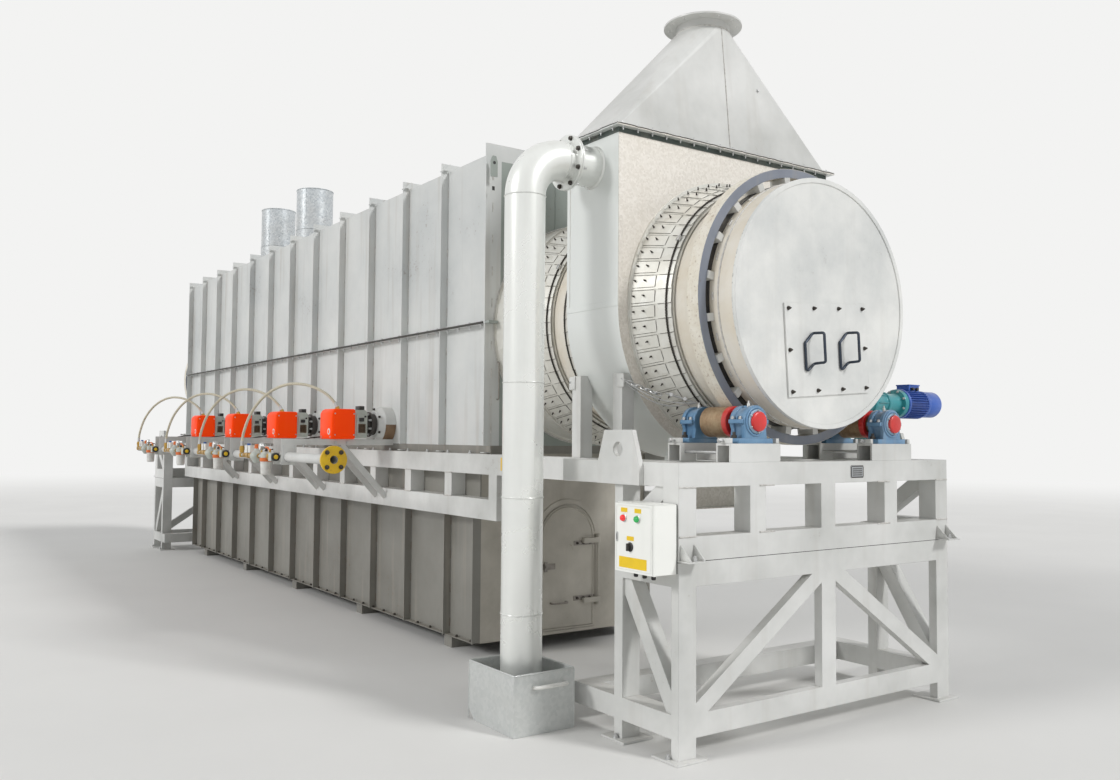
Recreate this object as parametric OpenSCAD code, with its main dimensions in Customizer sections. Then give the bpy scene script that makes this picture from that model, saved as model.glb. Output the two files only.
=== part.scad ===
// Gas fired rotary kiln: a steel drum turns on four rollers inside a long ribbed furnace.
// Units are millimetres. X runs along the drum towards its cover plate, Z is up,
// and the burners are on the -Y side. The origin is on the ground under the middle of the drum.

/* [Drum] */
// Outside radius of the drum shell
drum_r = 720; // [660:5:740]
// Thickness of the drum shell plate
drum_wall = 12; // [8:1:20]
// Clearance of the riding rings over the deck of the roller stands
tyre_clear = 90; // [80:5:110]
// Thickness of the plates that close the drum ends
end_plate_t = 16; // [10:1:30]
// How far the end plates stand out past the shell
end_plate_lip = 6; // [3:1:15]
// Distance from each stand face back to the drum end
drum_inset = 20; // [10:2:40]
// Radius of the feed mouth in the rear end plate
feed_mouth_r = 260; // [150:10:350]
// How far the feed mouth collar stands out
feed_collar_len = 60; // [30:5:80]
// Distance from the drum shell to the running surface of the riding rings
tyre_rise = 100; // [95:5:130]
// Radial thickness of the riding rings
tyre_h = 55; // [40:1:60]
// Width of the riding rings along the drum
tyre_w = 90; // [70:2:120]
// Distance from each stand face to its riding ring
tyre_x = 205; // [195:5:225]
// Number of spacer blocks under each riding ring
spacer_count = 20; // [12:1:28]
// Width of one spacer block around the drum
spacer_w = 45; // [30:1:70]
// How far the spacer blocks stand out past each side of the ring
spacer_over = 14; // [5:1:20]
// Width of the access cover on the front end plate
access_cover_w = 700; // [600:10:760]
// Height of the access cover
access_cover_h = 530; // [450:10:560]
// Thickness of the access cover
access_cover_t = 10; // [6:1:16]
// Angle at which the drum and its cover have stopped
drum_turn = 4; // [0:1:12]

/* [Rollers and bearings] */
// Radius of the support rollers
roller_r = 85; // [75:1:100]
// Width of the support rollers
roller_w = 200; // [160:5:210]
// Sideways distance from the drum axis to each roller
roller_y = 585; // [560:5:620]
// Radius of the roller shafts
shaft_r = 35; // [25:1:45]
// Length of one bearing block along the shaft
block_len = 110; // [90:2:115]
// Radius of the round body of a bearing block
block_r = 88; // [75:1:95]
// Width of the foot of a bearing block
block_foot_w = 260; // [220:5:300]
// Thickness of the foot of a bearing block
block_foot_h = 28; // [20:1:36]
// Height of the channels under the bearing blocks
pedestal_h = 100; // [80:2:110]
// Length across the drum of the channels under the bearing blocks
pedestal_w = 380; // [320:5:400]

/* [Roller stands] */
// Distance from the furnace to the face of the front stand
front_run = 2340; // [2250:10:2450]
// Distance from the furnace to the face of the rear stand
rear_run = 740; // [720:5:800]
// Overall width of the roller stands
stand_w = 2280; // [2200:10:2400]
// Height of the roller stands
stand_h = 1500; // [1480:5:1520]
// Height at which the upper and the lower frame are bolted together
split_z = 1000; // [950:5:1030]
// Size of the square tubes of the stands
tube = 120; // [100:2:130]
// Depth of the chords of the upper frame
chord_h = 125; // [100:1:140]
// Depth of the top beam of the lower frame
lower_beam_h = 130; // [100:2:150]
// Height of the underside of the bottom rails
rail_z = 110; // [80:5:150]
// Width of the diagonal braces
brace_w = 90; // [70:2:110]
// Depth of the channels of the lower face frames
channel_d = 54; // [40:2:80]
// Width of the inner legs along the drum
inner_leg_w = 70; // [60:2:100]
// Distance from the stand face to the inner legs
inner_leg_x = 450; // [430:5:480]
// Length of the top chords of the front stand
front_chord_len = 1017; // [900:10:1100]
// Length of the bottom rails of the front stand
front_rail_len = 893; // [800:10:950]
// Length of the chords and rails of the rear stand
rear_chord_len = 660; // [650:5:680]
// Thickness of the foot plates
foot_t = 12; // [8:1:20]
// Width of the foot plates
foot_w = 200; // [160:5:220]

/* [Furnace] */
// Length of one rib bay
bay = 685; // [600:5:720]
// Number of rib bays
bays = 12; // [10:1:12]
// Distance from the drum shell to the outside of the furnace side panels
furnace_side = 130; // [120:5:160]
// Thickness of the lined furnace walls
wall_t = 70; // [50:5:75]
// Height of the top of the roof panel above the drum axis
roof_rise = 1290; // [1190:10:1390]
// Height of the bolted joint between the two halves above the drum axis
joint_rise = 40; // [35:5:70]
// How far the ribs and joint flanges stand out
rib_d = 60; // [40:2:80]
// Thickness of the ribs and joint flanges
rib_t = 10; // [6:1:12]
// Gap between the turning drum and the furnace walls
drum_gap = 20; // [10:1:25]
// Diameter of the two flue stacks
stack_d = 450; // [350:10:500]
// Wall thickness of the flue stacks
stack_wall = 6; // [4:1:10]
// Height of the flue stacks above the roof
stack_h = 1010; // [500:10:1200]
// Number of rib bays between the stacks
stack_bays = 2; // [1:1:4]

/* [Underframe and base] */
// Depth of the chords of the side trusses
truss_chord_h = 145; // [120:1:160]
// Overall depth of the side trusses
truss_depth = 465; // [440:5:520]
// Height of the underside of the base casing
base_z = 100; // [80:5:140]
// How far the base casing is set back from the furnace ends
base_inset = 240; // [200:5:300]
// Thickness of the base casing plates
base_t = 10; // [6:1:16]
// Depth of the base casing ribs
base_rib_d = 60; // [40:2:70]
// Width of the doorway in the base casing
doorway_w = 420; // [360:10:440]
// Height of the sill of the doorway
doorway_sill = 170; // [160:5:250]
// Height of the top of the doorway
doorway_top = 940; // [850:10:960]
// Width of the round topped inspection door
door_w = 520; // [480:10:560]
// Thickness of the inspection door
door_t = 10; // [6:1:14]

/* [Gas hood] */
// Depth of the hood along the drum
hood_d = 520; // [450:10:600]
// Distance from the drum shell to the side plates of the hood
hood_side = 200; // [190:5:220]
// Height of the bolted top flange of the hood above the drum axis
hood_rise = 1070; // [1010:10:1140]
// Thickness of the hood plates
hood_t = 8; // [5:1:12]
// Distance from the front stand face to the hood
hood_x = 780; // [700:5:800]
// Height of the gas outlet face above the top flange of the hood
transition_h = 910; // [720:10:1020]
// Radius of the gas outlet duct
outlet_r = 178; // [120:1:200]
// Outside radius of the gas outlet flange
outlet_flange_r = 260; // [240:1:290]
// Pitch circle diameter of the gas outlet bolts
outlet_pcd = 450; // [430:2:460]
// Number of gas outlet bolts
outlet_bolts = 12; // [8:2:16]
// Distance from the side plates of the hood in to the foot of the seal cones
seal_inset = 100; // [80:5:120]
// Length of the seal cones along the drum
seal_len = 270; // [200:5:290]
// Length of the collar that carries the front seal of the furnace
seal_collar = 340; // [300:10:360]

/* [Vent pipe and tank] */
// Outside radius of the vent pipe
vent_r = 120; // [90:2:140]
// Wall thickness of the vent pipe
vent_wall = 6; // [4:1:10]
// Height of the vent stub above the drum axis
vent_rise = 870; // [740:5:910]
// Length of the stub between the hood and the vent flange
vent_stub = 190; // [150:5:220]
// Bend radius of the vent elbow
vent_bend = 250; // [230:5:300]
// Length of the water tank along the drum
tank_l = 485; // [420:5:560]
// Width of the water tank
tank_w = 400; // [340:5:440]
// Height of the water tank
tank_h = 330; // [280:5:400]
// Thickness of the tank plates
tank_t = 6; // [4:1:10]

/* [Burners] */
// Number of burners
burners = 4; // [2:1:4]
// Number of rib bays between burners
burner_bays = 2; // [2:1:2]
// Height of the burner axes above the roller stands
burner_h = 220; // [210:5:260]
// Distance from the furnace panel to the burner housing
burner_reach = 250; // [200:5:300]
// Length of the red burner covers
cover_len = 210; // [180:5:260]
// Width of the burner covers
cover_w = 260; // [220:5:300]
// Height of the burner covers
cover_h = 250; // [200:5:270]
// Radius of the burner port tubes
port_r = 150; // [110:5:155]
// Radius of the gas manifold
manifold_r = 38; // [25:1:50]
// Drop from the burner axes to the gas manifold axis
manifold_drop = 270; // [240:5:300]
// Distance from the furnace panel to the gas manifold
manifold_reach = 910; // [850:10:950]
// Radius of the burner hoses
hose_r = 12; // [8:1:16]

/* [Control box] */
// Width of the control box
box_w = 300; // [250:5:320]
// Height of the control box
box_h = 350; // [300:5:400]
// Depth of the control box
box_d = 145; // [120:5:180]
// Distance from the deck of the stands down to the underside of the control box
box_drop = 560; // [510:5:600]

/* [Hidden] */
$fn = 96;
tiny = 1;
// Running clearance of a shaft in its bore, and the gap between curved faces that meet
shaft_fit = 0.05;
face_gap = 0.3;
// Overshoot of a cutting shape, so that it clears the face it cuts
cut = 5;

// Finishes
paint = "#CDD0CC";
galvanised = "#AEB6BE";
bare_steel = "#8B7768";
block_blue = "#5F88AE";
signal_red = "#E8482A";
drive_teal = "#1D7077";
motor_blue = "#2C55A0";
hose_ivory = "#B9AE93";
lining = "#B8B4AA";

// Radii about the drum axis
tyre_r = drum_r + tyre_rise;
hood_r = drum_r + hood_side;
seal_r = hood_r - seal_inset;

// Heights above the ground
axis_z = stand_h + tyre_clear + tyre_r;
joint_z = axis_z + joint_rise;
roof_z = axis_z + roof_rise;
hood_top_z = axis_z + hood_rise;
outlet_z = hood_top_z + transition_h;
vent_z = axis_z + vent_rise;
burner_z = stand_h + burner_h;
manifold_z = burner_z - manifold_drop;
truss_z = stand_h - truss_depth;
box_z = stand_h - box_drop;

// Places along X
furnace_l = bay * bays;
furnace_x = furnace_l / 2;
front_x = furnace_x + front_run;
rear_x = -furnace_x - rear_run;
shell_x0 = rear_x + drum_inset + end_plate_t;
shell_x1 = front_x - drum_inset - end_plate_t;
hood_x1 = front_x - hood_x;
hood_x0 = hood_x1 - hood_d;
hood_mid = (hood_x0 + hood_x1) / 2;
base_x = furnace_x - base_inset;

// Places across Y
stand_y = stand_w / 2;
panel_y = drum_r + furnace_side;
rail_y1 = panel_y + rib_d;
rail_y0 = rail_y1 - tube;

// The rollers and their bearing blocks
roll_gap = 0.4;
roller_z = axis_z - sqrt(pow(tyre_r + roller_r + roll_gap, 2) - pow(roller_y, 2));
roller_mid = tyre_x + tyre_w / 2;
block_gap = 40;
front_block_x = roller_mid - roller_w / 2 - block_gap - block_len;
rear_block_x = roller_mid + roller_w / 2 + block_gap;
blind_cap_t = 30;
open_cap_t = 14;
bearing_cap_r = block_r * 0.72;
shaft_end_gap = 3;
block_neck_w = 150;
pedestal_t = 12;

// Thickness of the sealing compound behind the access cover
cover_gap = 0.2;

// The drive behind the front right roller
drive_half = 60;
drive_gap = 20;
drive_wall = 14;
drive_x = rear_block_x + block_len + drive_gap + drive_half;
worm_offset = 160;
worm_gap = 105;
worm_y0 = roller_y + worm_gap;
wheel_case_r = 80;
worm_case_r = 80;
worm_reach = 300;
drive_case_y1 = stand_y + worm_reach;
motor_r = 105;
motor_len = 260;
fan_cover_len = 140;
drive_foot_h = 110;
fan_step = 12;
drive_post_w = 90;
plain_shaft_x = rear_block_x + block_len + open_cap_t + shaft_end_gap;
driven_shaft_x = drive_x + drive_half - drive_wall - shaft_end_gap;

// The stands
upper_post_n = 3;
window_z0 = split_z + chord_h;
window_z1 = stand_h - chord_h;
lower_top = split_z - lower_beam_h;
rail_top = rail_z + tube;
ear_x = 461;
ear_half = 183;
ear_top_half = 120;
ear_t = 30;
ear_shoulder = 20;
ear_rise = 170;
ear_top_z = stand_h + ear_rise;
ear_hole_r = 40;
ear_hole_rise = 65;
ear_hole_z = stand_h + ear_hole_rise;

// The furnace
floor_t = 60;
roof_t = 60;
joint_t = 8;
floor_z = stand_h + floor_t;
rib_pitch = (furnace_l - rib_t) / bays;
function rib_x(k) = -furnace_x + rib_t / 2 + k * rib_pitch;
truss_over = 190;
truss_post_w = 110;
truss_post_x = 520;
sleeper_w = 120;
sleepers = 5;
sleeper_inset = 470;

// The inspection door hangs on a rod held by two lugs
door_gap = 0.5;
door_lap = 40;
door_z0 = doorway_sill - door_lap;
door_arch_drop = 110;
door_arch_z = doorway_top - door_arch_drop;
rod_r = 10;
rod_out = 25;
rod_side = 30;
strap_h = 40;
lug_h = 24;
lug_gap = 1;
strap_len = 120;
lug_r = 18;
rod_lift = 190;
rod_z0 = door_z0 + rod_lift;
rod_z1 = door_arch_z;

// The hood
hood_gap = 25;
hood_hole_r = drum_r + hood_gap;
flange_w = 45;
flange_t = 8;
neck_h = 60;
outlet_bolt_r = 9;
outlet_flange_t = 12;
seal_t = 12;
seal_clear = 6;
spout_w = 400;
spout_l = 300;
spout_drop = 310;
spout_z = axis_z - hood_r - spout_drop;
spout_flange = 45;
spout_bolt_r = 7;
post_w = 90;
post_h = 510;
post_top = stand_h + post_h;

// The vent pipe
tank_gap = 70;
stub_end = hood_r + vent_stub;
vent_flange_t = 12;
vent_y = max(stand_y + tank_gap + tank_w / 2, stub_end + vent_flange_t + vent_bend);
vent_flange_r = 160;
vent_foot_z = 60;
tank_cut = 60;

// The burners
manifold_y = panel_y + manifold_reach;
burner_x0 = furnace_x - (burner_bays + 0.5) * bay;
function burner_x(k) = burner_x0 - k * burner_bays * bay;
burner_hole_r = 80;
blast_r = 74;
body_w = 240;
body_len = 110;
body_y = panel_y + burner_reach;
port_len = 140;
port_wall = 8;
flange_r = 105;
flange_len = 60;
cover_cut = 40;
bracket_t = 8;
bracket_half = 90;
bar_h = 50;
burner_base = burner_z - cover_h / 2;
manifold_front = 1040;
manifold_rear = 1190;
manifold_flange_r = 100;
manifold_flange_t = 18;
manifold_bolt_r = 9;
manifold_pcd = 150;
train_gap = 90;
train_y = manifold_y + train_gap;
train_r = 14;
valve_half = 35;
filter_x = 190;
filter_r = 45;
filter_h = 190;
filter_top = 40;
regulator_x = 430;
regulator_r = 50;
regulator_h = 120;
nipple_r = 22;
hose_x = 840;
hose_start_h = 60;
hose_sides = 8;
// Route of one hose, from the top of its nipple to the top of the burner cover at x = 0
hose_route = [
    [-840, -1850, 1510], [-840, -1845, 1610], [-815, -1830, 1700], [-785, -1810, 1780],
    [-745, -1785, 1850], [-700, -1755, 1910], [-645, -1725, 1960], [-590, -1690, 2000],
    [-530, -1655, 2030], [-465, -1620, 2050], [-400, -1580, 2062], [-335, -1545, 2062],
    [-270, -1510, 2055], [-210, -1475, 2040], [-155, -1440, 2018], [-105, -1405, 1990],
    [-65, -1375, 1958], [-35, -1350, 1922], [-12, -1328, 1885], [0, -1315, 1845]];

// The control box
box_t = 4;
box_x1 = 10;
box_door_t = 18;
box_hinge_r = 8;

// A block between two corners
module block(from, to) {
    translate(from) cube(to - from);
}

// A round bar along X from x0 to x1
module bar_x(r, x0, x1) {
    translate([x0, 0, 0]) rotate([0, 90, 0]) cylinder(r = r, h = x1 - x0);
}

// A ring about the X axis
module ring_x(r_out, r_in, x0, x1) {
    difference() {
        bar_x(r_out, x0, x1);
        bar_x(r_in, x0 - cut, x1 + cut);
    }
}

// Copies a shape to both sides of the drum
module both_sides() {
    children();
    mirror([0, 1, 0]) children();
}

// Puts a shape, drawn with X running inwards from the stand face, at the front or rear stand
module at_front() {
    translate([front_x, 0, 0]) mirror([1, 0, 0]) children();
}
module at_rear() {
    translate([rear_x, 0, 0]) children();
}

// A brace of the given width between two points of a flat frame, as an outline
module brace(a, b, w) {
    run = b - a;
    side = [-run[1], run[0]] / norm(run) * w / 2;
    polygon([a - side, b - side, b + side, a + side]);
}

// Stretches an outline drawn in Y and Z along X
module plate_yz(x0, x1) {
    translate([x0, 0, 0]) rotate([90, 0, 90]) linear_extrude(x1 - x0) children();
}

// Stretches an outline drawn in X and Z along Y
module plate_xz(y0, y1) {
    translate([0, y1, 0]) rotate([90, 0, 0]) linear_extrude(y1 - y0) children();
}

// Face frame of a stand: legs, chords, posts and an inverted V of braces
module face_frame() {
    leg_in = stand_y - tube;
    post_pitch = stand_w / (upper_post_n + 1);
    both_sides() {
        block([0, leg_in, foot_t], [channel_d, stand_y, lower_top]);
        block([0, leg_in, lower_top], [tube, stand_y, stand_h]);
        block([tube / 2 - foot_w / 2, leg_in + tube / 2 - foot_w / 2, 0],
            [tube / 2 + foot_w / 2, leg_in + tube / 2 + foot_w / 2, foot_t]);
    }
    block([0, -leg_in, window_z1], [tube, leg_in, stand_h]);
    block([0, -leg_in, split_z], [tube, leg_in, window_z0]);
    block([0, -leg_in, lower_top], [tube, leg_in, split_z]);
    block([0, -leg_in, rail_z], [channel_d, leg_in, rail_top]);
    for (i = [1 : upper_post_n])
        block([0, -stand_y + i * post_pitch - tube / 2, window_z0],
            [tube, -stand_y + i * post_pitch + tube / 2, window_z1]);
    block([0, -tube / 2, rail_top], [channel_d, tube / 2, lower_top]);
    intersection() {
        plate_yz(0, channel_d)
            for (s = [-1, 1])
                brace([s * leg_in, rail_top], [s * tube / 2, lower_top], brace_w);
        block([0, -leg_in, rail_top], [channel_d, leg_in, lower_top]);
    }
}

// Brace of a side frame, cut off square where its corners meet the frame
module side_brace(inner, outer) {
    intersection() {
        plate_xz(stand_y - (tube + brace_w) / 2, stand_y - (tube - brace_w) / 2)
            brace(inner, outer, brace_w);
        block([outer[0], stand_y - tube, min(inner[1], outer[1])],
            [inner[0], stand_y, max(inner[1], outer[1])]);
    }
}

// Side frames of a stand, with the inner legs and braces
module side_frames(chord_len, rail_len) {
    inner_x1 = inner_leg_x + inner_leg_w;
    both_sides() {
        block([tube, stand_y - tube, window_z1], [chord_len, stand_y, stand_h]);
        block([tube, stand_y - tube, lower_top], [inner_x1, stand_y, window_z0]);
        block([channel_d, stand_y - tube, rail_z], [rail_len, stand_y, rail_top]);
        block([inner_leg_x, stand_y - tube, foot_t], [inner_x1, stand_y, window_z1]);
        block([inner_leg_x + inner_leg_w / 2 - foot_w / 2, stand_y - tube / 2 - foot_w / 2, 0],
            [inner_leg_x + inner_leg_w / 2 + foot_w / 2, stand_y - tube / 2 + foot_w / 2, foot_t]);
        side_brace([inner_leg_x, lower_top], [channel_d, rail_top]);
        side_brace([inner_leg_x, window_z0], [tube, window_z1]);
    }
}

// Beams that join the two sides of a stand behind its face
module cross_beams(rail_len) {
    beam_y = stand_y - tube;
    inner_x1 = inner_leg_x + inner_leg_w;
    block([inner_x1 - tube, -beam_y, window_z1], [inner_x1, beam_y, stand_h]);
    block([inner_x1 - inner_leg_w, -beam_y, lower_top], [inner_x1, beam_y, split_z]);
    block([rail_len - tube, -beam_y, rail_z], [rail_len, beam_y, rail_top]);
}

module stand_face_frames() {
    color(paint) {
        at_front() face_frame();
        at_rear() face_frame();
    }
}
module stand_side_frames() {
    color(paint) {
        at_front() side_frames(front_chord_len, front_rail_len);
        at_rear() side_frames(rear_chord_len, rear_chord_len);
    }
}
module stand_cross_beams() {
    color(paint) {
        at_front() cross_beams(front_rail_len);
        at_rear() cross_beams(rear_chord_len);
    }
}

// Plates with an eye, welded to the outside of the stand chords for lifting
module lifting_plate_pair() {
    both_sides()
        difference() {
            plate_xz(stand_y, stand_y + ear_t)
                polygon([[ear_x - ear_half, window_z1], [ear_x + ear_half, window_z1],
                    [ear_x + ear_half, stand_h - ear_shoulder], [ear_x + ear_top_half, ear_top_z],
                    [ear_x - ear_top_half, ear_top_z], [ear_x - ear_half, stand_h - ear_shoulder]]);
            translate([ear_x, stand_y + ear_t + cut, ear_hole_z]) rotate([90, 0, 0])
                cylinder(r = ear_hole_r, h = ear_t + 2 * cut);
        }
}
module lifting_plates() {
    color(paint) {
        at_front() lifting_plate_pair();
        at_rear() lifting_plate_pair();
    }
}

// Long side trusses that carry the furnace and tie the two stands together
module side_trusses() {
    inner_x1 = inner_leg_x + inner_leg_w;
    truss_x = furnace_x + truss_over;
    low_top = truss_z + truss_chord_h;
    high_low = stand_h - truss_chord_h;
    color(paint) both_sides() {
        block([rear_x + inner_x1, rail_y0, high_low], [front_x - inner_x1, rail_y1, stand_h]);
        block([-furnace_x, rail_y0, truss_z], [truss_x, rail_y1, low_top]);
        for (k = [0 : bays - 2])
            translate([furnace_x - truss_post_x - k * bay - truss_post_w / 2, rail_y0, low_top])
                cube([truss_post_w, tube, high_low - low_top]);
        block([-furnace_x, rail_y0, low_top], [truss_post_w - furnace_x, rail_y1, high_low]);
        block([truss_x - truss_post_w, rail_y0, low_top], [truss_x, rail_y1, high_low]);
    }
}

// Cross sleepers on the ground under the base casing
module sleepers() {
    pitch = 2 * (base_x - sleeper_inset) / (sleepers - 1);
    color(paint)
        for (k = [0 : sleepers - 1])
            translate([-base_x + sleeper_inset + k * pitch - sleeper_w / 2, -rail_y0, 0])
                cube([sleeper_w, 2 * rail_y0, base_z]);
}

module base_side_walls() {
    color(paint) both_sides() {
        block([-base_x, rail_y0 - base_t, base_z], [base_x, rail_y0, stand_h]);
        for (k = [1 : bays - 1])
            block([rib_x(k) - rib_t / 2, rail_y0, base_z],
                [rib_x(k) + rib_t / 2, rail_y0 + base_rib_d, truss_z]);
        for (x = [-base_x, base_x - rib_t])
            block([x, rail_y0, base_z], [x + rib_t, rail_y0 + base_rib_d, truss_z]);
    }
}

// End plates of the base casing; the front one has the doorway and the door's hinge rod
module base_end_plate(x0) {
    block([x0, base_t - rail_y0, base_z], [x0 + base_t, rail_y0 - base_t, stand_h]);
}
module base_front_wall() {
    rod_x = base_x + rod_out;
    rod_y = door_w / 2 + rod_side;
    color(paint) {
        difference() {
            base_end_plate(base_x - base_t);
            block([base_x - base_t - cut, -doorway_w / 2, doorway_sill],
                [base_x + cut, doorway_w / 2, doorway_top]);
        }
        translate([rod_x, rod_y, rod_z0 - lug_h]) cylinder(r = rod_r, h = rod_z1 - rod_z0 + 2 * lug_h);
        for (z = [rod_z0 - lug_h, rod_z1]) {
            translate([rod_x, rod_y, z]) cylinder(r = lug_r, h = lug_h);
            block([base_x, rod_y - lug_r, z], [rod_x, rod_y + lug_r, z + lug_h]);
        }
    }
}
module base_rear_wall() { color(paint) base_end_plate(-base_x); }

// Round topped door with two straps around the hinge rod
module inspection_door() {
    back = base_x + door_gap;
    rod_x = base_x + rod_out;
    rod_y = door_w / 2 + rod_side;
    color(paint)
        difference() {
            union() {
                plate_yz(back, back + door_t) {
                    translate([-door_w / 2, door_z0]) square([door_w, door_arch_z - door_z0]);
                    intersection() {
                        translate([0, door_arch_z]) circle(r = door_w / 2);
                        translate([-door_w / 2, door_arch_z]) square([door_w, door_w]);
                    }
                }
                for (z = [rod_z0 + lug_gap, rod_z1 - strap_h - lug_gap]) {
                    translate([rod_x, rod_y, z]) cylinder(r = lug_r, h = strap_h);
                    block([back + door_t, door_w / 2 - strap_len, z], [rod_x + lug_r, rod_y, z + strap_h]);
                }
            }
            translate([rod_x, rod_y, rod_z0]) cylinder(r = rod_r + shaft_fit, h = rod_z1 - rod_z0);
        }
}

module furnace_floor() {
    color(lining) block([-furnace_x, -panel_y, stand_h], [furnace_x, panel_y, floor_z]);
}

// A lined side wall with upright ribs and the bolted joint flange at z_joint
module ribbed_wall(z0, z1, z_joint, z_rib) {
    z_flange = z_joint == z1 ? z1 - joint_t : z_joint;
    block([-furnace_x, panel_y - wall_t, z0], [furnace_x, panel_y, z1]);
    block([-furnace_x, panel_y, z_flange], [furnace_x, panel_y + rib_d, z_flange + joint_t]);
    for (k = [0 : bays])
        block([rib_x(k) - rib_t / 2, panel_y, z_rib], [rib_x(k) + rib_t / 2, panel_y + rib_d, z1]);
}
module furnace_lower_right_wall() {
    color(paint) ribbed_wall(floor_z, joint_z, joint_z, floor_z);
}
module furnace_lower_left_wall() {
    color(paint)
        difference() {
            mirror([0, 1, 0]) ribbed_wall(floor_z, joint_z, joint_z, floor_z);
            for (k = [0 : burners - 1])
                translate([burner_x(k), cut - panel_y + wall_t, burner_z]) rotate([90, 0, 0])
                    cylinder(r = burner_hole_r, h = wall_t + 2 * cut);
        }
}
module furnace_upper_side_walls() {
    color(paint) both_sides() ribbed_wall(joint_z, roof_z - roof_t, joint_z, joint_z);
}

// End walls between the side walls, with the lower or the upper part of the drum hole
module end_wall_pair(z0, z1, z_flange) {
    inner_y = panel_y - wall_t;
    reach = wall_t + rib_d + cut;
    for (s = [-1, 1])
        difference() {
            union() {
                block([s * (furnace_x - wall_t / 2) - wall_t / 2, -inner_y, z0],
                    [s * (furnace_x - wall_t / 2) + wall_t / 2, inner_y, z1]);
                difference() {
                    block([s * (furnace_x + rib_d / 2) - rib_d / 2, -rail_y1, z_flange],
                        [s * (furnace_x + rib_d / 2) + rib_d / 2, rail_y1, z_flange + joint_t]);
                    translate([0, 0, axis_z])
                        bar_x(seal_r + seal_t + face_gap, s * furnace_x - reach, s * furnace_x + reach);
                }
            }
            translate([0, 0, axis_z]) bar_x(drum_r + drum_gap, s * furnace_x - reach, s * furnace_x + reach);
        }
}
module furnace_lower_end_walls() { color(paint) end_wall_pair(floor_z, joint_z, joint_z - joint_t); }
module furnace_upper_end_walls() { color(paint) end_wall_pair(joint_z, roof_z - roof_t, joint_z); }

// Roof slab with ribs over the top and two flue holes
function stack_x(k) = rib_x(1 + k * stack_bays) + rib_pitch / 2;
module furnace_roof() {
    color(paint)
        difference() {
            union() {
                block([-furnace_x, -panel_y, roof_z - roof_t], [furnace_x, panel_y, roof_z]);
                for (k = [0 : bays])
                    block([rib_x(k) - rib_t / 2, -rail_y1, roof_z - roof_t],
                        [rib_x(k) + rib_t / 2, rail_y1, roof_z + rib_d]);
            }
            for (i = [0 : 1])
                translate([stack_x(i), 0, roof_z - roof_t - cut])
                    cylinder(d = stack_d - 2 * stack_wall, h = roof_t + 2 * cut);
        }
}
module roof_stacks() {
    color(galvanised)
        for (i = [0 : 1])
            translate([stack_x(i), 0, roof_z])
                difference() {
                    cylinder(d = stack_d, h = stack_h);
                    translate([0, 0, -cut]) cylinder(d = stack_d - 2 * stack_wall, h = stack_h + 2 * cut);
                }
}

// Outline of the hood: square above the drum axis and half round below it
module hood_outline(r, top) {
    translate([-r, axis_z]) square([2 * r, top - axis_z]);
    intersection() {
        translate([0, axis_z]) circle(r = r, $fn = 192);
        translate([-r, axis_z - r - cut]) square([2 * r, r + 2 * cut]);
    }
}

// Bolting flange around the open top of the hood
module hood_flange(z0, r) {
    difference() {
        block([hood_x0 - flange_w, -r - flange_w, z0], [hood_x1 + flange_w, r + flange_w, z0 + flange_t]);
        block([hood_x0, -r, z0 - cut], [hood_x1, r, z0 + flange_t + cut]);
    }
}

// Casing of the hood: two side plates and the round belly, in one bent plate
module hood_casing() {
    color(galvanised) {
        difference() {
            plate_yz(hood_x0, hood_x1) hood_outline(hood_r, hood_top_z);
            plate_yz(hood_x0 - cut, hood_x1 + cut) hood_outline(hood_r - hood_t, hood_top_z + cut);
            block([hood_mid - spout_l / 2 + hood_t, hood_t - spout_w / 2, axis_z - hood_r - cut],
                [hood_mid + spout_l / 2 - hood_t, spout_w / 2 - hood_t, axis_z - hood_r / 2]);
            translate([hood_mid, cut - hood_r + hood_t, vent_z]) rotate([90, 0, 0])
                cylinder(r = vent_r - vent_wall, h = hood_t + 2 * cut);
        }
        hood_flange(hood_top_z - flange_t, hood_r);
    }
}

// Front and rear plates of the hood, with the holes that the drum turns in
module hood_end_plates() {
    color(galvanised)
        for (x = [hood_x0, hood_x1 - hood_t])
            difference() {
                plate_yz(x, x + hood_t) hood_outline(hood_r - hood_t - face_gap, hood_top_z);
                translate([0, 0, axis_z]) bar_x(hood_hole_r, x - cut, x + hood_t + cut);
            }
}

// Tapering duct from the rectangular hood to the round outlet
module transition_form(inset, low, high) {
    hull() {
        translate([hood_x0 + inset, inset - hood_r, hood_top_z - low])
            cube([hood_d - 2 * inset, 2 * (hood_r - inset), tiny]);
        translate([hood_mid, 0, outlet_z - neck_h - tiny + high])
            cylinder(r = outlet_r - inset, h = tiny, $fn = 32);
    }
}
module gas_transition() {
    color(paint)
        difference() {
            union() {
                transition_form(0, 0, 0);
                hood_flange(hood_top_z, hood_r - tiny);
            }
            transition_form(hood_t, tiny, tiny);
        }
}

// Round neck and drilled flange on top of the transition
module gas_outlet() {
    color(paint)
        translate([hood_mid, 0, outlet_z])
            difference() {
                union() {
                    translate([0, 0, -neck_h]) cylinder(r = outlet_r, h = neck_h);
                    translate([0, 0, -outlet_flange_t]) cylinder(r = outlet_flange_r, h = outlet_flange_t);
                }
                translate([0, 0, -neck_h - cut]) cylinder(r = outlet_r - hood_t, h = neck_h + 2 * cut);
                for (k = [0 : outlet_bolts - 1])
                    rotate([0, 0, (k + 0.5) * 360 / outlet_bolts])
                        translate([outlet_pcd / 2, 0, -outlet_flange_t - cut])
                            cylinder(r = outlet_bolt_r, h = outlet_flange_t + 2 * cut);
            }
}

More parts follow.
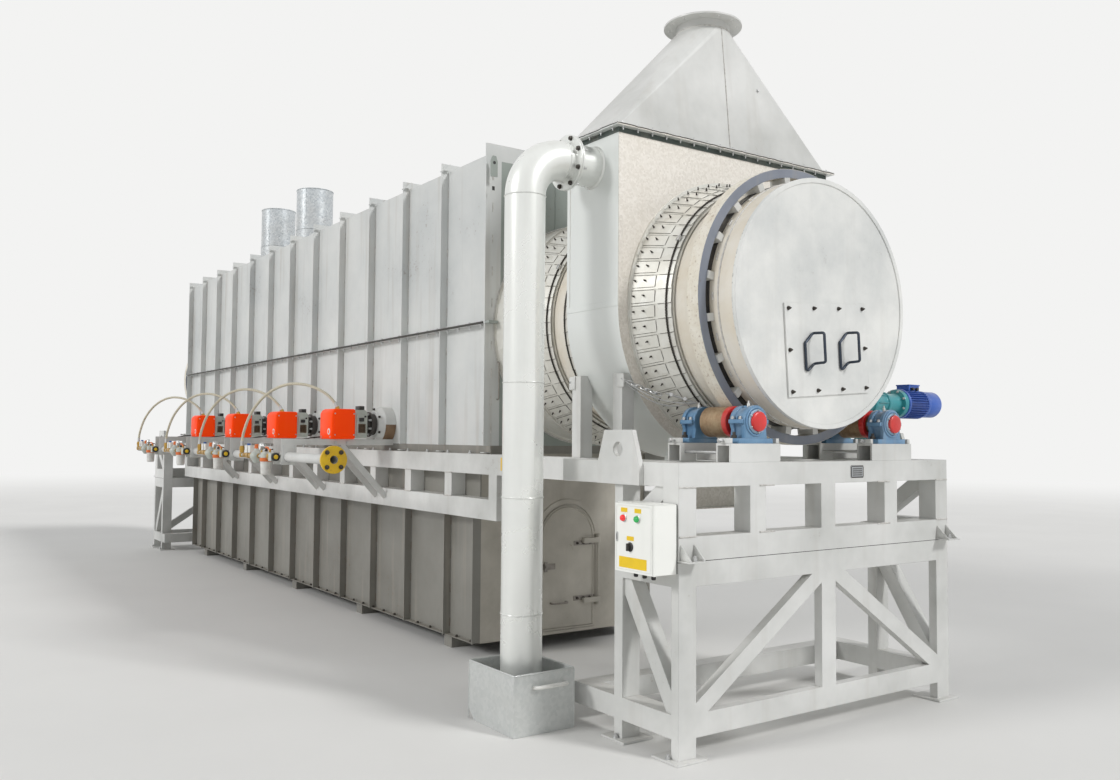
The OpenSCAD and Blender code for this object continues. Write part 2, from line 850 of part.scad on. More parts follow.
// Cones of overlapping leaves that close the gap between the hood and the turning drum
module seal_cone(collar) {
    small_r = drum_r + seal_clear;
    tip = collar + seal_len;
    rotate([0, 90, 0]) rotate_extrude()
        union() {
            polygon([[seal_r - seal_t, collar], [seal_r, collar], [small_r + seal_t, tip], [small_r, tip]]);
            translate([seal_r - seal_t, 0]) square([seal_t, collar]);
            translate([hood_hole_r, 0]) square([seal_r + seal_t - hood_hole_r, flange_t]);
        }
}
module drum_seals() {
    color(galvanised) {
        translate([hood_x1, 0, axis_z]) seal_cone(flange_t);
        translate([hood_x0, 0, axis_z]) mirror([1, 0, 0]) seal_cone(flange_t);
    }
}

// The same seals on the end walls of the furnace; the front one stands out on a collar
module furnace_seals() {
    color(galvanised) {
        translate([furnace_x, 0, axis_z]) seal_cone(seal_collar);
        translate([-furnace_x, 0, axis_z]) mirror([1, 0, 0]) seal_cone(flange_t);
    }
}

// Square spout under the hood, with a drilled flange for the discharge conveyor
module discharge_spout() {
    out_l = spout_l / 2 + spout_flange;
    out_w = spout_w / 2 + spout_flange;
    bolt_x = out_l - spout_flange / 2;
    bolt_y = out_w - spout_flange / 2;
    color(galvanised)
        difference() {
            union() {
                block([hood_mid - spout_l / 2, -spout_w / 2, spout_z],
                    [hood_mid + spout_l / 2, spout_w / 2, axis_z - hood_r + flange_w]);
                block([hood_mid - out_l, -out_w, spout_z], [hood_mid + out_l, out_w, spout_z + flange_t]);
            }
            block([hood_mid - spout_l / 2 + hood_t, hood_t - spout_w / 2, spout_z - cut],
                [hood_mid + spout_l / 2 - hood_t, spout_w / 2 - hood_t, axis_z]);
            translate([0, 0, axis_z]) bar_x(hood_r + face_gap, hood_x0, hood_x1);
            for (sx = [-1, 1], sy = [-1, 1])
                translate([hood_mid + sx * bolt_x, sy * bolt_y, spout_z - cut])
                    cylinder(r = spout_bolt_r, h = flange_t + 2 * cut);
        }
}

// Posts on the side trusses that carry the hood
module hood_posts() {
    color(paint) both_sides()
        for (x = [hood_x0 + flange_t, hood_x1 - post_w - flange_t])
            difference() {
                block([x, rail_y0, stand_h], [x + post_w, rail_y0 + post_w, post_top]);
                translate([0, 0, axis_z]) bar_x(hood_r + face_gap, hood_x0 - cut, hood_x1 + cut);
            }
}

// Vent line from the hood down into the water tank
module tube_y(r_out, r_in, y0, y1) {
    translate([hood_mid, y1, vent_z]) rotate([90, 0, 0])
        difference() {
            cylinder(r = r_out, h = y1 - y0);
            translate([0, 0, -cut]) cylinder(r = r_in, h = y1 - y0 + 2 * cut);
        }
}
module vent_elbow() {
    color(galvanised) {
        tube_y(vent_flange_r, vent_r - tiny, -stub_end - vent_flange_t, vent_flange_t - stub_end);
        tube_y(vent_r, vent_r - vent_wall, vent_bend - vent_y, -hood_r);
        translate([hood_mid, vent_bend - vent_y, vent_z - vent_bend]) rotate([90, 0, -90])
            rotate_extrude(angle = 90)
                translate([vent_bend, 0])
                    difference() {
                        circle(r = vent_r);
                        circle(r = vent_r - vent_wall);
                    }
    }
}
module vent_pipe() {
    run = vent_z - vent_bend - vent_foot_z;
    color(galvanised)
        translate([hood_mid, -vent_y, vent_foot_z])
            difference() {
                cylinder(r = vent_r, h = run);
                translate([0, 0, -cut]) cylinder(r = vent_r - vent_wall, h = run + 2 * cut);
            }
}

// Open tank of water that the vent pipe dips into; one lower edge is cut off
module tank_outline(t) {
    corner = tank_cut + t * (sqrt(2) - 1);
    polygon([[hood_mid - tank_l / 2 + t, tank_h + (t > 0 ? cut : 0)], [hood_mid - tank_l / 2 + t, corner],
        [hood_mid - tank_l / 2 + corner, t], [hood_mid + tank_l / 2 - t, t],
        [hood_mid + tank_l / 2 - t, tank_h + (t > 0 ? cut : 0)]]);
}
module water_tank() {
    color(galvanised)
        difference() {
            plate_xz(-vent_y - tank_w / 2, -vent_y + tank_w / 2) tank_outline(0);
            plate_xz(tank_t - vent_y - tank_w / 2, tank_w / 2 - vent_y - tank_t) tank_outline(tank_t);
        }
}

// One burner without its cover: port tube, flange, neck, grey body and blast tube
module burner_body() {
    neck_y = panel_y + port_len + flange_len;
    rotate([90, 0, 0]) {
        difference() {
            translate([0, 0, panel_y]) cylinder(r = port_r, h = port_len);
            translate([0, 0, panel_y - cut]) cylinder(r = port_r - port_wall, h = port_len - port_wall + cut);
        }
        translate([0, 0, panel_y - wall_t]) cylinder(r = blast_r, h = body_y - panel_y + wall_t);
        translate([0, 0, neck_y - flange_len]) cylinder(r = flange_r, h = flange_len);
    }
    block([-body_w / 2, -body_y - body_len, -cover_h / 2], [body_w / 2, -body_y, cover_h / 2]);
}
module burner_bodies() {
    color("silver")
        for (k = [0 : burners - 1])
            translate([burner_x(k), 0, burner_z]) burner_body();
}

// Red covers with the lower outer corner left square and the upper one cut off
module burner_covers() {
    y0 = -body_y - body_len;
    top = burner_z + cover_h / 2;
    color(signal_red)
        for (k = [0 : burners - 1])
            plate_yz(burner_x(k) - cover_w / 2, burner_x(k) + cover_w / 2)
                polygon([[y0, top - cover_h], [y0, top], [y0 - cover_len + cover_cut, top],
                    [y0 - cover_len, top - cover_cut], [y0 - cover_len, top - cover_h]]);
}

// Pairs of plate brackets that carry each burner and the gas manifold
module burner_brackets() {
    tip_y = -manifold_y - manifold_r - bar_h / 2;
    knee = [-body_y - body_len - cover_len / 2, burner_base - bar_h];
    heel = [-rail_y1, truss_z + truss_chord_h / 2];
    color(paint)
        for (k = [0 : burners - 1], s = [-1, 1])
            translate([burner_x(k) + s * bracket_half - bracket_t / 2, 0, 0])
                difference() {
                    plate_yz(0, bracket_t)
                        union() {
                            translate([tip_y, burner_base - bar_h]) square([-tip_y - rail_y1, bar_h]);
                            translate([tip_y, manifold_z - manifold_r - bar_h / 2])
                                square([2 * manifold_r + bar_h, burner_base - manifold_z + manifold_r]);
                            intersection() {
                                brace(heel, knee, bar_h);
                                translate([tip_y, truss_z]) square([-tip_y - rail_y1, burner_base - truss_z]);
                            }
                            translate([-rail_y1, burner_base - bar_h]) square([rib_d, bar_h]);
                        }
                    translate([0, -manifold_y, manifold_z])
                        bar_x(manifold_r + face_gap, -cut, bracket_t + cut);
                }
}

// Gas manifold with a drilled inlet flange at the front end
module gas_manifold() {
    x0 = burner_x(burners - 1) - manifold_rear;
    x1 = burner_x0 + manifold_front;
    color(paint)
        translate([0, -manifold_y, manifold_z])
            difference() {
                union() {
                    bar_x(manifold_r, x0, x1);
                    bar_x(manifold_flange_r, x1 - manifold_flange_t, x1);
                }
                bar_x(manifold_r - port_wall, x0 + port_wall, x1 + cut);
                for (a = [45 : 90 : 315])
                    rotate([a, 0, 0]) translate([0, 0, manifold_pcd / 2])
                        bar_x(manifold_bolt_r, x1 - manifold_flange_t - cut, x1 + cut);
            }
}

// Gas train of one burner: stub, shut off valve, filter can, regulator and hose nipple
module gas_train() {
    translate([0, -train_y, manifold_z]) {
        bar_x(train_r, -hose_x, 0);
        difference() {
            rotate([-90, 0, 0]) cylinder(r = train_r, h = train_y - manifold_y);
            translate([0, train_y - manifold_y, 0]) bar_x(manifold_r + face_gap, -train_r - cut, train_r + cut);
        }
        block([-valve_half, -valve_half, -valve_half], [valve_half, valve_half, valve_half]);
        translate([-filter_x, 0, filter_top - filter_h]) cylinder(r = filter_r, h = filter_h);
        translate([-regulator_x, 0, -regulator_h / 2]) cylinder(r = regulator_r, h = regulator_h);
        bar_x(nipple_r, -hose_x - nipple_r, nipple_r - hose_x);
        translate([-hose_x, 0, 0]) cylinder(r = train_r, h = hose_start_h);
    }
}
module gas_trains() {
    color("silver")
        for (k = [0 : burners - 1])
            translate([burner_x(k), 0, 0]) gas_train();
}

// Ring of points around a place on a route; the first and last rings lie flat on their seats
function unit(v) = v / norm(v);
function heading(route, j) =
    j == 0 || j == len(route) - 1 ? [0, 0, j == 0 ? 1 : -1] : unit(route[j + 1] - route[j - 1]);
function ring_at(route, j, r, sides) =
    let (along = heading(route, j), side = unit(cross([0, 1, 0], along)), up = cross(along, side))
    [for (i = [0 : sides - 1]) route[j] + r * (cos(i * 360 / sides) * side + sin(i * 360 / sides) * up)];

// A tube swept along a route of points
module hose(route, r, sides) {
    last = len(route) - 1;
    points = [for (j = [0 : last]) for (q = ring_at(route, j, r, sides)) q];
    walls = [for (j = [0 : last - 1], i = [0 : sides - 1])
        let (a = j * sides + i, b = j * sides + (i + 1) % sides)
        for (face = [[a, b, a + sides], [b, b + sides, a + sides]]) face];
    top = last * sides;
    ends = [for (i = [1 : sides - 2]) for (face = [[0, i + 1, i], [top, top + i, top + i + 1]]) face];
    polyhedron(points = points, faces = concat(walls, ends), convexity = 4);
}
module burner_hoses() {
    color(hose_ivory)
        for (k = [0 : burners - 1])
            translate([burner_x(k), 0, 0]) hose(hose_route, hose_r, hose_sides);
}

// Control box on the side of the front stand, open towards its door
module control_box() {
    y1 = -stand_y;
    color(paint) at_front()
        difference() {
            block([box_x1, y1 - box_d, box_z], [box_x1 + box_w, y1, box_z + box_h]);
            block([box_x1 + box_t, y1 - box_d - cut, box_z + box_t],
                [box_x1 + box_w - box_t, y1 - box_t, box_z + box_h - box_t]);
        }
}
module control_box_door() {
    y1 = -stand_y - box_d - door_gap;
    color(paint) at_front()
        difference() {
            union() {
                block([box_x1, y1 - box_door_t, box_z], [box_x1 + box_w, y1, box_z + box_h]);
                translate([box_x1 - box_hinge_r / 2, y1 - box_door_t / 2, box_z])
                    cylinder(r = box_hinge_r, h = box_h);
            }
            block([box_x1 + box_t, y1 - box_door_t + box_t, box_z + box_t],
                [box_x1 + box_w - box_t, y1 + cut, box_z + box_h - box_t]);
        }
}

// Channels across the stand, one under each bearing block, open side down
module pedestal_set() {
    half = pedestal_w / 2;
    top = stand_h + pedestal_h;
    both_sides()
        for (x = [front_block_x, rear_block_x])
            difference() {
                block([x, roller_y - half, stand_h], [x + block_len, roller_y + half, top]);
                block([x + pedestal_t, roller_y - half - cut, stand_h - cut],
                    [x + block_len - pedestal_t, roller_y + half + cut, top - pedestal_t]);
            }
}
module bearing_pedestals() {
    color(paint) {
        at_front() pedestal_set();
        at_rear() pedestal_set();
    }
}

// Split bearing block; the outer one of each roller has a blind cap
module bearing_block(x0, blind) {
    seat = stand_h + pedestal_h;
    foot = block_foot_w / 2;
    neck = block_neck_w / 2;
    x1 = x0 + block_len;
    cap_x0 = blind ? x0 - blind_cap_t : x1;
    cap_x1 = blind ? x0 : x1 + open_cap_t;
    difference() {
        union() {
            block([x0, roller_y - foot, seat], [x1, roller_y + foot, seat + block_foot_h]);
            block([x0, roller_y - neck, seat + block_foot_h], [x1, roller_y + neck, roller_z]);
            translate([0, roller_y, roller_z]) bar_x(block_r, x0, x1);
            translate([0, roller_y, roller_z]) bar_x(bearing_cap_r, cap_x0, cap_x1);
        }
        translate([0, roller_y, roller_z])
            bar_x(shaft_r + shaft_fit, blind ? x0 : x0 - cut, x1 + open_cap_t + cut);
    }
}
module block_set() {
    both_sides() {
        bearing_block(front_block_x, true);
        bearing_block(rear_block_x, false);
    }
}
module bearing_blocks() {
    color(block_blue) {
        at_front() block_set();
        at_rear() block_set();
    }
}

// Right angle gear unit on the end of the driven roller's shaft
module gear_reducer() {
    worm_z = roller_z + worm_offset;
    foot_x = rear_block_x + block_len + cut;
    foot_top = stand_h + drive_foot_h;
    x0 = drive_x - drive_half;
    x1 = drive_x + drive_half;
    worm_y1 = worm_y0 + worm_case_r;
    color(drive_teal) at_front()
        difference() {
            union() {
                translate([0, roller_y, roller_z]) bar_x(wheel_case_r, x0, x1);
                block([x0, roller_y, foot_top - cut], [x1, worm_y1, roller_z]);
                block([x0, worm_y0, foot_top - cut], [x1, worm_y1, worm_z]);
                translate([drive_x, drive_case_y1, worm_z]) rotate([90, 0, 0])
                    cylinder(r = worm_case_r, h = drive_case_y1 - worm_y0);
                block([foot_x, roller_y, stand_h], [x1, rail_y1, foot_top]);
                block([drive_x - drive_post_w / 2, stand_y - tube, stand_h],
                    [drive_x + drive_post_w / 2, stand_y - tube + drive_post_w, worm_z]);
            }
            translate([0, roller_y, roller_z]) bar_x(shaft_r + shaft_fit, x0 - cut, x1 - drive_wall);
        }
}

// Motor of the drive, with its fan cover
module drive_motor() {
    color(motor_blue) at_front()
        translate([drive_x, drive_case_y1, roller_z + worm_offset]) rotate([-90, 0, 0]) {
            cylinder(r = motor_r, h = motor_len);
            translate([0, 0, motor_len]) cylinder(r = motor_r - fan_step, h = fan_cover_len);
        }
}

// Drum shell, open at both ends until the end plates close it
module drum_shell() {
    color(paint) translate([0, 0, axis_z]) ring_x(drum_r, drum_r - drum_wall, shell_x0, shell_x1);
}
module drum_front_plate() {
    color(paint) translate([0, 0, axis_z]) bar_x(drum_r + end_plate_lip, shell_x1, shell_x1 + end_plate_t);
}
module access_cover_plate() {
    face = shell_x1 + end_plate_t + cover_gap;
    color(paint)
        translate([0, 0, axis_z]) rotate([drum_turn, 0, 0])
            block([face, -access_cover_w / 2, -access_cover_h],
                [face + access_cover_t, access_cover_w / 2, 0]);
}

// Rear end plate with the collar of the feed mouth
module drum_rear_plate() {
    color(paint)
        translate([0, 0, axis_z])
            difference() {
                union() {
                    bar_x(drum_r + end_plate_lip, shell_x0 - end_plate_t, shell_x0);
                    bar_x(feed_mouth_r + drum_wall, shell_x0 - end_plate_t - feed_collar_len, shell_x0);
                }
                bar_x(feed_mouth_r, shell_x0 - end_plate_t - feed_collar_len - cut, shell_x0 + cut);
            }
}

// Riding rings, held off the shell by spacer blocks
module tyre() {
    translate([0, 0, axis_z]) ring_x(tyre_r, tyre_r - tyre_h, tyre_x, tyre_x + tyre_w);
}
module riding_rings() {
    color(bare_steel) {
        at_front() tyre();
        at_rear() tyre();
    }
}
module spacer_ring() {
    x0 = tyre_x - spacer_over;
    x1 = tyre_x + tyre_w + spacer_over;
    for (k = [0 : spacer_count - 1])
        translate([0, 0, axis_z]) rotate([(k + 0.5) * 360 / spacer_count, 0, 0])
            intersection() {
                ring_x(tyre_r - tyre_h - face_gap, drum_r + face_gap, x0, x1);
                block([x0, -spacer_w / 2, 0], [x1, spacer_w / 2, tyre_r]);
            }
}
module tyre_spacers() {
    color(paint) {
        at_front() spacer_ring();
        at_rear() spacer_ring();
    }
}

// A support roller on its shaft; y is its side and x1 the inner end of the shaft
module roller(y, x1) {
    translate([0, y, roller_z]) {
        bar_x(roller_r, roller_mid - roller_w / 2, roller_mid + roller_w / 2);
        bar_x(shaft_r, front_block_x + shaft_end_gap, x1);
    }
}
module front_left_roller() { color(bare_steel) at_front() roller(-roller_y, plain_shaft_x); }
module front_right_roller() { color(bare_steel) at_front() roller(roller_y, driven_shaft_x); }
module rear_left_roller() { color(bare_steel) at_rear() roller(-roller_y, plain_shaft_x); }
module rear_right_roller() { color(bare_steel) at_rear() roller(roller_y, plain_shaft_x); }

stand_face_frames();
stand_side_frames();
stand_cross_beams();
lifting_plates();
side_trusses();
sleepers();
base_side_walls();
base_front_wall();
base_rear_wall();
inspection_door();
furnace_floor();
furnace_lower_left_wall();
furnace_lower_right_wall();
furnace_lower_end_walls();
furnace_upper_side_walls();
furnace_upper_end_walls();
furnace_roof();
roof_stacks();
hood_casing();
hood_end_plates();
gas_transition();
gas_outlet();
drum_seals();
furnace_seals();
discharge_spout();
hood_posts();
vent_elbow();
vent_pipe();
water_tank();
burner_bodies();
burner_covers();
burner_brackets();
gas_manifold();
gas_trains();
burner_hoses();
control_box();
control_box_door();
bearing_pedestals();
bearing_blocks();
gear_reducer();
drive_motor();
drum_shell();
drum_front_plate();
access_cover_plate();
drum_rear_plate();
riding_rings();
tyre_spacers();
front_left_roller();
front_right_roller();
rear_left_roller();
rear_right_roller();
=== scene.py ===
"""Dresses the gas fired rotary kiln: finishes, fasteners, welds, seal leaves, hoses and small fittings.

Everything is in metres in the kiln's own frame: X runs along the drum towards its cover plate, Z is up,
the burners are on the -Y side and the origin is on the ground under the middle of the furnace.
"""
import logging
import math
import random
from collections.abc import Iterable, Sequence
from dataclasses import dataclass
from enum import Enum
from typing import Any, ClassVar

import bmesh
import bpy
from mathutils import Matrix, Vector


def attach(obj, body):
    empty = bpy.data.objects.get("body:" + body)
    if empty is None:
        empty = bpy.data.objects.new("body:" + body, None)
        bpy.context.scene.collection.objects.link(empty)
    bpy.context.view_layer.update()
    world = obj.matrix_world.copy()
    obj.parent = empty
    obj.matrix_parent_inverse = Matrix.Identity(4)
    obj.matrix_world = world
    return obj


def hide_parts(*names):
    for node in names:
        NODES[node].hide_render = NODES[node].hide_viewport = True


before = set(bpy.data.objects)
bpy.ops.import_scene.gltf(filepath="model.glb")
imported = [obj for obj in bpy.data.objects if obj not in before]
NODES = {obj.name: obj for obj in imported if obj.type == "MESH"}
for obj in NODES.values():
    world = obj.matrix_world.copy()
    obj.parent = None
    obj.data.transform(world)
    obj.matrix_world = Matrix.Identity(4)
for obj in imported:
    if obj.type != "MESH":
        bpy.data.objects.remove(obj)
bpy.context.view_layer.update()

log = logging.getLogger("kiln")

Point = tuple[float, float, float]
Flat = tuple[float, float]

# Places that several sub-assemblies share: the drum's axis, the rollers' axes, the burners and the ribs
AXIS_Z = 2.41
ROLLER_Y = 0.585
ROLLER_Z = 1.719
BURNER_X = (2.3975, 1.0275, -0.3425, -1.7125)
FIRST_RIB_X = -4.105
RIB_BAY = 0.68417
RIBS = 13


class Axis(Enum):
    """A direction along which an outline is stretched or turned."""

    X = "x"
    Y = "y"
    Z = "z"

    def place(self, along: float, a: float, b: float) -> Vector:
        """Returns the point at a place along the axis, with a and b across it in cyclic order."""
        if self is Axis.X:
            return Vector((along, a, b))
        if self is Axis.Y:
            return Vector((b, along, a))
        return Vector((a, b, along))


class Slot(Enum):
    """Material slots of the record, which the pieces' calls name; the pieces take their finishes directly."""

    PAINT = "machine_paint"
    ZINC = "galvanised_sheet"
    STEEL = "running_steel"
    BLOCK = "block_blue"
    RED = "burner_red"
    GREY = "burner_grey"
    TEAL = "drive_teal"
    MOTOR = "motor_blue"
    HOSE = "hose_braid"


def linear(code: str) -> tuple[float, float, float, float]:
    """Turns an sRGB colour into the linear colour that shaders use.

    Args:
        code: the colour as a hex value, such as "#C8CACB".

    Returns:
        Red, green, blue and alpha, each from 0 to 1.
    """
    shares = [int(code[i:i + 2], 16) / 255 for i in (1, 3, 5)]
    straight = [c / 12.92 if c <= 0.04045 else ((c + 0.055) / 1.055) ** 2.4 for c in shares]
    return (*straight, 1.0)


def add_node(tree: bpy.types.NodeTree, kind: str, inputs: dict[Any, Any] | None = None,
             **settings: Any) -> bpy.types.Node:
    """Adds one node with its settings, its values and its links.

    Args:
        tree: the tree that gets the node.
        kind: Blender's name of the node type.
        inputs: a value or another node's output for each input, by its name or number.
        settings: properties of the node itself.

    Returns:
        The new node.
    """
    node = tree.nodes.new(kind)
    for key, value in settings.items():
        setattr(node, key, value)
    for key, value in (inputs or {}).items():
        if isinstance(value, bpy.types.NodeSocket):
            tree.links.new(value, node.inputs[key])
        else:
            node.inputs[key].default_value = value
    return node


def per_metre(size_mm: float) -> float:
    """Returns the texture scale at which a pattern repeats about every size_mm millimetres."""
    return 1000.0 / size_mm


# Sockets of the Mix node that take and give colours
MIX_A, MIX_B, MIX_OUT = 6, 7, 2


@dataclass(frozen=True)
class Finish:
    """The surface of one real material; subclasses draw its pattern."""

    name: str
    colour: str
    rough: float = 0.5

    made: ClassVar[dict[str, bpy.types.Material]] = {}

    def material(self) -> bpy.types.Material:
        """Returns the Blender material of this finish, made once."""
        if self.name not in Finish.made:
            material = bpy.data.materials.new(self.name)
            material.use_nodes = True
            tree = material.node_tree
            tree.nodes.clear()
            shader = add_node(tree, "ShaderNodeBsdfPrincipled")
            add_node(tree, "ShaderNodeOutputMaterial", {"Surface": shader.outputs["BSDF"]})
            self.paint(tree, shader)
            Finish.made[self.name] = material
        return Finish.made[self.name]

    def paint(self, tree: bpy.types.NodeTree, shader: bpy.types.Node) -> None:
        """Sets the shader up; subclasses add their patterns.

        Args:
            tree: the material's node tree.
            shader: its Principled shader.
        """
        shader.inputs["Base Color"].default_value = linear(self.colour)
        shader.inputs["Roughness"].default_value = self.rough


def relief(tree: bpy.types.NodeTree, shader: bpy.types.Node, heights: Sequence[tuple[Any, float]],
           edge_mm: float = 0.0) -> None:
    """Gives a shader its fine relief, one height pattern on top of the other.

    Args:
        tree: the material's node tree.
        shader: its Principled shader.
        heights: pairs of a height output and its depth in millimetres.
        edge_mm: radius to which sharp edges look rounded, 0 for none.
    """
    normal = None
    if edge_mm:
        normal = add_node(tree, "ShaderNodeBevel", {"Radius": edge_mm / 1000}, samples=3).outputs[0]
    for height, depth_mm in heights:
        inputs = {"Height": height, "Distance": depth_mm / 1000, "Strength": 1.0}
        if normal is not None:
            inputs["Normal"] = normal
        normal = add_node(tree, "ShaderNodeBump", inputs).outputs[0]
    if normal is not None:
        tree.links.new(normal, shader.inputs["Normal"])


@dataclass(frozen=True)
class Enamel(Finish):
    """Sprayed machine enamel on steel: satin, slightly wavy plate, with streaks, dust and specks of rust."""

    shade: str = "#B9BAB6"
    patch_mm: float = 900
    streaks: float = 0.35
    dust: float = 0.3
    specks: float = 0.35
    wave_mm: float = 1.2
    peel_mm: float = 6
    edge_mm: float = 4.0
    coat: float = 0.15
    metal: float = 0.0
    # Emission strength: painted light, a glow that lifts the colour above what the lamps give
    glow: float = 0.0
    shine: float = 0.5

    def paint(self, tree: bpy.types.NodeTree, shader: bpy.types.Node) -> None:
        """Draws the enamel's patches, streaks, dust, rust specks and its orange peel."""
        where = add_node(tree, "ShaderNodeTexCoord").outputs["Object"]
        patch = add_node(tree, "ShaderNodeTexNoise", {"Vector": where, "Scale": per_metre(self.patch_mm),
                                                      "Detail": 5.0, "Roughness": 0.6})
        patch_share = add_node(tree, "ShaderNodeMapRange", {0: patch.outputs["Fac"], 1: 0.35, 2: 0.7})
        tone = add_node(tree, "ShaderNodeMix", {0: patch_share.outputs[0], MIX_A: linear(self.colour),
                                                MIX_B: linear(self.shade)}, data_type="RGBA")
        drawn = add_node(tree, "ShaderNodeMapping", {"Vector": where, "Scale": (11.0, 11.0, 0.7)})
        run = add_node(tree, "ShaderNodeTexNoise", {"Vector": drawn.outputs[0], "Scale": 1.0, "Detail": 3.0})
        run_share = add_node(tree, "ShaderNodeMapRange", {0: run.outputs["Fac"], 1: 0.55, 2: 0.8,
                                                          4: self.streaks})
        streaked = add_node(tree, "ShaderNodeMix", {0: run_share.outputs[0], MIX_A: tone.outputs[MIX_OUT],
                                                    MIX_B: linear("#A79F93")}, data_type="RGBA")
        grit = add_node(tree, "ShaderNodeTexNoise", {"Vector": where, "Scale": per_metre(28), "Detail": 4.0,
                                                     "Roughness": 0.7})
        near = add_node(tree, "ShaderNodeMath", {0: grit.outputs["Fac"], 1: patch.outputs["Fac"]},
                        operation="MULTIPLY")
        speck = add_node(tree, "ShaderNodeMapRange", {0: near.outputs[0], 1: 0.385, 2: 0.43, 4: self.specks})
        rusty = add_node(tree, "ShaderNodeMix", {0: speck.outputs[0], MIX_A: streaked.outputs[MIX_OUT],
                                                 MIX_B: linear("#7A5A44")}, data_type="RGBA")
        facing = add_node(tree, "ShaderNodeSeparateXYZ",
                          {0: add_node(tree, "ShaderNodeNewGeometry").outputs["Normal"]})
        up = add_node(tree, "ShaderNodeMapRange", {0: facing.outputs["Z"], 1: 0.5, 2: 0.95, 4: self.dust})
        settle = add_node(tree, "ShaderNodeMath", {0: up.outputs[0], 1: grit.outputs["Fac"]},
                          operation="MULTIPLY")
        dusty = add_node(tree, "ShaderNodeMix", {0: settle.outputs[0], MIX_A: rusty.outputs[MIX_OUT],
                                                 MIX_B: linear("#9B8F7E")}, data_type="RGBA")
        tree.links.new(dusty.outputs[MIX_OUT], shader.inputs["Base Color"])
        gloss = add_node(tree, "ShaderNodeMapRange", {0: patch.outputs["Fac"], 1: 0.3, 2: 0.75,
                                                      3: self.rough - 0.07, 4: self.rough + 0.12})
        tree.links.new(gloss.outputs[0], shader.inputs["Roughness"])
        shader.inputs["Metallic"].default_value = self.metal
        shader.inputs["Coat Weight"].default_value = self.coat
        shader.inputs["Coat Roughness"].default_value = 0.25
        # The glow: the finish's colour emitted as painted light
        shader.inputs["Emission Color"].default_value = linear(self.colour)
        shader.inputs["Emission Strength"].default_value = self.glow
        shader.inputs["Specular IOR Level"].default_value = self.shine
        sway = add_node(tree, "ShaderNodeTexNoise", {"Vector": where, "Scale": per_metre(330), "Detail": 1.0})
        peel = add_node(tree, "ShaderNodeTexNoise", {"Vector": where, "Scale": per_metre(self.peel_mm),
                                                     "Detail": 2.0})
        relief(tree, shader, [(sway.outputs["Fac"], self.wave_mm * 4), (peel.outputs["Fac"], 0.12)],
               self.edge_mm)


@dataclass(frozen=True)
class Zinc(Finish):
    """Hot dip galvanised sheet: a bright metal with crystals, drawn about 20 mm wide so that they show."""

    dark: str = "#A4A8AA"
    crystal_mm: float = 20
    stain: str = "#A99C8B"
    stains: float = 0.35
    metal: float = 0.55
    # Flat colour for faces that don't look along X, which lose the crystals: painted light, a lit and a
    # shaded copy of one sheet
    side: str = ""
    sparkle: float = 0.03

    def paint(self, tree: bpy.types.NodeTree, shader: bpy.types.Node) -> None:
        """Draws the zinc crystals, each with its own grey and gloss, and the dull stains over them."""
        where = add_node(tree, "ShaderNodeTexCoord").outputs["Object"]
        bend = add_node(tree, "ShaderNodeTexNoise", {"Vector": where, "Scale": per_metre(45), "Detail": 2.0})
        push = add_node(tree, "ShaderNodeVectorMath", {0: bend.outputs["Color"], "Scale": 0.012},
                        operation="SCALE")
        moved = add_node(tree, "ShaderNodeVectorMath", {0: where, 1: push.outputs[0]}, operation="ADD")
        crystal = add_node(tree, "ShaderNodeTexVoronoi", {"Vector": moved.outputs[0],
                                                          "Scale": per_metre(self.crystal_mm)})
        grain = add_node(tree, "ShaderNodeSeparateColor", {0: crystal.outputs["Color"]})
        tone = add_node(tree, "ShaderNodeMix", {0: grain.outputs[0], MIX_A: linear(self.colour),
                                                MIX_B: linear(self.dark)}, data_type="RGBA")
        cloud = add_node(tree, "ShaderNodeTexNoise", {"Vector": where, "Scale": per_metre(420), "Detail": 6.0,
                                                      "Roughness": 0.65})
        share = add_node(tree, "ShaderNodeMapRange", {0: cloud.outputs["Fac"], 1: 0.45, 2: 0.72,
                                                      4: self.stains})
        stained = add_node(tree, "ShaderNodeMix", {0: share.outputs[0], MIX_A: tone.outputs[MIX_OUT],
                                                   MIX_B: linear(self.stain)}, data_type="RGBA")
        # Painted light: faces that look along X keep the bright crystals as a painted sparkle, the others
        # take the flat side colour
        if self.side:
            facing = add_node(tree, "ShaderNodeSeparateXYZ",
                              {0: add_node(tree, "ShaderNodeNewGeometry").outputs["Normal"]})
            across = add_node(tree, "ShaderNodeMath", {0: facing.outputs["X"]}, operation="ABSOLUTE")
            front = add_node(tree, "ShaderNodeMapRange", {0: across.outputs[0], 1: 0.3, 2: 0.9})
            stained = add_node(tree, "ShaderNodeMix", {0: front.outputs[0], MIX_A: linear(self.side),
                                                       MIX_B: stained.outputs[MIX_OUT]}, data_type="RGBA")
        tree.links.new(stained.outputs[MIX_OUT], shader.inputs["Base Color"])
        shader.inputs["Metallic"].default_value = self.metal
        gloss = add_node(tree, "ShaderNodeMapRange", {0: grain.outputs[1], 3: self.rough - self.sparkle,
                                                      4: self.rough + self.sparkle})
        tree.links.new(gloss.outputs[0], shader.inputs["Roughness"])
        sway = add_node(tree, "ShaderNodeTexNoise", {"Vector": where, "Scale": per_metre(260), "Detail": 1.0})
        relief(tree, shader, [(sway.outputs["Fac"], 5.0), (crystal.outputs["Distance"], 0.04)], 2.0)


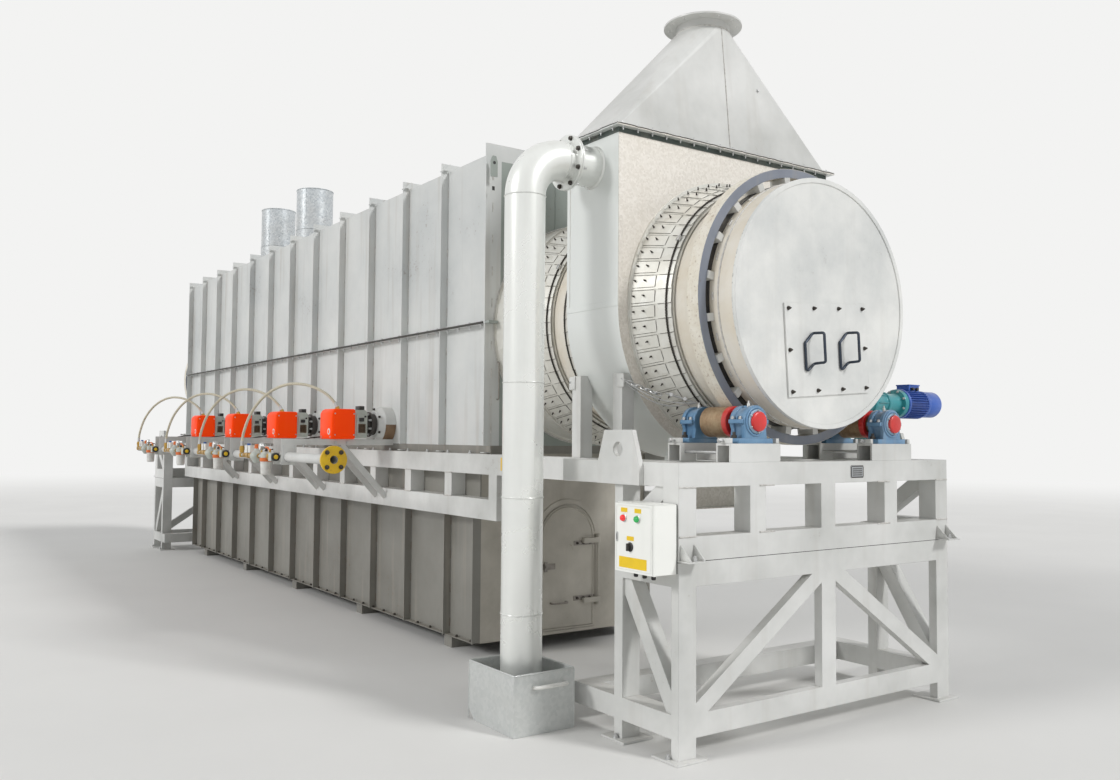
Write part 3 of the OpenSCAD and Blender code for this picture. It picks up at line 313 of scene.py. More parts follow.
@dataclass(frozen=True)
class RunningSteel(Finish):
    """Bare rolled steel of rings and rollers: brown oxide with paler bands that the running has polished."""

    bright: str = "#BBB0A2"
    metal: float = 0.35
    banding: float = 1.0
    rusty: float = 0.0

    def paint(self, tree: bpy.types.NodeTree, shader: bpy.types.Node) -> None:
        """Draws blotches of oxide and fine rubbed bands around the axis."""
        where = add_node(tree, "ShaderNodeTexCoord").outputs["Object"]
        blotch = add_node(tree, "ShaderNodeTexNoise", {"Vector": where, "Scale": per_metre(70), "Detail": 7.0,
                                                       "Roughness": 0.7})
        drawn = add_node(tree, "ShaderNodeMapping", {"Vector": where, "Scale": (90.0, 2.0, 2.0)})
        band = add_node(tree, "ShaderNodeTexNoise", {"Vector": drawn.outputs[0], "Scale": 1.0, "Detail": 3.0})
        banded = add_node(tree, "ShaderNodeMapRange", {0: band.outputs["Fac"], 3: 0.5 - self.banding / 2,
                                                       4: 0.5 + self.banding / 2})
        both = add_node(tree, "ShaderNodeMath", {0: blotch.outputs["Fac"], 1: banded.outputs[0]},
                        operation="ADD")
        share = add_node(tree, "ShaderNodeMapRange", {0: both.outputs[0], 1: 0.82, 2: 1.2})
        tone = add_node(tree, "ShaderNodeMix", {0: share.outputs[0], MIX_A: linear(self.colour),
                                                MIX_B: linear(self.bright)}, data_type="RGBA")
        grit = add_node(tree, "ShaderNodeTexNoise", {"Vector": where, "Scale": per_metre(16), "Detail": 3.0})
        pits = add_node(tree, "ShaderNodeMapRange", {0: grit.outputs["Fac"], 1: 0.58, 2: 0.7, 4: self.rusty})
        tone = add_node(tree, "ShaderNodeMix", {0: pits.outputs[0], MIX_A: tone.outputs[MIX_OUT],
                                                MIX_B: linear("#7E5334")}, data_type="RGBA")
        tree.links.new(tone.outputs[MIX_OUT], shader.inputs["Base Color"])
        shader.inputs["Metallic"].default_value = self.metal
        gloss = add_node(tree, "ShaderNodeMapRange", {0: share.outputs[0], 3: self.rough + 0.15,
                                                      4: self.rough - 0.1})
        tree.links.new(gloss.outputs[0], shader.inputs["Roughness"])
        relief(tree, shader, [(both.outputs[0], 0.6)], 2.0)


@dataclass(frozen=True)
class Plain(Finish):
    """A small part of metal, rubber or plastic, with the fine unevenness and grime of its surface."""

    metal: float = 0.0
    grime: str = "#5E564B"
    grimy: float = 0.25
    grain_mm: float = 12
    depth_mm: float = 0.15

    def paint(self, tree: bpy.types.NodeTree, shader: bpy.types.Node) -> None:
        """Draws the grime and the grain."""
        where = add_node(tree, "ShaderNodeTexCoord").outputs["Object"]
        cloud = add_node(tree, "ShaderNodeTexNoise", {"Vector": where, "Scale": per_metre(self.grain_mm * 4),
                                                      "Detail": 5.0, "Roughness": 0.6})
        share = add_node(tree, "ShaderNodeMapRange", {0: cloud.outputs["Fac"], 1: 0.45, 2: 0.75,
                                                      4: self.grimy})
        tone = add_node(tree, "ShaderNodeMix", {0: share.outputs[0], MIX_A: linear(self.colour),
                                                MIX_B: linear(self.grime)}, data_type="RGBA")
        tree.links.new(tone.outputs[MIX_OUT], shader.inputs["Base Color"])
        shader.inputs["Metallic"].default_value = self.metal
        gloss = add_node(tree, "ShaderNodeMapRange", {0: cloud.outputs["Fac"], 1: 0.3, 2: 0.7,
                                                      3: self.rough - 0.05, 4: self.rough + 0.1})
        tree.links.new(gloss.outputs[0], shader.inputs["Roughness"])
        grain = add_node(tree, "ShaderNodeTexNoise", {"Vector": where, "Scale": per_metre(self.grain_mm),
                                                      "Detail": 2.0})
        relief(tree, shader, [(grain.outputs["Fac"], self.depth_mm)], 0.0)


@dataclass(frozen=True)
class Lens(Finish):
    """Clear coloured plastic over a lamp: smooth, and lit a little from inside."""

    def paint(self, tree: bpy.types.NodeTree, shader: bpy.types.Node) -> None:
        """Sets colour, gloss and the glow."""
        shader.inputs["Base Color"].default_value = linear(self.colour)
        shader.inputs["Roughness"].default_value = self.rough
        shader.inputs["Coat Weight"].default_value = 1.0
        shader.inputs["Emission Color"].default_value = linear(self.colour)
        shader.inputs["Emission Strength"].default_value = 0.35


@dataclass(frozen=True)
class Braid(Finish):
    """Woven jacket of a gas hose: two sets of ivory strands wound across each other, drawn 9 mm apart."""

    strand_mm: float = 9
    girth_m: float = 0.075
    valley: str = "#7D7459"

    def paint(self, tree: bpy.types.NodeTree, shader: bpy.types.Node) -> None:
        """Draws the crossing strands from the hose's own UV map, whose V runs in metres along the hose."""
        along = add_node(tree, "ShaderNodeUVMap").outputs[0]
        parts = add_node(tree, "ShaderNodeSeparateXYZ", {0: along})
        round_m = add_node(tree, "ShaderNodeMath", {0: parts.outputs["X"], 1: self.girth_m},
                           operation="MULTIPLY")
        heights = []
        for way in ("ADD", "SUBTRACT"):
            slope = add_node(tree, "ShaderNodeMath", {0: parts.outputs["Y"], 1: round_m.outputs[0]},
                             operation=way)
            phase = add_node(tree, "ShaderNodeMath", {0: slope.outputs[0],
                                                      1: math.tau * per_metre(self.strand_mm)},
                             operation="MULTIPLY")
            heights.append(add_node(tree, "ShaderNodeMath", {0: phase.outputs[0]}, operation="SINE"))
        top = add_node(tree, "ShaderNodeMath", {0: heights[0].outputs[0], 1: heights[1].outputs[0]},
                       operation="MAXIMUM")
        share = add_node(tree, "ShaderNodeMapRange", {0: top.outputs[0], 1: -0.4, 2: 0.9})
        tone = add_node(tree, "ShaderNodeMix", {0: share.outputs[0], MIX_A: linear(self.valley),
                                                MIX_B: linear(self.colour)}, data_type="RGBA")
        tree.links.new(tone.outputs[MIX_OUT], shader.inputs["Base Color"])
        shader.inputs["Roughness"].default_value = self.rough
        shader.inputs["Sheen Weight"].default_value = 0.2
        relief(tree, shader, [(top.outputs[0], 0.8)], 0.0)


@dataclass(frozen=True)
class Water(Finish):
    """Still water with a film of dust, dark because the tank is deep under it."""

    def paint(self, tree: bpy.types.NodeTree, shader: bpy.types.Node) -> None:
        """Sets the dark body colour, the smooth top and a slow ripple."""
        where = add_node(tree, "ShaderNodeTexCoord").outputs["Object"]
        film = add_node(tree, "ShaderNodeTexNoise", {"Vector": where, "Scale": per_metre(90), "Detail": 6.0})
        share = add_node(tree, "ShaderNodeMapRange", {0: film.outputs["Fac"], 1: 0.55, 2: 0.8, 4: 0.5})
        tone = add_node(tree, "ShaderNodeMix", {0: share.outputs[0], MIX_A: linear(self.colour),
                                                MIX_B: linear("#8E8A78")}, data_type="RGBA")
        tree.links.new(tone.outputs[MIX_OUT], shader.inputs["Base Color"])
        shader.inputs["Roughness"].default_value = self.rough
        shader.inputs["IOR"].default_value = 1.333
        relief(tree, shader, [(film.outputs["Fac"], 1.0)], 0.0)


# Ivory machine enamel, air dried: satin, chalky where the rain ran down it
IVORY = Enamel("ivory_machine_enamel", "#E0E0DD", 0.42, streaks=0.2)
# The same enamel on the furnace casing, whose thin panels buckle more between their ribs
PANEL = Enamel("furnace_panel_enamel", "#D9DAD7", 0.38, shade="#C3C6C5", wave_mm=4.0, streaks=0.45,
               edge_mm=2.0)
# Light grey enamel on the casing's front wall and its door, under the same dust: the lit copy of the
# underframe's enamel
FRONT_WALL = Enamel("front_wall_enamel", "#BDB8AD", 0.5, shade="#A9A499", patch_mm=300, streaks=0.4,
                    specks=0.4, wave_mm=2.0)
# The casing under the furnace: greyer enamel, darker partly for grime and partly as painted shade, for the
# shade it lies in under the furnace and trusses
UNDERFRAME = Enamel("underframe_enamel", "#8B8982", 0.5, shade="#7A7871", streaks=0.5, specks=0.5,
                    wave_mm=3.0, edge_mm=2.0)
# Enamel on the drum ends: thicker coats on a machined plate, so it is smooth and evenly pale
DISC = Enamel("drum_end_enamel", "#EBEBE7", 0.36, shade="#CDCFCD", patch_mm=420, streaks=0.15, specks=0.15,
              wave_mm=0.5)
# Silver enamel with metal flakes on the vent line: it keeps a long soft highlight
PIPE = Enamel("vent_pipe_silver_enamel", "#F0F1ED", 0.27, shade="#E4E6E2", patch_mm=700, streaks=0.1,
              specks=0.08, wave_mm=0.6, coat=0.3, metal=0.42)
# Cream enamel on the drum's shell, which shows light rust where the heat has lifted it
SHELL = Enamel("drum_shell_enamel", "#E8E3D8", 0.45, shade="#DCD2BF", patch_mm=260, streaks=0.1, specks=0.6)
# Green grey enamel on the end walls of the furnace, kept dark as painted shade of the hood and drum before
# them
END_WALL = Enamel("end_wall_enamel", "#9DA59F", 0.42, shade="#8B938D", streaks=0.3, wave_mm=3.0, edge_mm=2.0)
# White powder coat on the control box
BOX_WHITE = Enamel("control_box_powder_coat", "#FBFBF6", 0.36, shade="#F1F2EC", streaks=0.05, specks=0.04,
                   dust=0.2, wave_mm=0.8)
# Galvanised sheet of the hood, weathered: dull crystals with brown dust in them. The bright crystals and the
# warmer, brighter tone show only on faces that look along X: painted light, the sparkle of the sunlit end
# plates, while the other faces take one flat side colour
HOOD_ZINC = Zinc("hood_galvanised_sheet", "#F1ECE4", 0.36, dark="#E0DAD0", stain="#D3C9B9", stains=0.25,
                 crystal_mm=13, metal=0.25, side="#E3E6E3")
# New spiral duct of the flue stacks: bluer and brighter crystals
STACK_ZINC = Zinc("stack_galvanised_sheet", "#D0D4D6", 0.34, dark="#B4BABE", stains=0.2, metal=0.6,
                  sparkle=0.08)
# Folded galvanised tank, dulled by splashes
TANK_ZINC = Zinc("tank_galvanised_sheet", "#D0D2D0", 0.42, dark="#C6C9C7", stain="#B9B8B1", stains=0.2,
                 metal=0.3)
# Spring steel leaves of the seals in pale heat resistant paint, browned where it is hot
LEAF_STEEL = Zinc("seal_leaf_steel", "#E4E3DC", 0.38, dark="#D8D6CD", stain="#C2B7A5", stains=0.35,
                  crystal_mm=60, metal=0.15)
# Grey shadowed edges of the leaves, where they lap
LEAF_EDGE = Plain("seal_leaf_edge_shade", "#77746D", 0.5, metal=0.3)
# Rolled steel of the riding rings
RING_STEEL = RunningSteel("riding_ring_steel", "#D8D0BF", 0.46, bright="#EBE7DC", metal=0.12, banding=0.2,
                          rusty=0.4)
# Turned steel of the support rollers, with a tan film of oxide
ROLLER_STEEL = RunningSteel("support_roller_steel", "#86674A", 0.4, bright="#B39C7E", metal=0.5, banding=0.35,
                            rusty=0.25)
# Machined side faces of the rings in blue grey: painted shade, darker than these faces are where lit
RING_SIDE_SHADE = Enamel("ring_side_enamel", "#868C98", 0.42, shade="#767C89", patch_mm=300)
# Castings of the bearing blocks: thick hammered enamel
BLOCK_BLUE = Enamel("bearing_block_enamel", "#6F97B8", 0.38, shade="#557FA4", patch_mm=140, peel_mm=14,
                    wave_mm=0.5, dust=0.5, coat=0.3)
CAP_BLUE = Enamel("bearing_cap_enamel", "#9CBAD0", 0.35, shade="#7FA3BF", patch_mm=90, wave_mm=0.3)
SIGNAL_RED = Enamel("signal_red_enamel", "#DF2A26", 0.35, shade="#BE2420", patch_mm=160, wave_mm=0.3,
                    dust=0.2, coat=0.3)
# Red powder coat on the burner covers; its glow is painted light that makes it look brighter than the lamps
# light it
COVER_RED = Enamel("burner_cover_powder_coat", "#FF4800", 0.42, shade="#FA3E00", patch_mm=220, streaks=0.02,
                   specks=0.02, dust=0.03, wave_mm=0.6, coat=0.03, glow=0.22, shine=0.15)
# Die cast aluminium housings in grey paint
DIE_CAST = Enamel("burner_housing_enamel", "#C4C9C1", 0.45, shade="#B1B6AE", patch_mm=180, wave_mm=0.5)
TEAL = Enamel("reducer_enamel", "#2C98A0", 0.36, shade="#23828B", patch_mm=150, peel_mm=12, wave_mm=0.6,
              dust=0.5, coat=0.35)
MOTOR_BLUE = Enamel("motor_enamel", "#3562BC", 0.4, shade="#2A52A4", patch_mm=150, wave_mm=0.4, dust=0.45)
YELLOW = Enamel("gas_yellow_enamel", "#F0C61C", 0.35, shade="#DDB116", patch_mm=200, streaks=0.1, wave_mm=0.3)
# Old green grey primer on the angle strips of the hood joint
GREEN_GREY = Enamel("green_grey_primer", "#4F5A55", 0.55, shade="#3F4845", patch_mm=200, dust=0.4, coat=0.0)
# Heat darkened castings of the burner flanges
DARK_FLANGE = Plain("burner_flange_casting", "#4A4644", 0.5, metal=0.3, grimy=0.5)
# Dark brown enamel on the ribbed blocks of the burners, and on the lower half of the port tubes, where it is
# painted shade under their lit tops
DARK_BROWN = Enamel("dark_brown_enamel", "#8E7358", 0.5, shade="#6F563F", patch_mm=90, coat=0.0)
# Zinc plated bolts and fittings
PLATED = Plain("zinc_plated_steel", "#C9CACA", 0.35, metal=0.8)
# Oiled black bolts
BLACK_BOLT = Plain("blackened_steel", "#4B4743", 0.45, metal=0.6)
BARE_STEEL = Plain("bare_bent_steel", "#8F8A84", 0.45, metal=0.7, grimy=0.4)
# Dark steel of the cover handles; the blue in its colour is a painted reflection, the bar's sheen
DARK_BAR = Plain("dark_bluish_handle_bar", "#39424F", 0.35, metal=0.5)
BRASS = Plain("turned_brass", "#C29A4B", 0.32, metal=0.9)
RUBBER = Plain("black_rubber", "#232324", 0.6)
BLACK_PAINT = Plain("black_stove_paint", "#2B2B2C", 0.42, grimy=0.35)
ORANGE = Plain("orange_plastic", "#E0702A", 0.4)
BLUE_PLASTIC = Plain("blue_plastic", "#2F5FA8", 0.4)
WHITE_PLASTIC = Plain("white_plastic", "#E4E3DE", 0.4)
LABEL = Plain("yellow_label_film", "#F2CB12", 0.35, grimy=0.08)
ALUMINIUM = Plain("anodised_aluminium_plate", "#A9ACAE", 0.38, metal=0.8)
WELD = Plain("weld_metal_under_enamel", "#CFCDC8", 0.45, grimy=0.45, grain_mm=6, depth_mm=0.6)
DARK_WELD = Plain("burnt_weld_metal", "#7C736A", 0.5, metal=0.4, grimy=0.5, grain_mm=6, depth_mm=0.6)
SILICONE = Plain("grey_flange_sealant", "#3D3B38", 0.6)
RED_LENS = Lens("red_lamp_lens", "#E5131B", 0.15)
GREEN_LENS = Lens("green_lamp_lens", "#12A04A", 0.15)
HOSE = Braid("braided_hose_jacket", "#E6DFC9", 0.6, valley="#A69C80")
WATER = Water("tank_water", "#1D211E", 0.06)


class Shape:
    """Collects the faces of one piece, a closed solid at a time."""

    def __init__(self) -> None:
        """Starts empty, with the first finish chosen."""
        self.points: list[Vector] = []
        self.faces: list[list[int]] = []
        self.marks: list[int] = []
        self.mark = 0

    def use(self, mark: int) -> "Shape":
        """Chooses the finish, by its number in the piece's list, for what is added next."""
        self.mark = mark
        return self

    def add(self, points: Iterable[Sequence[float]], faces: Iterable[Sequence[int]],
            at: Matrix | None = None) -> "Shape":
        """Adds one solid.

        Args:
            points: its corners.
            faces: its faces, as numbers of corners.
            at: where the solid is placed, or None where its corners are already in place.

        Returns:
            The shape itself, so that calls can follow one another.
        """
        base = len(self.points)
        for point in points:
            spot = Vector(point)
            self.points.append(at @ spot if at else spot)
        for face in faces:
            self.faces.append([base + i for i in face])
            self.marks.append(self.mark)
        return self

    def box(self, lo: Sequence[float], hi: Sequence[float], at: Matrix | None = None) -> "Shape":
        """Adds a block between two corners.

        Args:
            lo: its lowest corner.
            hi: its highest corner.
            at: where the block is placed, or None.

        Returns:
            The shape itself.
        """
        corners = [(x, y, z) for z in (lo[2], hi[2]) for y in (lo[1], hi[1]) for x in (lo[0], hi[0])]
        faces = [(0, 2, 3, 1), (4, 5, 7, 6), (0, 1, 5, 4), (2, 6, 7, 3), (0, 4, 6, 2), (1, 3, 7, 5)]
        return self.add(corners, faces, at)

    def prism(self, outline: Sequence[Flat], axis: Axis, start: float, end: float,
              at: Matrix | None = None) -> "Shape":
        """Adds an outline stretched along an axis.

        Args:
            outline: the outline's corners across the axis, in cyclic order of the other two axes.
            axis: the direction of the stretch.
            start: where the solid starts along the axis.
            end: where it ends.
            at: where the solid is placed, or None.

        Returns:
            The shape itself.
        """
        n = len(outline)
        points = [axis.place(s, a, b) for s in (start, end) for a, b in outline]
        faces: list[Sequence[int]] = [tuple(range(n))[::-1], tuple(range(n, 2 * n))]
        faces += [(i, (i + 1) % n, n + (i + 1) % n, n + i) for i in range(n)]
        return self.add(points, faces, at)

    def turned(self, profile: Sequence[Flat], axis: Axis, centre: Sequence[float], sides: int = 48,
               start: float = 0.0, sweep: float = math.tau, at: Matrix | None = None) -> "Shape":
        """Adds a closed profile turned about an axis.

        Args:
            profile: corners as (place along the axis, radius); a radius of 0 closes the solid there.
            axis: the direction of the axis.
            centre: a point on the axis, from which places along it count.
            sides: how many steps the turn has.
            start: angle of the first step.
            sweep: how far the profile turns; a whole turn by default.
            at: where the solid is placed, or None.

        Returns:
            The shape itself.
        """
        whole = abs(sweep - math.tau) < 1e-6
        rings = sides if whole else sides + 1
        points: list[Vector] = []
        rows: list[list[int]] = []
        middle = Vector(centre)
        for place, radius in profile:
            if radius < 1e-6:
                rows.append([len(points)] * rings)
                points.append(middle + axis.place(place, 0, 0))
                continue
            row = []
            for i in range(rings):
                angle = start + sweep * i / sides
                row.append(len(points))
                points.append(middle + axis.place(place, radius * math.cos(angle), radius * math.sin(angle)))
            rows.append(row)
        faces = []
        n = len(rows)
        for r in range(n):
            low, high = rows[r], rows[(r + 1) % n]
            if low[0] == low[-1] and high[0] == high[-1]:
                continue
            for i in range(sides):
                j = (i + 1) % rings
                face = [low[i], low[j], high[j], high[i]]
                faces.append(list(dict.fromkeys(face)))
        if not whole:
            faces.append([row[0] for row in rows][::-1])
            faces.append([row[-1] for row in rows])
        return self.add(points, faces, at)

    def rod(self, start: Sequence[float], end: Sequence[float], radius: float, sides: int = 12,
            end_radius: float | None = None) -> "Shape":
        """Adds a round rod or cone between two points.

        Args:
            start: one end.
            end: the other end.
            radius: its radius.
            sides: how many sides it has.
            end_radius: radius at the other end, if it differs.

        Returns:
            The shape itself.
        """
        a, b = Vector(start), Vector(end)
        turn = (b - a).to_track_quat("Z", "Y").to_matrix().to_4x4()
        last = radius if end_radius is None else end_radius
        outline = [(0.0, 0.0), (0.0, radius), ((b - a).length, last), ((b - a).length, 0.0)]
        return self.turned(outline, Axis.Z, (0, 0, 0), sides, at=Matrix.Translation(a) @ turn)

    def tube(self, route: Sequence[Sequence[float]], radius: float, sides: int = 10,
             closed: bool = False) -> "Shape":
        """Adds a round bar swept along a route.

        Args:
            route: the points of its middle line.
            radius: the bar's radius.
            sides: how many sides it has.
            closed: whether the route runs back to its start.

        Returns:
            The shape itself.
        """
        spots = [Vector(p) for p in route]
        n = len(spots)
        rings = []
        points: list[Vector] = []
        side = None
        for i, spot in enumerate(spots):
            before = spots[i - 1] if i or closed else spot
            after = spots[(i + 1) % n] if i < n - 1 or closed else spot
            way = (after - before).normalized()
            if side is None:
                side = way.orthogonal().normalized()
            side = (side - way * side.dot(way)).normalized()
            other = way.cross(side)
            rings.append([len(points) + k for k in range(sides)])
            for k in range(sides):
                angle = math.tau * k / sides
                points.append(spot + (side * math.cos(angle) + other * math.sin(angle)) * radius)
        faces: list[Sequence[int]] = []
        for i in range(n if closed else n - 1):
            low, high = rings[i], rings[(i + 1) % n]
            shift = 0
            if closed and i == n - 1:
                gaps = [(points[low[0]] - points[high[k]]).length for k in range(sides)]
                shift = gaps.index(min(gaps))
            for k in range(sides):
                j = (k + 1) % sides
                faces.append((low[k], low[j], high[(j + shift) % sides], high[(k + shift) % sides]))
        if not closed:
            faces.append(rings[0][::-1])
            faces.append(rings[-1])
        return self.add(points, faces)

    def mesh(self, name: str) -> bpy.types.Mesh:
        """Makes a mesh whose faces all point outwards.

        Args:
            name: the mesh's name.

        Returns:
            The mesh, with its finish numbers set.
        """
        mesh = bpy.data.meshes.new(name)
        mesh.from_pydata([tuple(p) for p in self.points], [], self.faces)
        mesh.polygons.foreach_set("material_index", self.marks)
        work = bmesh.new()
        work.from_mesh(mesh)
        bmesh.ops.recalc_face_normals(work, faces=work.faces[:])
        work.to_mesh(mesh)
        work.free()
        mesh.update()
        return mesh


def dress(obj: bpy.types.Object, finishes: Sequence[Finish]) -> None:
    """Gives an object's slots their finishes.

    Args:
        obj: a mesh object.
        finishes: one finish for each number used in its faces.
    """
    slots = obj.data.materials
    for i, finish in enumerate(finishes):
        if i < len(slots):
            slots[i] = finish.material()
        else:
            slots.append(finish.material())


def piece(name: str, shape: Shape | bpy.types.Mesh, finishes: Sequence[Finish],
          body: str = "root", bevel_mm: float = 0.0, sharp_deg: float = 35.0,
          replaces: Sequence[str] = ()) -> bpy.types.Object:
    """Makes one finished piece of the kiln and hangs it on its body.

    Args:
        name: the piece's name.
        shape: its solids, or a finished mesh.
        finishes: its finishes, in the order of the shape's numbers.
        body: the body that it moves with.
        bevel_mm: how much its edges are broken, 0 for none.
        sharp_deg: edges that turn further than this stay sharp.
        replaces: nodes of the frame that it stands for.

    Returns:
        The piece.
    """
    mesh = shape.mesh(name) if isinstance(shape, Shape) else shape
    obj = bpy.data.objects.new(name, mesh)
    bpy.context.scene.collection.objects.link(obj)
    dress(obj, finishes)
    if bevel_mm:
        edge = obj.modifiers.new("broken_edges", "BEVEL")
        edge.width = bevel_mm / 1000
        edge.segments = 2
        edge.limit_method = "ANGLE"
        edge.angle_limit = math.radians(35)
        edge.harden_normals = False
        mesh = evaluated_mesh(obj, name)
        obj.modifiers.clear()
        obj.data = mesh
    mesh.shade_smooth()
    mesh.set_sharp_from_angle(angle=math.radians(sharp_deg))
    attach(obj, body)
    if replaces:
        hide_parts(*replaces)
    log.info("%s: %d faces on %s", name, len(mesh.polygons), body)
    return obj


def evaluated_mesh(obj: bpy.types.Object, name: str) -> bpy.types.Mesh:
    """Returns a plain mesh of an object with its modifiers worked out.

    Args:
        obj: the object.
        name: the new mesh's name.

    Returns:
        The mesh.
    """
    depsgraph = bpy.context.evaluated_depsgraph_get()
    mesh = bpy.data.meshes.new_from_object(obj.evaluated_get(depsgraph), depsgraph=depsgraph)
    mesh.name = name
    return mesh


def circle(radius: float, count: int, start: float = 0.0) -> list[Flat]:
    """Returns evenly spaced points on a circle, the first at the start angle."""
    return [(radius * math.cos(start + math.tau * i / count), radius * math.sin(start + math.tau * i / count))
            for i in range(count)]


def rounded(lo: Flat, hi: Flat, radii: Sequence[float], steps: int = 5) -> list[Flat]:
    """Returns the outline of a rectangle with round corners.

    Args:
        lo: its lowest corner.
        hi: its highest corner.
        radii: radius at the corners, counted from the lowest one and round by the other axis' low side.
        steps: points along each arc.

    Returns:
        The corners of the outline, in order.
    """
    corners = [(lo[0], lo[1], math.pi), (hi[0], lo[1], 1.5 * math.pi), (hi[0], hi[1], 0.0),
               (lo[0], hi[1], math.pi / 2)]
    outline = []
    for (a, b, first), radius in zip(corners, radii):
        if radius <= 0:
            outline.append((a, b))
            continue
        ca = a + radius if a == lo[0] else a - radius
        cb = b + radius if b == lo[1] else b - radius
        for i in range(steps + 1):
            angle = first + math.pi / 2 * i / steps
            outline.append((ca + radius * math.cos(angle), cb + radius * math.sin(angle)))
    return outline


def bent(corners: Sequence[Sequence[float]], radius: float, steps: int = 5,
         closed: bool = False) -> list[Vector]:
    """Rounds the corners of a route, as bending a bar does.

    Args:
        corners: the route's corners.
        radius: radius of each bend.
        steps: points along each bend.
        closed: whether the route runs back to its start.

    Returns:
        The rounded route.
    """
    spots = [Vector(c) for c in corners]
    n = len(spots)
    route = []
    for i, spot in enumerate(spots):
        if not closed and i in (0, n - 1):
            route.append(spot)
            continue
        to_last = (spots[i - 1] - spot).normalized()
        to_next = (spots[(i + 1) % n] - spot).normalized()
        half = to_last.angle(to_next) / 2
        if half > math.pi / 2 - 0.01:
            route.append(spot)
            continue
        back = radius / math.tan(half)
        centre = spot + (to_last + to_next).normalized() * (radius / math.sin(half))
        first = spot + to_last * back - centre
        last = spot + to_next * back - centre
        for k in range(steps + 1):
            route.append(centre + first.normalized().slerp(last.normalized(), k / steps) * radius)
    return route


@dataclass(frozen=True)
class Size:
    """One named input of a node tree."""

    name: str
    value: Any
    kind: str = "NodeSocketFloat"


class Pattern:
    """A Geometry Nodes tree that makes what repeats on points or along edges."""

    def __init__(self, name: str, sizes: Sequence[Size]) -> None:
        """Starts the tree with its geometry sockets and its named sizes.

        Args:
            name: the tree's name.
            sizes: its inputs.
        """
        self.tree = bpy.data.node_groups.new(name, "GeometryNodeTree")
        face = self.tree.interface
        face.new_socket("Geometry", in_out="INPUT", socket_type="NodeSocketGeometry")
        for size in sizes:
            face.new_socket(size.name, in_out="INPUT", socket_type=size.kind).default_value = size.value
        face.new_socket("Finish", in_out="INPUT", socket_type="NodeSocketMaterial")
        face.new_socket("Geometry", in_out="OUTPUT", socket_type="NodeSocketGeometry")
        self.inputs = self.add("NodeGroupInput").outputs

    def add(self, kind: str, inputs: dict[Any, Any] | None = None, **settings: Any) -> bpy.types.Node:
        """Adds a node to the tree."""
        return add_node(self.tree, kind, inputs, **settings)

    def end(self, geometry: bpy.types.NodeSocket) -> "Pattern":
        """Closes the tree: instances are made real and take the finish.

        Args:
            geometry: what the tree has made.

        Returns:
            The pattern itself.
        """
        real = self.add("GeometryNodeRealizeInstances", {"Geometry": geometry})
        done = self.add("GeometryNodeSetMaterial", {"Geometry": real.outputs[0],
                                                    "Material": self.inputs["Finish"]})
        self.add("NodeGroupOutput", {"Geometry": done.outputs[0]})
        return self

    def grow(self, name: str, host: bpy.types.Mesh, finish: Finish, sizes: dict[str, Any], slot: Slot,
             body: str = "root", sharp_deg: float = 35.0, replaces: Sequence[str] = ()) -> bpy.types.Object:
        """Runs the tree on a host mesh and keeps the result as a plain mesh on its body.

        Args:
            name: the new piece's name.
            host: points or edges that the tree works on.
            finish: the finish of what it makes.
            sizes: values of the tree's named inputs.
            slot: the record's slot of the finish; not used.
            body: the body that the piece moves with.
            sharp_deg: edges that turn further than this stay sharp.
            replaces: nodes of the frame that it stands for.

        Returns:
            The piece.
        """
        holder = bpy.data.objects.new(name + "_host", host)
        bpy.context.scene.collection.objects.link(holder)
        modifier = holder.modifiers.new("pattern", "NODES")
        modifier.node_group = self.tree
        for item in self.tree.interface.items_tree:
            if item.item_type != "SOCKET" or item.in_out != "INPUT":
                continue
            if item.name in sizes:
                modifier[item.identifier] = sizes[item.name]
            elif item.name == "Finish":
                modifier[item.identifier] = finish.material()
        mesh = evaluated_mesh(holder, name)
        holder.modifiers.clear()
        bpy.data.objects.remove(holder)
        return piece(name, mesh, [finish], body, sharp_deg=sharp_deg, replaces=replaces)


def seats(spots: Iterable[tuple[Sequence[float], Sequence[float]]]) -> bpy.types.Mesh:
    """Makes a host mesh of loose points, each with the direction that it faces.

    Args:
        spots: pairs of a place and a direction.

    Returns:
        The mesh; its attribute "facing" holds the directions.
    """
    pairs = list(spots)
    mesh = bpy.data.meshes.new("seats")
    mesh.from_pydata([tuple(place) for place, _ in pairs], [], [])
    facing = mesh.attributes.new("facing", "FLOAT_VECTOR", "POINT")
    facing.data.foreach_set("vector", [c for _, way in pairs for c in Vector(way).normalized()])
    return mesh


def routes(lines: Iterable[Sequence[Sequence[float]]], closed: bool = False) -> bpy.types.Mesh:
    """Makes a host mesh of edges, one chain of them for each route.

    Args:
        lines: the routes, each a list of points.
        closed: whether each route runs back to its start.

    Returns:
        The mesh.
    """
    points: list[tuple[float, ...]] = []
    edges = []
    for line in lines:
        base = len(points)
        points += [tuple(p) for p in line]
        edges += [(base + i, base + i + 1) for i in range(len(line) - 1)]
        if closed:
            edges.append((base + len(line) - 1, base))
    mesh = bpy.data.meshes.new("routes")
    mesh.from_pydata(points, edges, [])
    return mesh


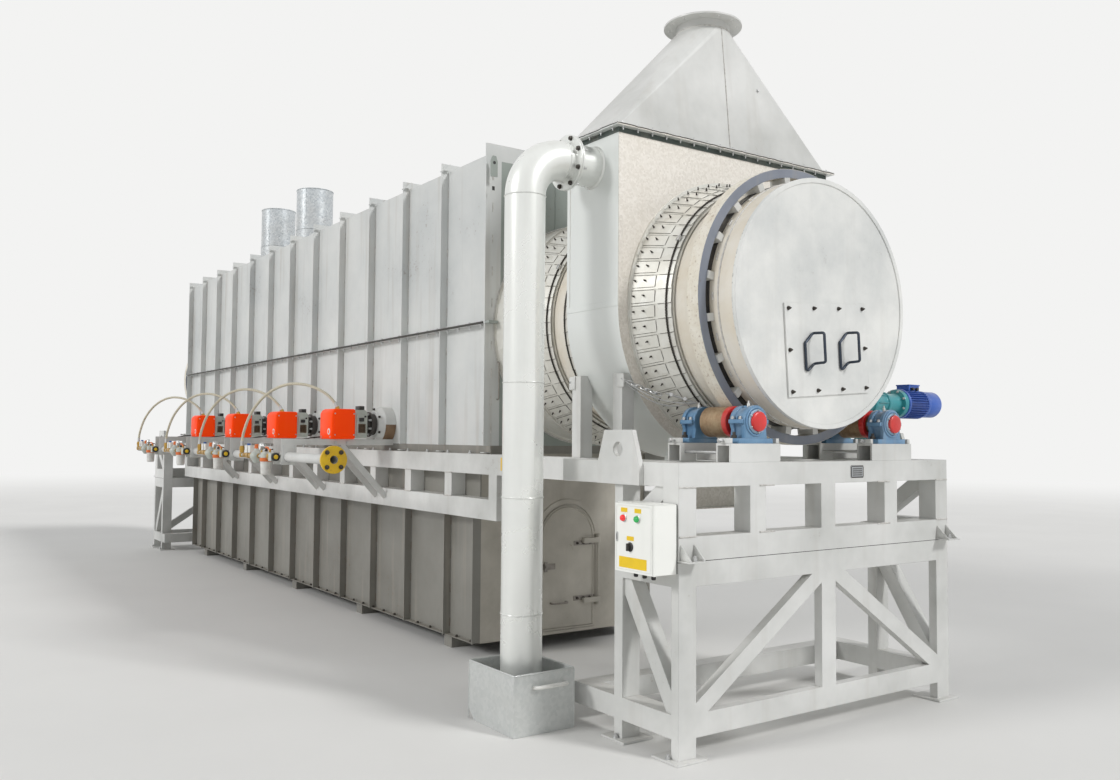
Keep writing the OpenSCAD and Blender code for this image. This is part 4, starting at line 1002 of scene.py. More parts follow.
def bolt_pattern() -> Pattern:
    """Makes the tree of hexagon bolts: washer, head and the thread's end, each spun by chance.

    Returns:
        The pattern, with inputs for the sizes across the flats and of the stud.
    """
    p = Pattern("hexagon_bolts", [Size("Across flats", 0.024), Size("Head height", 0.011),
                                  Size("Washer", 0.04), Size("Stud radius", 0.008), Size("Stud height", 0.0),
                                  Size("Seed", 3, "NodeSocketInt")])
    hex_radius = p.add("ShaderNodeMath", {0: p.inputs["Across flats"], 1: 1 / math.sqrt(3)},
                       operation="MULTIPLY")
    half_head = p.add("ShaderNodeMath", {0: p.inputs["Head height"], 1: 0.5}, operation="MULTIPLY")
    top = p.add("ShaderNodeMath", {0: half_head.outputs[0], 1: 0.0025}, operation="ADD")
    head = p.add("GeometryNodeMeshCone", {"Vertices": 6, "Radius Top": hex_radius.outputs[0],
                                          "Radius Bottom": hex_radius.outputs[0],
                                          "Depth": p.inputs["Head height"]})
    base = p.add("ShaderNodeCombineXYZ", {"Z": 0.002})
    head_at = p.add("GeometryNodeTransform", {"Geometry": head.outputs["Mesh"],
                                              "Translation": base.outputs[0]})
    washer_radius = p.add("ShaderNodeMath", {0: p.inputs["Washer"], 1: 0.5}, operation="MULTIPLY")
    washer = p.add("GeometryNodeMeshCone", {"Vertices": 18, "Radius Top": washer_radius.outputs[0],
                                            "Radius Bottom": washer_radius.outputs[0], "Depth": 0.0028})
    crown_low = p.add("ShaderNodeMath", {0: p.inputs["Across flats"], 1: 0.48}, operation="MULTIPLY")
    crown_high = p.add("ShaderNodeMath", {0: p.inputs["Across flats"], 1: 0.38}, operation="MULTIPLY")
    crown = p.add("GeometryNodeMeshCone", {"Vertices": 12, "Radius Top": crown_high.outputs[0],
                                           "Radius Bottom": crown_low.outputs[0], "Depth": 0.0016})
    crown_z = p.add("ShaderNodeMath", {0: p.inputs["Head height"], 1: 0.0019}, operation="ADD")
    crown_up = p.add("ShaderNodeCombineXYZ", {"Z": crown_z.outputs[0]})
    crown_at = p.add("GeometryNodeTransform", {"Geometry": crown.outputs["Mesh"],
                                               "Translation": crown_up.outputs[0]})
    stud_depth = p.add("ShaderNodeMath", {0: p.inputs["Stud height"], 1: 0.003}, operation="ADD")
    stud = p.add("GeometryNodeMeshCone", {"Vertices": 10, "Radius Top": p.inputs["Stud radius"],
                                          "Radius Bottom": p.inputs["Stud radius"],
                                          "Depth": stud_depth.outputs[0]})
    stud_z = p.add("ShaderNodeMath", {0: top.outputs[0], 1: half_head.outputs[0]}, operation="ADD")
    stud_up = p.add("ShaderNodeCombineXYZ", {"Z": stud_z.outputs[0]})
    stud_at = p.add("GeometryNodeTransform", {"Geometry": stud.outputs["Mesh"],
                                              "Translation": stud_up.outputs[0]})
    whole = p.add("GeometryNodeJoinGeometry")
    for part in (washer.outputs["Mesh"], head_at.outputs[0], crown_at.outputs[0], stud_at.outputs[0]):
        p.tree.links.new(part, whole.inputs[0])
    facing = p.add("GeometryNodeInputNamedAttribute", {"Name": "facing"}, data_type="FLOAT_VECTOR")
    turn = p.add("FunctionNodeAlignRotationToVector", {"Vector": facing.outputs["Attribute"]}, axis="Z")
    spin = p.add("FunctionNodeRandomValue", {2: 0.0, 3: 1.0472, "Seed": p.inputs["Seed"]}, data_type="FLOAT")
    spin_z = p.add("ShaderNodeCombineXYZ", {"Z": spin.outputs[1]})
    both = p.add("FunctionNodeRotateRotation", {"Rotation": turn.outputs[0], "Rotate By": spin_z.outputs[0]},
                 rotation_space="LOCAL")
    copies = p.add("GeometryNodeInstanceOnPoints", {"Points": p.inputs["Geometry"],
                                                    "Instance": whole.outputs[0],
                                                    "Rotation": both.outputs[0]})
    return p.end(copies.outputs[0])


def seam_pattern() -> Pattern:
    """Makes the tree of weld seams: a rippled bead along each edge of the host.

    Returns:
        The pattern, with inputs for the bead's radius and the length of its ripples.
    """
    p = Pattern("weld_seams", [Size("Bead radius", 0.006), Size("Ripple length", 0.02),
                               Size("Ripple depth", 0.25), Size("Sides", 6, "NodeSocketInt"),
                               Size("Seed", 7, "NodeSocketInt")])
    line = p.add("GeometryNodeMeshToCurve", {"Mesh": p.inputs["Geometry"]})
    fine = p.add("GeometryNodeResampleCurve", {"Curve": line.outputs[0], "Length": p.inputs["Ripple length"]},
                 mode="LENGTH")
    chance = p.add("FunctionNodeRandomValue", {2: -1.0, 3: 1.0, "Seed": p.inputs["Seed"]}, data_type="FLOAT")
    share = p.add("ShaderNodeMath", {0: chance.outputs[1], 1: p.inputs["Ripple depth"], 2: 1.0},
                  operation="MULTIPLY_ADD")
    ring = p.add("GeometryNodeCurvePrimitiveCircle", {"Resolution": p.inputs["Sides"],
                                                      "Radius": p.inputs["Bead radius"]})
    bead = p.add("GeometryNodeCurveToMesh", {"Curve": fine.outputs[0], "Profile Curve": ring.outputs[0],
                                             "Scale": share.outputs[0], "Fill Caps": True})
    return p.end(bead.outputs[0])


def bar_pattern() -> Pattern:
    """Makes the tree of small flat bars: a plate on each point, such as fins, leaves or stitches of weld.

    Returns:
        The pattern, with an input for the plate's size and its roughness by chance.
    """
    p = Pattern("small_plates", [Size("Plate size", (0.1, 0.02, 0.005), "NodeSocketVector"),
                                 Size("Size chance", 0.0), Size("Turn chance", 0.0),
                                 Size("Seed", 5, "NodeSocketInt")])
    plate = p.add("GeometryNodeMeshCube", {"Size": p.inputs["Plate size"]})
    facing = p.add("GeometryNodeInputNamedAttribute", {"Name": "facing"}, data_type="FLOAT_VECTOR")
    turn = p.add("FunctionNodeAlignRotationToVector", {"Vector": facing.outputs["Attribute"]}, axis="Z")
    lean = p.add("FunctionNodeRandomValue", {2: -1.0, 3: 1.0, "Seed": p.inputs["Seed"]}, data_type="FLOAT")
    lean_by = p.add("ShaderNodeMath", {0: lean.outputs[1], 1: p.inputs["Turn chance"]}, operation="MULTIPLY")
    lean_z = p.add("ShaderNodeCombineXYZ", {"Z": lean_by.outputs[0], "X": lean_by.outputs[0]})
    both = p.add("FunctionNodeRotateRotation", {"Rotation": turn.outputs[0], "Rotate By": lean_z.outputs[0]},
                 rotation_space="LOCAL")
    odds = p.add("ShaderNodeMath", {0: p.inputs["Seed"], 1: 11.0}, operation="ADD")
    vary = p.add("FunctionNodeRandomValue", {2: -1.0, 3: 1.0, "Seed": odds.outputs[0]}, data_type="FLOAT")
    vary_by = p.add("ShaderNodeMath", {0: vary.outputs[1], 1: p.inputs["Size chance"], 2: 1.0},
                    operation="MULTIPLY_ADD")
    scale = p.add("ShaderNodeCombineXYZ", {"X": vary_by.outputs[0], "Y": 1.0, "Z": 1.0})
    copies = p.add("GeometryNodeInstanceOnPoints", {"Points": p.inputs["Geometry"],
                                                    "Instance": plate.outputs["Mesh"],
                                                    "Rotation": both.outputs[0], "Scale": scale.outputs[0]})
    return p.end(copies.outputs[0])


def rope_pattern() -> Pattern:
    """Makes the tree of wire ropes: three strands twisted around each edge chain of the host.

    Returns:
        The pattern, with inputs for the strand's radius and the twist.
    """
    p = Pattern("wire_ropes", [Size("Strand radius", 0.003), Size("Lay radius", 0.0032),
                               Size("Lay length", 0.04), Size("Step", 0.006)])
    line = p.add("GeometryNodeMeshToCurve", {"Mesh": p.inputs["Geometry"]})
    fine = p.add("GeometryNodeResampleCurve", {"Curve": line.outputs[0], "Length": p.inputs["Step"]},
                 mode="LENGTH")
    spot = p.add("GeometryNodeSplineParameter")
    turns = p.add("ShaderNodeMath", {0: spot.outputs["Length"], 1: p.inputs["Lay length"]},
                  operation="DIVIDE")
    angle = p.add("ShaderNodeMath", {0: turns.outputs[0], 1: math.tau}, operation="MULTIPLY")
    tilted = p.add("GeometryNodeSetCurveTilt", {"Curve": fine.outputs[0], "Tilt": angle.outputs[0]})
    strands = p.add("GeometryNodeJoinGeometry")
    for k in range(3):
        away = math.tau * k / 3
        ring = p.add("GeometryNodeCurvePrimitiveCircle", {"Resolution": 6,
                                                          "Radius": p.inputs["Strand radius"]})
        east = p.add("ShaderNodeMath", {0: p.inputs["Lay radius"], 1: math.cos(away)}, operation="MULTIPLY")
        north = p.add("ShaderNodeMath", {0: p.inputs["Lay radius"], 1: math.sin(away)}, operation="MULTIPLY")
        off = p.add("ShaderNodeCombineXYZ", {"X": east.outputs[0], "Y": north.outputs[0]})
        moved = p.add("GeometryNodeTransform", {"Geometry": ring.outputs[0], "Translation": off.outputs[0]})
        strand = p.add("GeometryNodeCurveToMesh", {"Curve": tilted.outputs[0],
                                                   "Profile Curve": moved.outputs[0], "Fill Caps": True})
        p.tree.links.new(strand.outputs[0], strands.inputs[0])
    return p.end(strands.outputs[0])


def link_pattern() -> Pattern:
    """Makes the tree of chain links: an oval link on each point, every second one turned a quarter.

    Returns:
        The pattern, with inputs for a link's size and its wire.
    """
    p = Pattern("chain_links", [Size("Link width", 0.018), Size("Link length", 0.03),
                                Size("Wire radius", 0.0028)])
    half_w = p.add("ShaderNodeMath", {0: p.inputs["Link width"], 1: 0.5}, operation="MULTIPLY")
    oval = p.add("GeometryNodeCurvePrimitiveCircle", {"Resolution": 14, "Radius": half_w.outputs[0]})
    ratio = p.add("ShaderNodeMath", {0: p.inputs["Link length"], 1: p.inputs["Link width"]},
                  operation="DIVIDE")
    stretch = p.add("ShaderNodeCombineXYZ", {"X": 1.0, "Y": ratio.outputs[0], "Z": 1.0})
    long_oval = p.add("GeometryNodeTransform", {"Geometry": oval.outputs[0], "Scale": stretch.outputs[0],
                                                "Rotation": (math.pi / 2, 0.0, 0.0)})
    wire = p.add("GeometryNodeCurvePrimitiveCircle", {"Resolution": 6, "Radius": p.inputs["Wire radius"]})
    link = p.add("GeometryNodeCurveToMesh", {"Curve": long_oval.outputs[0], "Profile Curve": wire.outputs[0]})
    facing = p.add("GeometryNodeInputNamedAttribute", {"Name": "facing"}, data_type="FLOAT_VECTOR")
    turn = p.add("FunctionNodeAlignRotationToVector", {"Vector": facing.outputs["Attribute"]}, axis="Z")
    number = p.add("GeometryNodeInputIndex")
    odd = p.add("ShaderNodeMath", {0: number.outputs[0], 1: 2.0}, operation="MODULO")
    quarter = p.add("ShaderNodeMath", {0: odd.outputs[0], 1: math.pi / 2}, operation="MULTIPLY")
    spin = p.add("ShaderNodeCombineXYZ", {"Z": quarter.outputs[0]})
    both = p.add("FunctionNodeRotateRotation", {"Rotation": turn.outputs[0], "Rotate By": spin.outputs[0]},
                 rotation_space="LOCAL")
    copies = p.add("GeometryNodeInstanceOnPoints", {"Points": p.inputs["Geometry"],
                                                    "Instance": link.outputs[0], "Rotation": both.outputs[0]})
    return p.end(copies.outputs[0])


class Patterns:
    """The node trees that the sub-assemblies share, each made once."""

    def __init__(self) -> None:
        """Makes the trees."""
        self.bolts = bolt_pattern()
        self.seams = seam_pattern()
        self.plates = bar_pattern()
        self.ropes = rope_pattern()
        self.links = link_pattern()

    def bolt(self, name: str, spots: Iterable[tuple[Sequence[float], Sequence[float]]], finish: Finish,
             mm: Sequence[float], slot: Slot, body: str = "root") -> None:
        """Puts a hexagon bolt or nut on each spot.

        Args:
            name: the piece's name.
            spots: pairs of a place and the direction that the head faces.
            finish: the finish of the bolts.
            mm: across the flats, head height and washer, then the stud's radius and height where it has one.
            slot: the record's slot of the finish.
            body: the body that the bolts move with.
        """
        names = ("Across flats", "Head height", "Washer", "Stud radius", "Stud height")
        self.bolts.grow(name, seats(spots), finish, {n: size / 1000 for n, size in zip(names, mm)}, slot,
                        body)

    def weld(self, name: str, lines: Iterable[Sequence[Sequence[float]]], finish: Finish,
             mm: tuple[float, float], slot: Slot, body: str = "root", closed: bool = False,
             sides: int = 6) -> None:
        """Lays a weld bead along each line.

        Args:
            name: the piece's name.
            lines: the routes of the seams.
            finish: the finish of the beads.
            mm: radius of the bead and length of its ripples.
            slot: the record's slot of the finish.
            body: the body that the welds move with.
            closed: whether each line runs back to its start.
            sides: how many sides the bead has.
        """
        sizes = {"Bead radius": mm[0] / 1000, "Ripple length": mm[1] / 1000, "Sides": sides}
        self.seams.grow(name, routes(lines, closed), finish, sizes, slot, body)






@dataclass
class Studio:
    """The camera, the lamps, the pale floor and the background."""

    eye: Point = (10.178, -4.478, 1.632)
    yaw_deg: float = 55.0945
    pitch_deg: float = 2.7036
    roll_deg: float = 0.4184
    lens_mm: float = 31.456
    sensor_mm: float = 36.0
    floor_radius: float = 60.0
    suns: tuple[tuple[str, Point, float, float], ...] = (
        ("key_sun", (0.80, 0.34, 0.62), 1.55, 10.0), ("side_sun", (-0.16, -0.95, 0.5), 1.25, 14.0))
    sky_strength: float = 0.52
    background: str = "#F3F3F2"

    def camera(self) -> None:
        """Places the camera where the photograph was taken from."""
        yaw, pitch, roll = (math.radians(a) for a in (self.yaw_deg, self.pitch_deg, self.roll_deg))
        ahead = Vector((-math.sin(yaw) * math.cos(pitch), math.cos(yaw) * math.cos(pitch), math.sin(pitch)))
        level = Vector((math.cos(yaw), math.sin(yaw), 0.0))
        upward = level.cross(ahead)
        right = level * math.cos(roll) + upward * math.sin(roll)
        up = upward * math.cos(roll) - level * math.sin(roll)
        data = bpy.data.cameras.new("camera")
        data.lens = self.lens_mm
        data.sensor_width = self.sensor_mm
        data.clip_end = 200.0
        camera = bpy.data.objects.new("camera", data)
        camera.matrix_world = Matrix.Translation(self.eye) @ Matrix((right, up, -ahead)).transposed().to_4x4()
        bpy.context.scene.collection.objects.link(camera)
        bpy.context.scene.camera = camera

    def lamps(self) -> None:
        """Adds a soft sun on the drum's end, another on the burners' side, and the sky's even light."""
        for name, way, strength, width_deg in self.suns:
            data = bpy.data.lights.new(name, "SUN")
            data.energy = strength
            data.angle = math.radians(width_deg)
            sun = bpy.data.objects.new(name, data)
            sun.rotation_mode = "QUATERNION"
            sun.rotation_quaternion = Vector(way).to_track_quat("Z", "Y")
            bpy.context.scene.collection.objects.link(sun)
        world = bpy.data.worlds.new("studio")
        bpy.context.scene.world = world
        world.use_nodes = True
        tree = world.node_tree
        tree.nodes.clear()
        ray = add_node(tree, "ShaderNodeLightPath")
        seen = add_node(tree, "ShaderNodeMath", {0: ray.outputs["Is Camera Ray"],
                                                 1: ray.outputs["Is Glossy Ray"]}, operation="MAXIMUM")
        seen = add_node(tree, "ShaderNodeMath", {0: seen.outputs[0], 1: ray.outputs["Is Transmission Ray"]},
                        operation="MAXIMUM")
        sky = add_node(tree, "ShaderNodeBackground", {"Color": linear("#EDEFF2"),
                                                      "Strength": self.sky_strength})
        back = add_node(tree, "ShaderNodeBackground", {"Color": linear(self.background), "Strength": 1.0})
        both = add_node(tree, "ShaderNodeMixShader", {0: seen.outputs[0], 1: sky.outputs[0],
                                                      2: back.outputs[0]})
        add_node(tree, "ShaderNodeOutputWorld", {"Surface": both.outputs[0]})

    def floor(self) -> None:
        """Lays a large round floor whose colour fades to the background far away."""
        mesh = bpy.data.meshes.new("floor")
        rim = [(x, y, -0.0005) for x, y in circle(self.floor_radius, 96)]
        mesh.from_pydata(rim, [], [tuple(range(len(rim)))])
        floor = bpy.data.objects.new("floor", mesh)
        bpy.context.scene.collection.objects.link(floor)
        material = bpy.data.materials.new("pale_concrete_floor")
        material.use_nodes = True
        tree = material.node_tree
        tree.nodes.clear()
        where = add_node(tree, "ShaderNodeTexCoord").outputs["Object"]
        reach = add_node(tree, "ShaderNodeVectorMath", {0: where}, operation="LENGTH")
        fade = add_node(tree, "ShaderNodeMapRange", {0: reach.outputs["Value"], 1: 13.0, 2: 34.0},
                        interpolation_type="SMOOTHSTEP")
        mottle = add_node(tree, "ShaderNodeTexNoise", {"Vector": where, "Scale": per_metre(1400),
                                                       "Detail": 6.0})
        tone = add_node(tree, "ShaderNodeMix", {0: mottle.outputs["Fac"], MIX_A: linear("#D9D8D5"),
                                                MIX_B: linear("#E3E2DF")}, data_type="RGBA")
        shader = add_node(tree, "ShaderNodeBsdfPrincipled",
                          {"Base Color": tone.outputs[MIX_OUT], "Roughness": 0.75})
        glow = add_node(tree, "ShaderNodeEmission", {"Color": linear(self.background), "Strength": 1.0})
        both = add_node(tree, "ShaderNodeMixShader", {0: fade.outputs[0], 1: shader.outputs[0],
                                                      2: glow.outputs[0]})
        ray = add_node(tree, "ShaderNodeLightPath")
        lit = add_node(tree, "ShaderNodeMixShader", {0: ray.outputs["Is Diffuse Ray"], 1: both.outputs[0],
                                                     2: shader.outputs[0]})
        add_node(tree, "ShaderNodeOutputMaterial", {"Surface": lit.outputs[0]})
        mesh.materials.append(material)

    def build(self) -> None:
        """Sets the whole studio up."""
        self.camera()
        self.lamps()
        self.floor()


@dataclass
class Hoses:
    """Four braided gas hoses, from the gas trains up and over to the burners."""

    burner_x: tuple[float, ...] = BURNER_X
    radius: float = 0.012
    sides: int = 20
    route_mm: tuple[Point, ...] = (
        (-840, -1850, 1510), (-840, -1845, 1610), (-815, -1830, 1700), (-785, -1810, 1780),
        (-745, -1785, 1850), (-700, -1755, 1910), (-645, -1725, 1960), (-590, -1690, 2000),
        (-530, -1655, 2030), (-465, -1620, 2050), (-400, -1580, 2062), (-335, -1545, 2062),
        (-270, -1510, 2055), (-210, -1475, 2040), (-155, -1440, 2018), (-105, -1405, 1990),
        (-65, -1375, 1958), (-35, -1350, 1922), (-12, -1328, 1885), (0, -1315, 1845))
    names: tuple[str, ...] = ("first", "second", "third", "fourth")

    def route(self, x: float) -> list[Point]:
        """Returns the points of the hose of the burner at x, in metres."""
        return [(x + a / 1000, b / 1000, c / 1000) for a, b, c in self.route_mm]

    def build(self) -> None:
        """Makes the four hoses."""
        for name, x in zip(self.names, self.burner_x):
            path = self.route(x)
            fine = self.smooth(path)
            shape = Shape()
            shape.tube(fine, self.radius, self.sides)
            hose = self.with_lengths(f"{name}_burner_hose", shape, fine)

    def smooth(self, path: Sequence[Point], steps: int = 6) -> list[Vector]:
        """Returns a curve through the route's points, with a few steps between each two.

        Args:
            path: the route.
            steps: steps from one point to the next.

        Returns:
            The finer route.
        """
        spots = [Vector(p) for p in path]
        fine = []
        for i in range(len(spots) - 1):
            a, b = spots[i], spots[i + 1]
            before = spots[i - 1] if i else a * 2 - b
            after = spots[i + 2] if i + 2 < len(spots) else b * 2 - a
            for k in range(steps):
                t = k / steps
                fine.append(0.5 * (2 * a + (b - before) * t + (2 * before - 5 * a + 4 * b - after) * t * t
                                   + (3 * a - before - 3 * b + after) * t * t * t))
        return fine + [spots[-1]]

    def with_lengths(self, name: str, shape: Shape, fine: Sequence[Vector]) -> bpy.types.Object:
        """Makes a hose whose UV map runs round it in U and in metres along it in V.

        Args:
            name: the hose's name.
            shape: its swept tube.
            fine: the route of the tube.

        Returns:
            The hose, which stands for the frame's node.
        """
        mesh = shape.mesh(name)
        reach = [0.0]
        for a, b in zip(fine, fine[1:]):
            reach.append(reach[-1] + (b - a).length)
        layer = mesh.uv_layers.new(name="braid")
        for polygon in mesh.polygons:
            spots = [mesh.loops[i].vertex_index for i in polygon.loop_indices]
            columns = [v % self.sides for v in spots]
            wraps = max(columns) - min(columns) > self.sides / 2
            for loop, vertex, column in zip(polygon.loop_indices, spots, columns):
                u = (column + self.sides if wraps and column < self.sides / 2 else column) / self.sides
                layer.data[loop].uv = (u, reach[vertex // self.sides])
        return piece(name, mesh, [HOSE], replaces=["burner_hoses"])


@dataclass
class DrumEnd:
    """The drum's front end: rim, welds, and the bolted access cover with its two handles."""

    plate_x: float = 6.430
    cover_x: float = 6.4402
    turn_deg: float = 4.0
    bolt_rows: tuple[tuple[float, tuple[float, ...]], ...] = ((-0.03, (-0.32, -0.107, 0.107, 0.32)),
                                                              (-0.265, (-0.325, 0.325)),
                                                              (-0.50, (-0.32, -0.107, 0.107, 0.32)))
    handle_y: tuple[float, ...] = (-0.204, 0.095)
    handle_top: float = -0.228
    handle_bottom: float = -0.393
    handle_reach: float = 0.085
    bar_r: float = 0.008
    weld_rings: tuple[Flat, ...] = ((6.412, 0.722), (6.30, 0.7212), (4.95, 0.7205), (-4.81, 0.722))

    def on_cover(self, out: float, y: float, z: float) -> Vector:
        """Returns the place of a point on the turned cover, out from its face."""
        turned = Matrix.Rotation(math.radians(self.turn_deg), 3, "X") @ Vector((0, y, z))
        return Vector((self.cover_x + out, turned.y, AXIS_Z + turned.z))

    def rim(self) -> None:
        """Makes the flat rim that stands a little proud around the end plate."""
        shape = Shape()
        face = self.plate_x
        shape.turned([(-0.02, 0.727), (0.0045, 0.727), (0.006, 0.7255), (0.006, 0.7), (0.0045, 0.6985),
                      (-0.001, 0.6985), (-0.001, 0.722), (-0.02, 0.722)], Axis.X, (face, 0, AXIS_Z), 160)
        piece("front_plate_rim", shape, [DISC], "drum")

    def handles(self) -> None:
        """Bends the two bar handles: one side lies on the cover, and the other stands out as the grip."""
        shape = Shape()
        for y in self.handle_y:
            top, bottom, out, low = self.handle_top, self.handle_bottom, self.handle_reach, self.bar_r
            corners = [self.on_cover(low, y, top), self.on_cover(low, y + 0.069, top + 0.056),
                       self.on_cover(out, y + 0.074, top + 0.052),
                       self.on_cover(out, y + 0.074, bottom + 0.05),
                       self.on_cover(low, y + 0.069, bottom + 0.047), self.on_cover(low, y, bottom)]
            shape.tube(bent(corners, 0.012, 4, closed=True), self.bar_r, 12, closed=True)
        piece("access_cover_handles", shape, [DARK_BAR], "drum")

    def build(self, patterns: Patterns) -> None:
        """Makes the rim, the handles, the bolts and the welds."""
        self.rim()
        self.handles()
        spots = [(self.on_cover(0, y, z), (1, 0, 0)) for z, row in self.bolt_rows for y in row]
        patterns.bolt("access_cover_bolts", spots, BLACK_BOLT, (17, 9, 24, 5, 6), Slot.PAINT, "drum")
        rings = [[(x, y, AXIS_Z + z) for y, z in circle(r, 220)] for x, r in self.weld_rings]
        patterns.weld("drum_shell_welds", rings, WELD, (5.5, 12), Slot.PAINT, "drum", closed=True)


@dataclass
class RidingRings:
    """The two riding rings: side faces in blue grey painted shade, and the gap that the spacer blocks keep
    open, with a dark band of painted shade in it.
    """

    rings: tuple[float, ...] = (6.2, -4.6)
    half_w: float = 0.045
    blocks: int = 20

    def build(self, patterns: Patterns) -> None:
        """Makes the side faces, a dark band of painted shade at the bottom of the gap, and the block welds.
        """
        sides, gap_shade_band = Shape(), Shape()
        welds = []
        for x in self.rings:
            for way in (-1, 1):
                face = way * self.half_w
                low, high = face - way * 0.001, face + way * 0.0035
                sides.turned([(low, 0.7655), (high, 0.7655), (high, 0.8165), (low, 0.8195)], Axis.X,
                             (x, 0, AXIS_Z), 160)
            # Painted shade: a black band on the shell in the gap, for the shadow under the ring
            gap_shade_band.turned([(-0.03, 0.719), (0.03, 0.719), (0.03, 0.7245), (-0.03, 0.7245)], Axis.X,
                           (x, 0, AXIS_Z), 160)
            for k in range(self.blocks):
                angle = math.tau * k / self.blocks
                for end in (-0.0595, 0.0595):
                    line = []
                    for step in (-1, 0, 1):
                        a = angle + step * 0.03
                        line.append((x + end, 0.7225 * math.cos(a), AXIS_Z + 0.7225 * math.sin(a)))
                    welds.append(line)
        piece("riding_ring_sides", sides, [RING_SIDE_SHADE], "drum")
        piece("ring_gap_shade_band", gap_shade_band, [BLACK_PAINT], "drum")
        patterns.weld("spacer_block_welds", welds, WELD, (6, 10), Slot.PAINT, "drum")


@dataclass
class Seals:
    """Leaf seals of the hood and the furnace: overlapping plates, bolts, ropes, clamps and pull chains."""

    feet: tuple[tuple[str, float, int], ...] = (("hood_front", 5.678, 1), ("hood_rear", 5.142, -1),
                                                ("furnace_front", 4.45, 1), ("furnace_rear", -4.118, -1))
    leaves: int = 56
    root_r: float = 0.823
    tip_r: float = 0.744
    reach: float = 0.27
    leaf_t: float = 0.0022
    lap_end: float = 0.60
    lap_width: float = 0.70
    rope_share: float = 0.89
    collar_r: float = 0.852

    def spot(self, x0: float, way: int, share: float, angle: float, lift: float = 0.0) -> Vector:
        """Returns a place on the cone of leaves.

        Args:
            x0: place of the cone's foot.
            way: direction in which the cone reaches, 1 or -1.
            share: how far along the leaves, from 0 at the foot to 1 at their tips.
            angle: angle round the drum.
            lift: height above the leaves.

        Returns:
            The place.
        """
        r = self.root_r + (self.tip_r - self.root_r) * share + lift
        return Vector((x0 + way * self.reach * share, r * math.cos(angle), AXIS_Z + r * math.sin(angle)))

    def leaf(self, shape: Shape, x0: float, way: int, angle: float, start: float, end: float, half: float,
             lift: float, tilt: float) -> None:
        """Adds one leaf: a thin plate bent a little to the cone.

        Args:
            shape: the shape that gets it.
            x0: place of the cone's foot.
            way: direction in which it reaches.
            angle: its middle.
            start: its share along the cone where it starts.
            end: its share where it ends.
            half: half its angle.
            lift: height of its lower side.
            tilt: how much one long edge stands higher than the other.
        """
        rows = []
        for share in (start, (start + end) / 2, end):
            for side in (-1, 0, 1):
                rise = lift + tilt * (side + 1) / 2
                a = angle + side * half
                rows.append(self.spot(x0, way, share, a, rise))
        base = len(rows)
        thick = [self.spot(x0, way, share, angle + side * half, lift + tilt * (side + 1) / 2 + self.leaf_t)
                 for share in (start, (start + end) / 2, end) for side in (-1, 0, 1)]
        faces = []
        for r in range(2):
            for c in range(2):
                a, b = r * 3 + c, r * 3 + c + 1
                d, e = a + 3, b + 3
                faces += [(a, b, e, d), (base + a, base + d, base + e, base + b)]
        rim = [0, 1, 2, 5, 8, 7, 6, 3]
        faces += [(rim[i], base + rim[i], base + rim[(i + 1) % 8], rim[(i + 1) % 8]) for i in range(8)]
        shape.add(rows + thick, faces)

    def build(self, patterns: Patterns) -> None:
        """Makes leaves with their lapping plates, dark edge lines of painted shade along them, bolts, ropes
        and their clamps for the four seals.
        """
        chance = random.Random(11)
        bolts, ropes, lips, tips = [], [], [], []
        end = self.lap_end
        for name, x0, way in self.feet:
            shape = Shape()
            for k in range(self.leaves):
                angle = math.tau * (k + 0.5) / self.leaves
                half = math.pi / self.leaves * 1.12
                jitter = chance.uniform(-0.012, 0.012)
                self.leaf(shape.use(0), x0, way, angle, 0.005, 1.0 + jitter, half, 0.004, 0.003)
                self.leaf(shape.use(0), x0, way, angle, 0.02, end + jitter, half * self.lap_width, 0.0085,
                          0.001)
                lips.append([self.spot(x0, way, share, angle + side * half * self.lap_width, 0.0095)
                             for share, side in ((0.02, 1.03), (0.3, 1.03), (end + 0.004 + jitter, 1.03),
                                                 (end + 0.004 + jitter, 0.0), (end + 0.004 + jitter, -1.03),
                                                 (0.3, -1.03), (0.02, -1.03))])
                tips.append([self.spot(x0, way, share, angle + half, 0.0095)
                             for share in (0.68, 0.84, 1.003 + jitter)])
                for share in (0.09, 0.34):
                    bolts.append((self.spot(x0, way, share, angle - half * 0.1, 0.0125),
                                  (way * 0.28, math.cos(angle), math.sin(angle))))
            piece(f"{name}_seal_leaves", shape, [LEAF_STEEL], sharp_deg=20)
            collar = Shape()
            collar.turned([(way * -0.0075, 0.821), (way * 0.002, 0.821), (way * 0.0045, 0.829),
                           (way * 0.0045, 0.834), (way * 0.0, 0.838), (way * 0.0, self.collar_r),
                           (way * -0.0075, self.collar_r)], Axis.X, (x0, 0, AXIS_Z), 144)
            piece(f"{name}_seal_collar", collar, [LEAF_STEEL])
            rope = []
            for i in range(180):
                angle = math.tau * i / 180
                sag = 0.012 * math.sin(angle * 7) * 0.3
                rope.append(self.spot(x0, way, self.rope_share + sag, angle, 0.0125))
            ropes.append(rope)
            clamp = Shape()
            for angle in (2.62, 4.45, 5.1):
                spot = self.spot(x0, way, self.rope_share, angle, 0.014)
                out = Vector((0, math.cos(angle), math.sin(angle)))
                turn = out.to_track_quat("Z", "Y").to_matrix().to_4x4()
                clamp.box((-0.013, -0.017, -0.006), (0.013, 0.017, 0.012), Matrix.Translation(spot) @ turn)
            piece(f"{name}_rope_clamps", clamp, [PLATED], bevel_mm=2)
        patterns.bolt("seal_leaf_bolts", bolts, BLACK_BOLT, (10, 5, 12, 4, 7), Slot.ZINC)
        patterns.ropes.grow("seal_ropes", routes(ropes, closed=True), BLACK_BOLT,
                            {"Strand radius": 0.0032, "Lay radius": 0.0034, "Lay length": 0.05,
                             "Step": 0.008}, Slot.ZINC)
